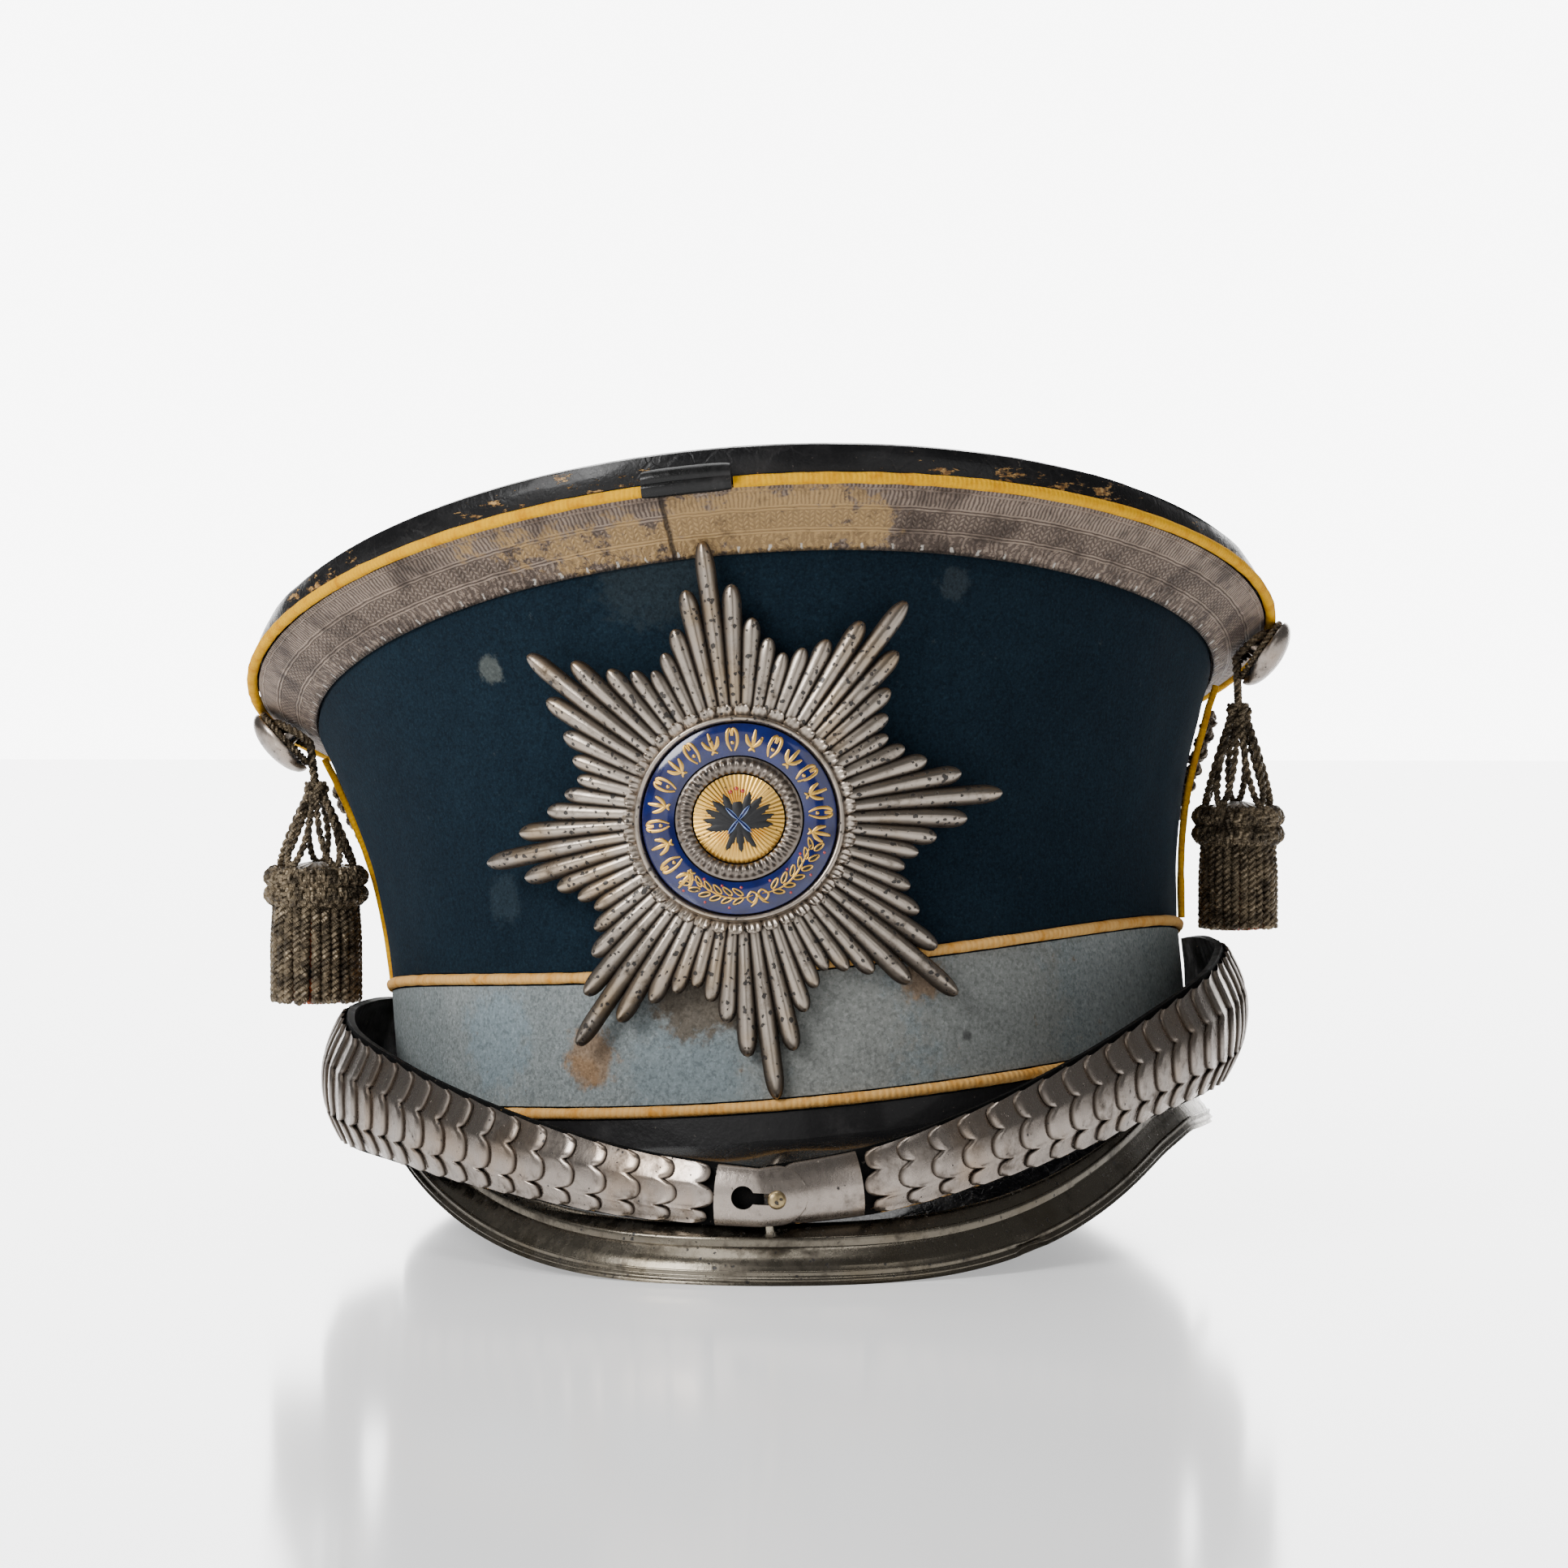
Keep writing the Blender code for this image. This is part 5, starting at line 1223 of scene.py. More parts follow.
@dataclass
class Visor:
    """The patent leather visor and the ridged metal binding round its edge."""

    shape: HatShape
    reach: float = 0.0470
    side_reach: float = 0.0011
    sideways: float = -0.0024
    end_angle: float = 80.0
    thick: float = 0.0021
    bulge: float = 0.0052
    end_lift: float = 0.0258
    flat_share: float = 0.14
    level_share: float = 0.95
    least_out: float = 0.0050
    seats: tuple[float, float, float] = (0.10, 0.66, 0.12)
    flange: float = 0.0092
    under: float = 0.0040
    metal: float = 0.0009
    room: float = 0.0006
    foot: float = 0.0020
    nose_tall: float = 0.0032

    def seat(self, angle: float) -> Vector:
        """Where the visor's top meets the leather strip, a clearance outside it.

        Args:
            angle: degrees from the front, positive to the right.

        Returns:
            The point.
        """
        turn = min(1.0, abs(angle) / self.end_angle)
        end = self.seats[1] if angle < 0 else self.seats[2]
        share = between(self.seats[0], end, turn ** 3)
        out = self.shape.normal(Stage.BASE, share, angle)
        level = Vector((out.x, out.y, 0)).normalized()
        return self.shape.surface(Stage.BASE, share, angle) + level * (GAP + 0.0001)

    def rim(self, angle: float) -> tuple[Vector, Vector]:
        """The binding's lowest outer edge, and the level direction out of it.

        Args:
            angle: degrees from the front, positive to the right.

        Returns:
            The edge and the direction.
        """
        across, along = sin(radians(angle)), cos(radians(angle))
        wide = self.shape.half_width + self.side_reach
        deep = self.shape.half_depth + self.reach
        rise = max(0.0, min(abs(across), self.level_share) - self.flat_share)
        lift = self.end_lift * (rise / (1 - self.flat_share)) ** 3
        point = Vector((self.sideways + wide * across, -deep * along, lift)) + self.shape.shift
        out = Vector((across / wide, -along / deep, 0)).normalized()
        away = (point - self.seat(angle)).dot(out)
        eased = (away + self.least_out) / 2 + hypot((away - self.least_out) / 2, 0.0006)
        return point + out * (eased - away), out

    def edge(self, angle: float) -> tuple[Vector, Vector, float]:
        """The leather's edge, its seat and the width between them.

        Args:
            angle: degrees from the front, positive to the right.

        Returns:
            The edge, the seat and the width.
        """
        rim, out = self.rim(angle)
        edge = rim - out * (self.foot + 0.0004) + UP * self.nose_tall
        seat = self.seat(angle)
        return edge, seat, (edge - seat).length

    def point(self, angle: float, inward: float, lift: float = 0.0) -> Vector:
        """A point of the visor's top, a length in from its edge, lifted off the face.

        Args:
            angle: degrees from the front, positive to the right.
            inward: the length in from the edge.
            lift: the height off the surface.

        Returns:
            The point.
        """
        edge, seat, width = self.edge(angle)
        bulge = self.bulge * min(1.0, width / self.reach)

        def face(share: float) -> Vector:
            """A point of the bulging face between the edge and the seat."""
            return edge.lerp(seat, share) + UP * bulge * 4 * share * (1 - share)

        share = min(1.0, inward / width)
        slope = (face(min(1.0, share + 0.02)) - face(share - 0.02)).normalized()
        normal = UP if share > 0.999 else (UP - slope * slope.z).normalized()
        return face(share) + normal * lift

    def build(self) -> None:
        """Makes the visor and its binding."""
        angles = steps(-self.end_angle, self.end_angle, 128)
        leather, binding = [], []
        for angle in angles:
            width = self.edge(angle)[2]
            grip = min(self.flange, width * 0.72)
            top = []
            for inward in steps(0, width, 20):
                point = self.point(angle, inward)
                top.append(point + UP * (waver(point, 0.011, 0.0004) * smooth(inward / 0.01)))
            below = [self.point(angle, inward, -self.thick)
                     for inward in reversed(steps(0, width, 8))]
            leather.append(top + below)
            binding.append(self.binding_row(angle, width, grip))
        shell = Shell().grid(leather, around=True, cap=True)
        place_piece("visor_leather", shell, PATENT, "visor")
        shell = Shell().grid(binding, around=True, cap=True)
        place_piece("visor_binding_metal", shell, BINDING_METAL, "visor_binding", sharp=50)

    def binding_row(self, angle: float, width: float, grip: float) -> list[Vector]:
        """One section of the binding: a flat flange, a round bead, and three ridges at the nose.

        Args:
            angle: degrees from the front, positive to the right.
            width: its width.
            grip: how far the flange reaches in.

        Returns:
            The points of the section.
        """
        rim, out = self.rim(angle)
        under = min(self.under, width * 0.45)
        low, high = self.room, self.room + self.metal
        dent = -0.0012 * max(0.0, 1 - ((angle - 36.0) / 2.2) ** 2)
        row = [self.point(angle, grip, low)]
        for share in steps(1.0, 0.62, 6):
            row.append(self.point(angle, grip * share, high * (0.85 if share == 1.0 else 1.0)))
        for share in steps(0.0, 1.0, 10):
            inward = grip * between(0.60, 0.38, share)
            row.append(self.point(angle, inward, high + 0.0013 * sin(pi * share)))
        for share in steps(0.34, 0.08, 5):
            row.append(self.point(angle, grip * share, high + 0.0001))
        start = self.point(angle, 0.0004, high + 0.0003)
        for share in steps(0.05, 0.95, 22):
            turn = share * pi * 0.60
            nose = rim - out * 0.0010 + UP * self.nose_tall * 0.5
            ridge = 0.00028 * cos(share * tau * 3) + dent * sin(pi * share)
            reach, tall = 0.0013 + ridge, self.nose_tall * 0.52 + ridge
            point = nose + out * reach * sin(turn) + UP * tall * cos(turn * 1.45)
            row.append(point if share > 0.1 else start.lerp(point, 0.7))
        row += [rim.copy(), rim - out * self.foot]
        base = -self.thick
        row += [self.point(angle, under, base - high), self.point(angle, under, base - low),
                self.point(angle, 0.0, base - low) + out * low * 0.8,
                self.point(angle, 0.0, low) + out * low * 0.8, self.point(angle, grip / 2, low)]
        for point in row:
            point.z = max(point.z, 0.0)
        return row


# Star

@dataclass
class Star:
    """The breast star: rays, rosette, enamel ring with gold ornament, crimped ring and disc."""

    shape: HatShape
    height: float = 0.0642
    sideways: float = -0.0027
    bend_radius: float = 0.088
    lean: float = radians(-3.0)
    low_stand_off: float = 0.0009
    top_stand_off: float = 0.0042
    ray_count: int = 64
    rays_per_point: int = 8
    ray_long: float = 0.0580
    ray_shares: tuple[float, ...] = (1.0, 0.84, 0.72, 0.655, 0.615)
    ray_half_width: float = 0.00198
    ray_relief: float = 0.0013
    ray_edge: float = 0.0006
    tip_long: float = 0.0044
    point_tip_more: float = 0.0018
    hub_relief: float = 0.0007
    rosette_radius: float = 0.0237
    leaf_count: int = 40
    leaf_notch: float = 0.0016
    enamel_radius: float = 0.0196
    inner_radius: float = 0.0127
    disc_radius: float = 0.0091
    crimps: int = 48
    motif_count: int = 17
    line_tall: float = 0.00014

    def __post_init__(self) -> None:
        """Finds the star's middle and its upward direction."""
        low_out = self.shape.half_depth + self.low_stand_off
        high_out = self.shape.rings[3].half_depth + self.top_stand_off
        self.up = Vector((0, low_out - high_out, 2 * self.ray_long)).normalized()
        self.centre = Vector((self.sideways, -(low_out + high_out) / 2, self.height))

    @property
    def floor(self) -> float:
        """How far the medallion's back lies off the star's back."""
        return self.ray_edge + self.hub_relief + GAP + 0.0001

    def at(self, radius: float, turn: float, lift: float) -> Vector:
        """A point at a radius and a turn clockwise from the top, lifted off the star's back.

        Args:
            radius: the distance from the star's middle.
            turn: the turn clockwise from the top.
            lift: the height off the star's back.

        Returns:
            The point.
        """
        turn += self.lean
        right, up = radius * sin(turn), radius * cos(turn)
        bend, reach = right / self.bend_radius, self.bend_radius + lift
        level = Vector((reach * sin(bend), self.bend_radius - reach * cos(bend), 0))
        return self.shape.pose @ (self.centre + level + self.up * up)

    def build(self) -> None:
        """Makes every layer of the star."""
        self.rays()
        self.rosette()
        self.enamel()
        self.ornament()
        self.crimped_ring()
        self.disc()
        self.motif()

    def rays(self) -> None:
        """The rays: half-round spindles that taper to round tips."""
        shell, pitch, hub = Shell(), tau / self.ray_count, self.rosette_radius - 0.0016
        for index in range(self.ray_count):
            step = index % self.rays_per_point
            share = self.ray_shares[min(step, self.rays_per_point - step)]
            wander = noise.noise(Vector((index * 1.7, 0.3, 0))) * 0.5
            long = self.ray_long * share * (1 + 0.012 * wander * (share < 1))
            turn = index * pitch
            taper_from = long - (self.tip_long + self.point_tip_more * (share > 0.95))
            rows, depths = [], steps(-1, 1, 10)
            for place in steps(0, 1, 26):
                radius = between(hub, long, 1 - (1 - place) ** 1.35)
                taper = max(0.0, (radius - taper_from) / (long - taper_from))
                width = min(pitch * radius / 2 * 1.02, self.ray_half_width)
                width *= max(0.0, 1 - taper ** 2.2) ** 0.46 + 0.02
                relief = between(self.hub_relief, self.ray_relief, smooth((radius - hub) / 0.01))
                relief *= (width / self.ray_half_width) ** 0.7 * (1 + 0.25 * (share > 0.8))
                row = []
                for across in depths:
                    arch = sqrt(max(0.0, 1 - across * across))
                    lift = self.ray_edge + relief * (0.35 * arch + 0.65 * (1 - abs(across) ** 1.6))
                    row.append(self.at(radius, turn + across * width / radius, lift))
                rows.append([self.at(radius, turn - width / radius, 0.0)] + row
                            + [self.at(radius, turn + width / radius, 0.0)])
            # V falls to 0 at each ray's feet, so the silver paints shade and tarnish in the valleys
            # between rays.
            vs = [0.0] + [1 - abs(across) for across in depths] + [0.0]
            shell.grid(rows, us=steps(0, long, 26), vs=vs)
        # The back between the rays' roots has V of 0, so it is painted in full shade and tarnish.
        back = [[self.at(radius, index * pitch / 2, 0.0002) for radius in
                 (0.002, self.rosette_radius, self.ray_long * 0.5)]
                for index in range(self.ray_count * 2)]
        shell.grid(back, loop=True, vs=[0.0, 0.0, 0.0])
        place_piece("star_rays_silver", shell, SILVER, "star_rays", sharp=55)

    def dished(self, name: str, finish: Finish, node: str, count: int, radii: Sequence[float],
               lift: Callable[[float, float], float],
               edge: Callable[[float, float], float] | None = None, sharp: float = 50.0) -> None:
        """A ring or disc of the medallion.

        Args:
            name: the piece's name.
            finish: its finish.
            node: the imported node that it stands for.
            count: how many sections go round it.
            radii: its radii, from the outside in.
            lift: the height off the star's back at a radius and a turn.
            edge: the true radius at a radius and a turn, where it isn't round.
            sharp: the angle above which an edge is sharp.
        """
        rows = []
        for index in range(count):
            turn = tau * index / count
            real = [edge(radius, turn) if edge else radius for radius in radii]
            row = [self.at(real[0], turn, self.floor)]
            row += [self.at(value, turn, self.floor + lift(radius, turn))
                    for value, radius in zip(real, radii)]
            if radii[-1] > 0.0005:
                row.append(self.at(real[-1], turn, self.floor))
            rows.append(row)
        high = max(lift(radius, 0.0) for radius in radii) or 1.0
        # V follows the height, so where the finish darkens hollows the low parts and feet get painted
        # shade and tarnish.
        vs = [0.0] + [lift(radius, 0.0) / high for radius in radii]
        vs += [0.0] if radii[-1] > 0.0005 else []
        shell = Shell().grid(rows, loop=True, vs=vs)
        place_piece(name, shell, finish, node, sharp=sharp)

    def rosette(self) -> None:
        """The ring of fan leaves and, inside it, the plain polished rim."""
        inner, outer = self.enamel_radius + GAP, self.rosette_radius
        leaf_in = inner + 0.0013

        def leaf(turn: float) -> float:
            """The place across a leaf, from -1 to 1."""
            return (turn / tau * self.leaf_count + 0.5) % 1.0 * 2 - 1

        def edge(radius: float, turn: float) -> float:
            """The radius drawn in between the leaves' round tips."""
            share = max(0.0, (radius - leaf_in) / (outer - leaf_in))
            round_tip = 1 - sqrt(max(0.0, 1 - min(1.0, abs(leaf(turn))) ** 2.2))
            return radius - share * self.leaf_notch * round_tip

        def lift(radius: float, turn: float) -> float:
            """The height: a round rim, then fluted leaves."""
            if radius < leaf_in:
                rim = (radius - inner) / (leaf_in - inner) * 2 - 1
                return 0.0012 + 0.0008 * sqrt(max(0.0, 1 - rim * rim))
            share = (radius - leaf_in) / (outer - leaf_in)
            flutes = 0.5 + 0.5 * cos(leaf(turn) * pi * 3.0)
            gap = 1 - abs(leaf(turn)) ** 6
            body = 0.0006 + 0.0008 * share * (1 - 0.6 * share ** 6)
            return body + 0.00060 * flutes * share * gap + 0.0006 * gap - 0.0006

        radii = steps(outer, leaf_in + 0.00001, 9) + steps(leaf_in - 0.00001, inner, 7)
        self.dished("rosette_silver", SMOOTH_SILVER, "star_rosette", self.leaf_count * 14, radii,
                    lift, edge)

    def enamel_lift(self, radius: float) -> float:
        """The height of the domed enamel ring.

        Args:
            radius: the distance from the star's middle.

        Returns:
            The height off the medallion's back.
        """
        inner = self.inner_radius + GAP
        share = (radius - inner) / (self.enamel_radius - inner) * 2 - 1
        return 0.0011 + 0.0007 * (1 - share ** 2)

    def enamel(self) -> None:
        """The domed ring of blue enamel."""
        radii = steps(self.enamel_radius, self.inner_radius + GAP, 14)
        self.dished("enamel_ring_blue", BLUE_ENAMEL, "enamel_ring", 160, radii,
                    lambda radius, turn: self.enamel_lift(radius))

    def ribbon(self, shell: Shell, places: Sequence[tuple[float, float]], width: float,
               closed: bool = False) -> None:
        """Adds a raised line over the enamel, through places of radius and turn.

        Args:
            shell: the shell that it is added to.
            places: the radius and turn of each point.
            width: its width.
            closed: whether its end joins its start.
        """
        path = [self.at(radius, turn, self.floor + self.enamel_lift(radius) + 0.00004)
                for radius, turn in places]
        path = resampled(path, 0.00018, closed)
        out = (self.at(self.enamel_radius, 0, 0.001) - self.at(self.enamel_radius, 0, 0)).normalized()
        rows, last = [], len(path) - 1
        for index, point in enumerate(path):
            ahead = path[(index + 1) % len(path)] if closed else path[min(last, index + 1)]
            behind = path[index - 1] if closed else path[max(0, index - 1)]
            side = (ahead - behind).cross(out).normalized()
            half = width / 2
            if not closed:
                half *= 0.35 + 0.65 * sin(pi * min(1.0, index / last * 0.9 + 0.05))
            rows.append([point + side * half * cos(turn) + out * self.line_tall * sin(turn)
                         for turn in steps(0, pi, 5)])
        shell.grid(rows, loop=closed)

    def leaf_at(self, gold: Shell, dark: Shell, radius: float, turn: float, aim: float,
                long: float, wide: float) -> None:
        """Adds a pointed leaf: a gold outline round a dark inside.

        Args:
            gold: the shell of the outline.
            dark: the shell of the inside.
            radius: the distance from the star's middle.
            turn: the turn clockwise from the top.
            aim: the direction that it points in.
            long: its length.
            wide: its width.
        """
        outline = []
        for index in range(16):
            share = index / 16
            along = 0.5 - 0.5 * cos(tau * share)
            across = sin(tau * share) * (1 - 0.25 * along)
            x = along * long * sin(aim) + across * wide / 2 * cos(aim)
            y = along * long * cos(aim) - across * wide / 2 * sin(aim)
            outline.append((radius + y, turn + x / (radius + y)))
        self.ribbon(gold, outline, 0.00036, closed=True)
        rows = [[self.at(between(radius + long / 2 * cos(aim), r, share),
                         between(turn + long / 2 * sin(aim) / radius, t, share),
                         self.floor + self.enamel_lift(r) + 0.00007)
                 for share in (0.02, 1.0)] for r, t in outline]
        dark.grid(rows, loop=True)

    def bead(self, shell: Shell, radius: float, turn: float, size: float,
             lift: float | None = None) -> None:
        """Adds a small round bead.

        Args:
            shell: the shell that it is added to.
            radius: the distance from the star's middle.
            turn: the turn clockwise from the top.
            size: its size.
            lift: its height, or None on the enamel.
        """
        base = self.floor + (self.enamel_lift(radius) if lift is None else lift)
        centre, out = self.at(radius, turn, base), self.at(radius, turn, base + 0.001)
        out = (out - centre).normalized()
        side = out.cross(UP).normalized()
        up = side.cross(out)
        rows = [[centre + (side * cos(k) + up * sin(k)) * size * cos(tilt)
                 + out * size * 0.6 * sin(tilt) for k in steps(0, tau, 10)[:-1]]
                for tilt in steps(0, pi / 2 * 0.98, 4)]
        shell.grid(rows, around=True)

    def ornament(self) -> None:
        """A scroll of leaves over the ring, and two laurel branches with a bow below it."""
        gold, dark, berries = Shell(), Shell(), Shell()
        middle = (self.enamel_radius + self.inner_radius) / 2 + 0.0001
        for index, turn in enumerate(steps(radians(-132), radians(108), self.motif_count - 1)):
            if index % 2:
                for side in (-1, 1):
                    curl = [(middle - 0.0023, turn + side * 0.020),
                            (middle - 0.0005, turn + side * 0.062),
                            (middle + 0.0015, turn + side * 0.052),
                            (middle + 0.0022, turn + side * 0.016),
                            (middle + 0.0008, turn + side * 0.008)]
                    self.ribbon(gold, curl, 0.00072)
                self.bead(gold, middle - 0.0006, turn, 0.00042)
            else:
                for aim, long in ((0, 0.0029), (0.75, 0.0023), (-0.75, 0.0023)):
                    stem = [(middle - 0.0014, turn), (middle - 0.0014 + long * 0.6 * cos(aim),
                            turn + long * 0.7 * sin(aim) / middle),
                            (middle - 0.0006 + long * cos(aim),
                             turn + long * sin(aim) / middle)]
                    self.ribbon(gold, stem, 0.00086)
                self.ribbon(gold, [(middle - 0.0022, turn - 0.045), (middle - 0.0017, turn),
                                   (middle - 0.0022, turn + 0.045)], 0.00064)
        bow = radians(174)
        for side in (-1, 1):
            far = radians(56) if side < 0 else radians(52)
            stem = [(middle - 0.0004 + 0.0006 * sin(share * 5), bow + side * far * share)
                    for share in steps(0.06, 1.0, 8)]
            self.ribbon(gold, stem, 0.00044)
            for index, share in enumerate(steps(0.20, 0.95, 5)):
                turn = bow + side * far * share
                for hand in (-1, 1):
                    aim = side * (pi / 2 - hand * 0.55) if hand > 0 else side * (pi / 2 + 0.6)
                    self.leaf_at(gold, dark, middle - 0.0002 + hand * 0.0003, turn, aim,
                                 0.0023, 0.00095)
                    if index % 2 == (hand > 0):
                        self.bead(berries, middle + hand * 0.0021, turn + side * 0.02, 0.00030)
            loop = [(middle - 0.0002, bow + side * 0.01), (middle + 0.0012, bow + side * 0.07),
                    (middle + 0.0002, bow + side * 0.13), (middle - 0.0010, bow + side * 0.07)]
            self.ribbon(gold, loop, 0.00045, closed=True)
            self.ribbon(gold, [(middle, bow), (middle + 0.0013, bow + side * 0.045),
                               (middle + 0.0020, bow + side * 0.10)], 0.00050)
        self.bead(gold, middle, bow, 0.00055)
        place_piece("ring_ornament", gold, GILT)
        place_piece("leaf_insides", dark, BLACK_ENAMEL)
        place_piece("berries", berries, RED_ENAMEL)

    def crimped_ring(self) -> None:
        """The ring between the enamel and the disc, crimped like a pie's edge."""
        inner, outer = self.disc_radius + GAP, self.inner_radius

        def lift(radius: float, turn: float) -> float:
            """The height: a roll that is crimped across."""
            share = (radius - inner) / (outer - inner)
            wave = 0.5 + 0.5 * cos(turn * self.crimps)
            return 0.0013 + 0.0010 * sin(pi * min(1.0, share * 1.1)) * (0.55 + 0.45 * wave)

        self.dished("crimped_ring", DARK_SILVER, "inner_ring", self.crimps * 8,
                    steps(outer, inner, 10), lift)

    def disc_lift(self, radius: float) -> float:
        """The height of the domed disc."""
        return 0.0011 + 0.0008 * (1 - (radius / self.disc_radius) ** 2)

    def disc(self) -> None:
        """The gilt disc with its fine sunburst."""
        def lift(radius: float, turn: float) -> float:
            """The height: a dome with fine rays cut in it."""
            cut = 0.00020 * abs(sin(turn * 30)) * min(1.0, radius / 0.004)
            return self.disc_lift(radius) + cut

        self.dished("sunburst_disc", GILT, "centre_disc", 540, steps(self.disc_radius, 0.0001, 7),
                    lift, sharp=80)

    def blade(self, shell: Shell, foot: tuple[float, float], tip: tuple[float, float],
              wide: float, lift: float = 0.00025) -> None:
        """Adds a pointed blade on the disc between two points right and up of its middle.

        Args:
            shell: the shell that it is added to.
            foot: where it starts.
            tip: where it ends.
            wide: its width.
            lift: the height off the surface.
        """
        start, end = Vector((*foot, 0)), Vector((*tip, 0))
        side = Vector((end.y - start.y, start.x - end.x, 0)).normalized()
        rows = []
        for share in steps(0, 1, 8):
            half = wide / 2 * (sin(pi * min(1.0, share * 0.85 + 0.12)) ** 0.8 if share < 1 else 0.02)
            middle, row = start.lerp(end, share), []
            for across in (-1.0, -0.5, 0.0, 0.5, 1.0):
                point = middle + side * half * across
                radius = point.length
                row.append(self.at(radius, atan2(point.x, point.y) - self.lean,
                                   self.floor + self.disc_lift(radius) + 0.00012
                                   + lift * (1 - across ** 2)))
            rows.append(row)
        shell.grid(rows)

    def motif(self) -> None:
        """A plain motif: two sprays of dark leaves, a pale-edged blue saltire and berries."""
        dark, blue, pale, red = Shell(), Shell(), Shell(), Shell()
        for side in (-1, 1):
            for index, aim in enumerate((14, 36, 58, 80, 102)):
                turn = side * radians(aim)
                long = 0.0072 - 0.0003 * index
                self.blade(dark, (side * 0.0009, -0.0002 - 0.0003 * index),
                           (side * 0.0009 + long * sin(turn), long * cos(turn) * 0.85 - 0.0006),
                           0.0019)
            self.blade(dark, (0, -0.0012), (side * 0.0030, -0.0064), 0.0016)
        self.blade(dark, (0, -0.0005), (0, -0.0070), 0.0018)
        self.blade(dark, (0, 0.0034), (0, -0.0034), 0.0036, 0.0004)
        for shell, wide, lift in ((pale, 0.00120, 0.00055), (blue, 0.00075, 0.00070)):
            for side in (-1, 1):
                for end in (-1, 1):
                    self.blade(shell, (0, -0.0003), (side * end * 0.0024, end * 0.0028 - 0.0003),
                               wide, lift)
        for x, y in ((0, 0.0062), (-0.0012, 0.0056), (0.0012, 0.0056)):
            self.bead(red, hypot(x, y), atan2(x, y) - self.lean, 0.00042,
                      self.disc_lift(hypot(x, y)) + 0.0002)
        for name, shell, finish in (
                ("dark_sprays", dark, BLACK_ENAMEL), ("saltire_edge", pale, PALE_ENAMEL),
                ("saltire", blue, BLUE_ENAMEL), ("disc_berries", red, RED_ENAMEL)):
            place_piece(name, shell, finish, sharp=60)


# Chin strap

@dataclass(frozen=True)
class StrapFrame:
    """One station of the strap: its middle, directions, half width and bulge."""

    middle: Vector
    out: Vector
    up: Vector
    half_width: float
    bulge: float


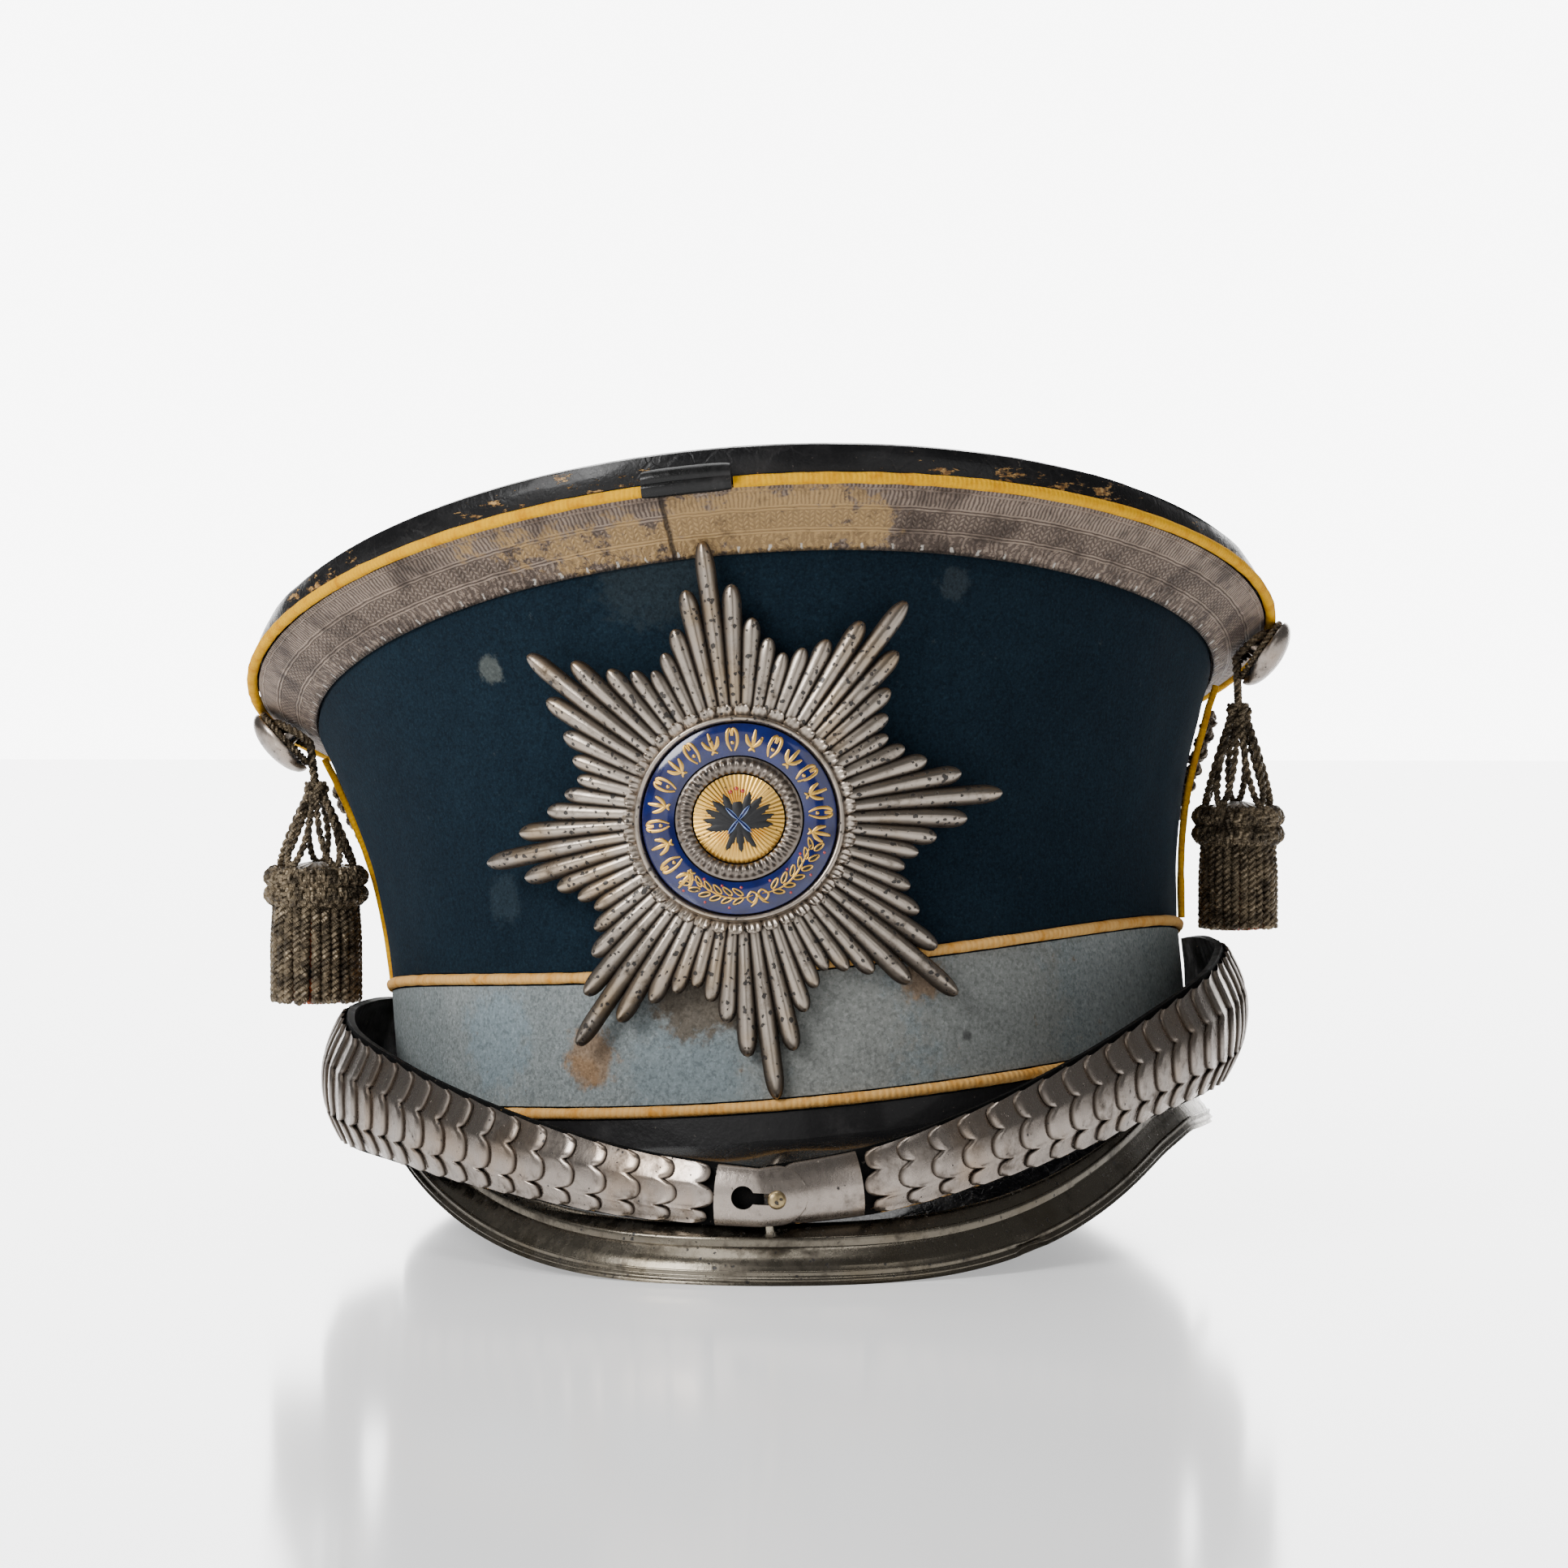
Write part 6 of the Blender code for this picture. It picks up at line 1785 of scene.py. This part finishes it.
@dataclass
class ChinStrap:
    """The leather strap with its overlapping scales, clasp and buttons."""

    shape: HatShape
    reach: float = 0.0434
    front_height: float = 0.0168
    half_width: float = 0.0135
    end_share: float = 0.55
    bulge_share: float = 0.33
    leather: float = 0.0013
    angles: tuple[float, ...] = (0.0, 10.0, 21.3, 32.8, 46.5, 59.5, 70.2, 77.2, 86.0, 94.1, 102.0)
    stand_offs: tuple[float, ...] = (1.0, 0.915, 0.775, 0.635, 0.515, 0.45, 0.36, 0.30, 0.185,
                                     0.098, 0.066)
    rises: tuple[float, ...] = (0.0, 0.10, 0.30, 0.50, 0.72, 0.87, 0.94, 0.98, 1.0, 1.0, 1.0)
    widths: tuple[float, ...] = (0.43, 0.49, 0.57, 0.67, 0.78, 0.91, 1.0, 1.0, 1.0, 0.96, 0.88)
    bulges: tuple[float, ...] = (1.0, 1.0, 1.0, 1.0, 1.0, 1.0, 1.0, 1.0, 0.8, 0.45, 0.25)
    scale_count: int = 25
    scale_metal: float = 0.0005
    clasp_long: float = 0.0175
    clasp_past: float = 0.0092
    tongue_start: float = 0.0023
    tongue_long: float = 0.0182
    clasp_metal: float = 0.0008
    keyhole_from_end: float = 0.0118
    keyhole_radius: float = 0.00235
    slot_long: float = 0.0082
    slot_wide: float = 0.0023
    stud_from_end: float = 0.0050
    lobe_long: float = 0.0040
    button_radius: float = 0.0060
    samples: int = 400

    def __post_init__(self) -> None:
        """Works out the stations of both halves."""
        self.half = {side: self.stations(side) for side in (-1, 1)}
        self.long = {side: table[1][-1] for side, table in self.half.items()}

    def raw(self, side: int, place: float) -> tuple[Vector, float, float]:
        """The middle, half width and bulge at a place in the list of stations.

        Args:
            side: -1 for the left and 1 for the right.
            place: the place in the list of stations.

        Returns:
            The middle, the half width and the bulge.
        """
        angle = side * through(self.angles, place)
        half_width = through(self.widths, place) * self.half_width
        base = self.shape.surface(Stage.BAND, self.end_share, angle)
        out = self.shape.normal(Stage.BAND, self.end_share, angle)
        level = Vector((out.x, out.y, 0)).normalized()
        end = self.shape.surface(Stage.BAND, self.end_share, side * self.angles[-1])
        point = base + level * through(self.stand_offs, place) * self.reach
        point.z = between(self.front_height, end.z, through(self.rises, place))
        bulge = through(self.bulges, place) * self.bulge_share * half_width
        return point, half_width, bulge

    def stations(self, side: int) -> tuple[list[StrapFrame], list[float]]:
        """One half's stations and the length up to each.

        Args:
            side: -1 for the left and 1 for the right.

        Returns:
            The stations and the lengths.
        """
        last = len(self.angles) - 1
        found = [self.raw(side, place) for place in steps(0, last, self.samples)]
        lengths = Shell.lengths([middle for middle, _, _ in found], False)
        table = []
        for index, (middle, half_width, bulge) in enumerate(found):
            ahead = found[min(self.samples, index + 3)][0]
            behind = found[index - 3][0] if index >= 3 else self.raw(-side, last * 0.0075)[0]
            run = (ahead - behind).normalized() * side
            out = run.cross(UP)
            out = Vector((out.x, out.y, 0)).normalized()
            up = out.cross(run).normalized()
            table.append(StrapFrame(middle, out, up if up.z > 0 else -up, half_width, bulge))
        return table, lengths

    def point(self, along: float, across: float, lift: float, width: float = 1.0) -> Vector:
        """A point of the strap: along it from the clasp, across it and off its back.

        Args:
            along: the length along the strap from its middle.
            across: the place across, from -1 to 1.
            lift: the height off the surface.
            width: the share of the strap's width that is used.

        Returns:
            The point.
        """
        side = -1 if along < 0 else 1
        table, lengths = self.half[side]
        want, low, high = min(abs(along), lengths[-1]), 0, len(lengths) - 1
        while high - low > 1:
            middle = (low + high) // 2
            low, high = (middle, high) if lengths[middle] <= want else (low, middle)
        near, far = table[low], table[high]
        share = (want - lengths[low]) / (lengths[high] - lengths[low])
        out, up = near.out.lerp(far.out, share), near.up.lerp(far.up, share)
        half = between(near.half_width, far.half_width, share) * width
        dip = between(near.bulge, far.bulge, share) * (across * width) ** 2
        return near.middle.lerp(far.middle, share) + up * across * half + out * (lift - dip)

    def build(self) -> None:
        """Makes the leather, the scales, the clasp and the buttons."""
        for name, side in (("left", -1), ("right", 1)):
            self.backing(name, side)
            self.scales(name, side)
        self.clasp()
        self.buttons()

    def backing(self, name: str, side: int) -> None:
        """The black leather under the scales, with a rounded welt along each edge.

        Args:
            name: the side's name.
            side: -1 for the left and 1 for the right.
        """
        start = self.tongue_start - (4 * GAP if side < 0 else 0.0)
        rows = []
        for along in steps(start, side * self.long[side], 170):
            front = []
            for across in steps(-1, 1, 12):
                welt = 0.0006 * max(0.0, (abs(across) - 0.90) / 0.10)
                front.append(self.point(along, across * 1.03, self.leather + welt - 0.0001))
            rows.append(front + [self.point(along, across, 0.0) for across in steps(1, -1, 4)])
        shell = Shell().grid(rows, around=True, cap=True)
        place_piece(f"strap_backing_{name}", shell, STRAP_BLACK, f"strap_leather_{name}")

    @staticmethod
    def lobes(across: float) -> float:
        """How far the free edge reaches at a place across: three round lobes with cusps between.

        Args:
            across: the place across, from -1 to 1.

        Returns:
            The share of the longest lobe, from 0 to 1.
        """
        reach = 0.0
        for low, high, deep in ((-1.0, -0.50, 0.62), (-0.50, 0.34, 1.0), (0.34, 1.0, 0.72)):
            if low <= across <= high:
                share = (across - low) / (high - low) * 2 - 1
                outer = abs(low) == 1.0 and share < 0 or high == 1.0 and share > 0
                reach = deep * sqrt(max(0.0, 1 - abs(share) ** (2.6 if outer else 2.2)))
        return reach

    def scales(self, name: str, side: int) -> None:
        """The scales of one half, each lying over the next one towards the clasp.

        Args:
            name: the side's name.
            side: -1 for the left and 1 for the right.
        """
        first = self.clasp_long - self.clasp_past + 2 * GAP if side < 0 else (
            self.tongue_start + self.tongue_long + 2 * GAP)
        last = self.long[side] - 2 * self.button_radius - 2 * GAP - 0.002
        pitch, shell = (last - first) / self.scale_count, Shell()
        across_steps = steps(-1, 1, 28)
        for index in range(self.scale_count):
            free = first + pitch * index
            long = min(free + pitch * 1.5, last) - free
            lobe = min(self.lobe_long, pitch * 0.55)
            tilt = waver(Vector((index * 3.1, side, 0)), 1.0, 0.0003)
            rows = []
            for place in steps(0, 1, 9):
                row = []
                for across in across_steps:
                    reach = lobe * (self.lobes(across) - 0.75) * (1 - place)
                    along = free + 0.0006 + long * place - reach
                    along = max(along, first - 0.0012 if index == 0 else 0.0)
                    rise = 0.0018 - 0.0014 * place + tilt * across
                    rise -= 0.0005 * max(0.0, 1 - place / 0.12) ** 2
                    ridge = 0.00022 * sin(pi * min(1.0, abs(across - 0.34) / 0.12))
                    ridge = -0.00022 + ridge if abs(across - 0.34) < 0.12 else 0.0
                    row.append(self.point(side * along, across * 0.985,
                                          self.leather + rise + ridge * (1 - place)))
                rows.append(row)
            out = self.point(side * free, 0, 1.0) - self.point(side * free, 0, 0)
            lip = [point - out * self.scale_metal * 0.9 for point in rows[0]]
            # V is low at the turned-down lip and where the neighbouring scale lies over this one:
            # painted shade there, with tarnish.
            vs = [0.0] + [min(1.0, 0.10 + place * 6) * (1.0 if place < 0.5 else 1.6 - place * 1.4)
                          for place in steps(0, 1, 9)]
            shell.grid([list(column) for column in zip(lip, *rows)], vs=vs)
        place_piece(f"scales_{name}_silver", shell, SCALE_SILVER, f"scales_{name}", sharp=55)

    def plate(self, first: float, last: float, lift: float, metal: float, rounded: bool) -> Shell:
        """A thin plate on the strap, round at its last end where it is asked for.

        Args:
            first: the length along the strap where it starts.
            last: the length along the strap where it ends.
            lift: the height off the surface.
            metal: its thickness.
            rounded: whether its last end is round.

        Returns:
            The plate's surface.
        """
        rows, half = [], self.half[1][0][0].half_width
        for share in steps(0, 1, 44):
            share = sin(share * pi / 2) if rounded else share
            tail = (1 - share) * abs(last - first)
            width = 1.0
            if rounded and tail < half:
                width = max(0.02, sqrt(max(0.0, 1 - (1 - tail / half) ** 2)))
            along = between(first, last, share)
            edges = steps(-1, 1, 14)
            front = [self.point(along, edge, lift + metal - 0.0001 * (abs(edge) > 0.99), width)
                     for edge in edges]
            back = [self.point(along, edge, lift, width) for edge in reversed(edges)]
            rows.append(front + back)
        # V is low along the plate's side edges, so they are drawn dark: a painted shade line that
        # marks the edge, with tarnish.
        vs = [0.1, *[0.9] * 13, 0.1, *[0.9] * 15, 0.1]
        return Shell().grid(rows, around=True, cap=True, vs=vs)

    def clasp(self) -> None:
        """The keyhole plate over the plain tongue, and the brass stud in its slot."""
        metal, lift, end = self.clasp_metal, self.leather + GAP, self.clasp_past
        tongue = self.plate(self.tongue_start + self.tongue_long, self.tongue_start, lift, metal,
                            True)
        place_piece("clasp_tongue_silver", tongue, SCALE_SILVER, "clasp_tongue")
        top = lift + metal + GAP
        keyed = self.plate(end - self.clasp_long, end, top, metal, True)
        plate = place_piece("keyhole_plate", keyed, SCALE_SILVER, "clasp_plate")
        hole = self.stand_on(end - self.keyhole_from_end, top)
        self.cut_keyhole(plate, hole)
        place = self.stand_on(end - self.stud_from_end, top - metal)
        out = place.col[2].to_3d()
        aside = hole @ Vector((self.keyhole_from_end - self.stud_from_end, 0, 0))
        aside -= place.translation
        place.translation += aside - out * aside.dot(out)
        profile = [(0.00005, 0.0030), (0.0009, 0.0029), (0.0015, 0.0026), (0.00185, 0.0021),
                   (0.00185, 0.0018), (0.0009, 0.0016), (0.0008, 0.0004)]
        self.turned("clasp_stud_brass", place, profile, BRASS, "clasp_stud")

    def cut_keyhole(self, plate: bpy.types.Object, hole: Matrix) -> None:
        """Cuts the round hole, and the slot that runs from it, through the plate.

        Args:
            plate: the plate that is cut.
            hole: the frame of the round hole.
        """
        deep, cutters = 0.008, []
        for name in ("round", "slot"):
            build = bmesh.new()
            if name == "round":
                bmesh.ops.create_cone(build, cap_ends=True, segments=48, depth=deep,
                                      radius1=self.keyhole_radius, radius2=self.keyhole_radius)
            else:
                bmesh.ops.create_cube(build, size=1.0)
                place = Matrix.Translation((self.slot_long / 2, 0, 0))
                place @= Matrix.Diagonal((self.slot_long, self.slot_wide, deep, 1.0))
                bmesh.ops.transform(build, matrix=place, verts=build.verts)
            bmesh.ops.transform(build, matrix=hole, verts=build.verts)
            mesh = bpy.data.meshes.new("cutter_" + name)
            build.to_mesh(mesh)
            build.free()
            cutters.append(add_object("cutter_" + name, mesh))
            cut = plate.modifiers.new(name, "BOOLEAN")
            cut.operation, cut.object = "DIFFERENCE", cutters[-1]
        view = bpy.context.evaluated_depsgraph_get()
        plate.data = bpy.data.meshes.new_from_object(plate.evaluated_get(view))
        plate.modifiers.clear()
        for cutter in cutters:
            bpy.data.objects.remove(cutter, do_unlink=True)

    def stand_on(self, along: float, lift: float) -> Matrix:
        """A frame on the strap: X along it and Z out of its face.

        Args:
            along: the length along the strap from its middle.
            lift: the height off its face.

        Returns:
            The frame.
        """
        centre = self.point(along, 0, lift)
        run = (self.point(along + 0.001, 0, lift) - self.point(along - 0.001, 0, lift))
        run.normalize()
        out = run.cross(UP).normalized()
        towards = self.point(along, 0, lift + 0.001) - centre
        out = out if out.dot(towards) > 0 else -out
        return Matrix.Translation(centre) @ Matrix((run, out.cross(run), out)).transposed().to_4x4()

    @staticmethod
    def turned(name: str, place: Matrix, profile: Sequence[tuple[float, float]], finish: Finish,
               node: str) -> None:
        """A piece turned from a profile of radius and height.

        Args:
            name: the piece's name.
            place: the frame that it stands on.
            profile: the radius and height of each point.
            finish: its finish.
            node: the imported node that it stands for.
        """
        rows = [[place @ Vector((radius * cos(turn), radius * sin(turn), height))
                 for radius, height in profile] for turn in steps(0, tau, 48)[:-1]]
        shell = Shell().grid(rows, loop=True, vs=[0.9] * len(profile))
        place_piece(name, shell, finish, node, sharp=60)

    def buttons(self) -> None:
        """A plain domed button with a raised rim over each end of the strap."""
        radius = self.button_radius
        profile = [(0.00005, 0.0028), (radius * 0.35, 0.0027), (radius * 0.65, 0.0021),
                   (radius * 0.82, 0.0012), (radius * 0.88, 0.0010), (radius * 0.94, 0.0013),
                   (radius, 0.0009), (radius * 0.98, 0.0004)]
        for name, side in (("left", -1), ("right", 1)):
            along = side * (self.long[side] - radius - 0.001)
            place = self.stand_on(along, self.leather + GAP)
            self.turned(f"strap_button_{name}_silver", place, profile, SCALE_SILVER,
                        f"strap_button_{name}")


# Bosses, tassels and braid

@dataclass(frozen=True)
class TasselPlan:
    """One side's boss and tassel: where they sit and how they hang."""

    name: str
    side: int
    lace_share: float
    tilt: float
    hang_out: float
    hang_back: float
    knot_drop: float
    collar_drop: float
    size: float


@dataclass
class Trimmings:
    """The domed bosses, the corded tassels and the plaited cord round the back."""

    shape: HatShape
    plans: tuple[TasselPlan, ...] = (
        TasselPlan("left", -1, 0.40, radians(38), -0.0052, 0.0, 0.0130, 0.0300, 1.0),
        TasselPlan("right", 1, 0.60, radians(40), -0.0030, 0.0020, 0.0150, 0.0360, 0.86),
    )
    boss_radius: float = 0.0084
    boss_tall: float = 0.0043
    boss_stand_off: float = 0.0042
    ring_radius: float = 0.0046
    cord_radius: float = 0.0010
    collar_radius: float = 0.0104
    collar_tall: float = 0.0088
    skirt_radius: float = 0.0094
    skirt_long: float = 0.0222
    skirt_cords: int = 26
    loop_count: int = 5
    crossings: int = 9
    braid_lift: float = 0.0028
    braid_pitch: float = 0.0130
    braid_angles: tuple[float, ...] = (99.0, 104.0, 114.0, 130.0, 155.0, 180.0)
    braid_heights: tuple[float, ...] = (0.90, 0.66, 0.42, 0.25, 0.17, 0.15)

    def build(self) -> None:
        """Makes both sides and the braid."""
        for plan in self.plans:
            self.boss(plan)
            self.tassel(plan)
        self.braid()

    def side_frame(self, plan: TasselPlan, out: Vector) -> Matrix:
        """A frame on the lace at a side, its Z along a direction out of the hat.

        Args:
            plan: the side's sizes.
            out: the direction out of the hat.

        Returns:
            The frame.
        """
        angle = plan.side * 90.0
        foot = self.shape.off(Stage.LACE, plan.lace_share, angle, GAP)
        up = out.cross(Vector((0, 1, 0))).normalized() * plan.side
        along = up.cross(out).normalized()
        return Matrix.Translation(foot) @ Matrix((along, up, out)).transposed().to_4x4()

    def boss(self, plan: TasselPlan) -> None:
        """The domed boss, its neck, and a twisted cord behind its edge.

        Args:
            plan: the side's sizes.
        """
        out = Vector((plan.side * cos(plan.tilt), 0, -sin(plan.tilt)))
        out = (self.shape.pose.to_3x3() @ out).normalized()
        place = self.side_frame(plan, out)
        rim, radius = self.boss_stand_off, self.boss_radius
        profile = [(0.00005, rim + self.boss_tall)]
        profile += [(radius * sin(turn), rim + 0.0004 + (self.boss_tall - 0.0004) * cos(turn))
                    for turn in steps(radians(8), radians(84), 10)]
        profile += [(radius, rim + 0.0004), (radius * 0.99, rim), (radius * 0.9, rim + 0.0001),
                    (0.0021, rim), (0.0021, 0.0012)]
        ChinStrap.turned(f"boss_{plan.name}_silver", place, profile, SCALE_SILVER,
                         f"boss_{plan.name}")
        shell = Shell()
        ring = [place @ point for point in circle(radius * 0.86, 24, rim - 0.0008)]
        rope(shell, ring, 0.0008, 0.0026, closed=True)
        name = f"boss_cord_{plan.name}"
        place_piece(name, shell, BULLION)

    def tassel(self, plan: TasselPlan) -> None:
        """The cords, the knot, the loops, the collar and the skirt of bullion.

        Args:
            plan: the side's sizes.
        """
        out = self.shape.normal(Stage.LACE, plan.lace_share, plan.side * 90)
        place = self.side_frame(plan, out)
        lift = 0.0011 + GAP
        start = place @ Vector((0, 0, lift))
        hang = start + Vector((plan.side * plan.hang_out, plan.hang_back, 0))
        knot, collar = hang - UP * plan.knot_drop, hang - UP * plan.collar_drop
        cords = Shell()
        ring = [place @ point for point in circle(self.ring_radius, 16, lift)]
        rope(cords, ring, self.cord_radius, 0.0030, closed=True)
        for hand in (-1, 1):
            apart = hand * self.cord_radius * 1.05
            top = place @ Vector((1.5 * apart, -self.ring_radius, lift))
            middle = top.lerp(knot, 0.5) + Vector((0, apart, 0))
            rope(cords, [top, middle, knot + Vector((0, apart * 0.5, 0.0008))], self.cord_radius,
                 0.0028)
        self.knot(cords, knot)
        self.loops(cords, knot, collar, plan.size)
        self.collar(cords, collar, plan.size)
        name = f"tassel_{plan.name}_cords"
        place_piece(name, cords, BULLION, f"tassel_{plan.name}")
        self.skirt(plan, collar - UP * self.collar_tall * 0.75)

    def knot(self, shell: Shell, centre: Vector) -> None:
        """A round knot of wound cord.

        Args:
            shell: the shell that it is added to.
            centre: its middle.
        """
        path = []
        for turn in steps(0, tau, 60)[:-1]:
            wide = 0.0017 + 0.0006 * cos(5 * turn)
            path.append(centre + Vector((wide * cos(2 * turn), wide * sin(2 * turn),
                                         0.0017 * sin(5 * turn))))
        rope(shell, path, 0.0009, 0.0026, closed=True)

    def loops(self, shell: Shell, knot: Vector, collar: Vector, size: float) -> None:
        """The loops of cord that spread from the knot to the collar.

        Args:
            shell: the shell that it is added to.
            knot: the middle of the knot.
            collar: the middle of the collar's top.
            size: its size.
        """
        drop = knot.z - collar.z
        for index in range(self.loop_count):
            turn = tau * index / self.loop_count + 0.35
            out = Vector((cos(turn), sin(turn), 0))
            side = Vector((-sin(turn), cos(turn), 0))
            path = []
            for share in steps(0, 1, 14):
                spread = sin(pi * share)
                fall = 0.5 - 0.5 * cos(tau * share)
                path.append(knot + out * (0.0014 + 0.0072 * size * fall) - UP * drop * 0.98 * fall
                            + side * 0.0026 * size * sin(tau * share) * (0.4 + spread * 0.6))
            rope(shell, path, 0.0009, 0.0028)

    def collar(self, shell: Shell, centre: Vector, size: float) -> None:
        """The plaited collar: strands that cross over and under round the head.

        Args:
            shell: the shell that it is added to.
            centre: its middle.
            size: its size.
        """
        for level in (0.28, 0.72):
            for strand in range(3):
                path = []
                for index in range(self.crossings * 8):
                    turn = tau * index / (self.crossings * 8)
                    phase = self.crossings * turn + tau * strand / 3
                    radius = self.collar_radius * size + 0.0007 * cos(2 * phase)
                    height = -self.collar_tall * level + 0.0017 * sin(phase)
                    path.append(centre + Vector((radius * cos(turn), radius * sin(turn), height)))
                rope(shell, path, 0.0011, 0.0026, closed=True)
        dome = [[centre + Vector((self.collar_radius * size * 0.97 * wide * cos(turn),
                                  self.collar_radius * size * 0.97 * wide * sin(turn),
                                  -self.collar_tall * drop))
                 for wide, drop in ((0.15, -0.12), (0.6, -0.02), (0.88, 0.10), (0.98, 0.4),
                                    (0.95, 0.95))] for turn in steps(0, tau, 32)[:-1]]
        shell.grid(dome, loop=True)

    def skirt(self, plan: TasselPlan, top: Vector) -> None:
        """The twisted bullion cords that hang from the collar, over dark and orange threads.

        Args:
            plan: the side's sizes.
            top: the middle of its top.
        """
        radius, long = self.skirt_radius * plan.size, self.skirt_long * plan.size
        long += self.collar_tall * 0.25
        cords = Shell()
        for index in range(self.skirt_cords):
            turn = tau * index / self.skirt_cords
            out = Vector((cos(turn), sin(turn), 0))
            sway = waver(Vector((index * 2.3, plan.side * 5, 0)), 1.0, 0.0012)
            end = long - 0.0006 + sway * 0.6
            path = [top + out * (radius * (0.94 + 0.06 * smooth(share * 2))) - UP * end * share
                    + Vector((-sin(turn), cos(turn), 0)) * sway * share
                    for share in steps(0, 1, 6)]
            rope(cords, path, 0.00125 * plan.size, 0.0027, phase=index * 1.9)
        name = f"tassel_{plan.name}_skirt"
        place_piece(name, cords, BULLION)
        inner = Shell()
        for index in range(40):
            turn, ring = index * 2.4, radius * sqrt((index + 0.5) / 40) * 0.86
            foot = top + Vector((ring * cos(turn), ring * sin(turn), 0)) - UP * long
            end = foot + UP * (0.0002 + 0.0007 * ((index * 7) % 5) / 5)
            rope(inner, [end + UP * 0.004, end + UP * 0.002, end], 0.0010, 0.0018)
        core = [[top + Vector((radius * 0.88 * cos(turn), radius * 0.88 * sin(turn), -drop))
                 for drop in (0.0, long - 0.0020)] for turn in steps(0, tau, 24)[:-1]]
        inner.grid(core, loop=True)
        name = f"tassel_{plan.name}_threads"
        place_piece(name, inner, INNER_THREAD)

    def braid(self) -> None:
        """The plaited cord that swags round the back."""
        last, rows = len(self.braid_angles) - 1, []
        for share in steps(0, 2, 120):
            place = last * (share if share <= 1 else 2 - share)
            angle = through(self.braid_angles, place)
            height = through(self.braid_heights, place)
            angle = angle if share > 1 else 360 - angle
            out = self.shape.normal(Stage.CLOTH, height, angle)
            rows.append((self.shape.off(Stage.CLOTH, height, angle, self.braid_lift), out))
        path = [point for point, _ in rows]
        lengths = Shell.lengths(path, False)
        shell = Shell()
        for strand in range(3):
            places = []
            for along in steps(0, lengths[-1] * 0.999, 420):
                index = next(k for k in range(len(path)) if lengths[k + 1] > along)
                share = (along - lengths[index]) / (lengths[index + 1] - lengths[index])
                centre = path[index].lerp(path[index + 1], share)
                out = rows[index][1]
                run = (path[index + 1] - path[index]).normalized()
                phase = tau * along / self.braid_pitch + tau * strand / 3
                places.append(centre + run.cross(out) * 0.0024 * sin(phase)
                              + out * 0.0009 * sin(2 * phase))
            rope(shell, places, 0.0011, 0.0030)
        place_piece("back_braid_cord", shell, BRAID_THREAD, "back_braid")


# Surroundings

@dataclass
class Studio:
    """The floor, the lights and the camera."""

    shape: HatShape
    distance: float = 1.200
    side: float = radians(2.0)
    eye: float = 0.130
    focal_pixels: float = 6600.0
    picture: int = 1932
    sensor: float = 36.0
    axis_right: float = 20.4
    axis_up: float = 194.5
    dark_side: float = 0.80
    bright_side: float = 0.965
    backdrop: float = 8.0
    front_room: float = 0.15
    floor_half: float = 4.0

    def build(self) -> None:
        """Makes the surroundings."""
        self.floor()
        self.lights()
        self.camera()

    def camera(self) -> None:
        """Stands the camera where the photograph was taken."""
        data = bpy.data.cameras.new("camera")
        data.sensor_width = self.sensor
        data.lens = self.focal_pixels / self.picture * self.sensor
        eye = add_object("camera", data)
        eye.location = self.shape.shift + Vector((self.distance * sin(self.side),
                                                  -self.distance * cos(self.side), self.eye))
        ahead = Vector((-sin(self.side), cos(self.side), 0))
        right = ahead.cross(UP)
        aim = ahead - right * self.axis_right / self.focal_pixels
        aim -= UP * self.axis_up / self.focal_pixels
        eye.rotation_euler = aim.to_track_quat("-Z", "Y").to_euler()
        data.clip_end = 50.0
        bpy.context.scene.camera = eye

    def floor(self) -> None:
        """A pale floor with a soft gloss."""
        mesh = bpy.data.meshes.new("floor")
        size = self.floor_half
        mesh.from_pydata([(-size, -size, 0), (size, -size, 0), (size, size, 0), (-size, size, 0)],
                         [], [(0, 1, 2, 3)])
        floor = add_object("floor", mesh)
        sheet = Sheet("pale_floor")
        sheet.finish(Base_Color=(0.93, 0.93, 0.935), Roughness=0.11,
                     Emission_Color=(1.0, 1.0, 1.0), Emission_Strength=0.45)
        mesh.materials.append(sheet.material)

    def lights(self) -> None:
        """Soft light from the left and above, a weaker one from the right, and a pale room."""
        for name, place, size, power in (
                ("key", (-0.80, -0.80, 0.75), 0.55, 16.0),
                ("fill", (1.0, -1.0, 0.45), 0.8, 2.4),
                ("top", (-0.1, 0.25, 1.1), 0.9, 12.0),
                ("front", (-0.50, -1.5, 0.15), 1.4, 6.0)):
            data = bpy.data.lights.new(name, "AREA")
            data.size, data.energy = size, power
            light = add_object(name, data)
            light.location = place
            light.rotation_euler = (Vector((0, 0, 0.08)) - Vector(place)).to_track_quat(
                "-Z", "Y").to_euler()
        world = bpy.data.worlds.new("room")
        world.use_nodes = True
        tree = world.node_tree
        room = Room(tree)
        depth = room.part(room.node("ShaderNodeTexCoord", output="Generated"), 1)
        strength = depth.ease(self.dark_side, self.bright_side) * self.backdrop + self.front_room
        room.feed(tree.nodes["Background"].inputs["Color"], (1.0, 1.0, 1.0))
        room.feed(tree.nodes["Background"].inputs["Strength"], strength)
        bpy.context.scene.world = world


def main() -> None:
    """Builds the scene, part by part."""
    logging.basicConfig(level=logging.INFO, format="%(name)s: %(message)s")
    shape = HatShape()
    Studio(shape).build()
    Crown(shape).build()
    Visor(shape).build()
    Star(shape).build()
    ChinStrap(shape).build()
    Trimmings(shape).build()


if __name__ == "__main__":
    main()
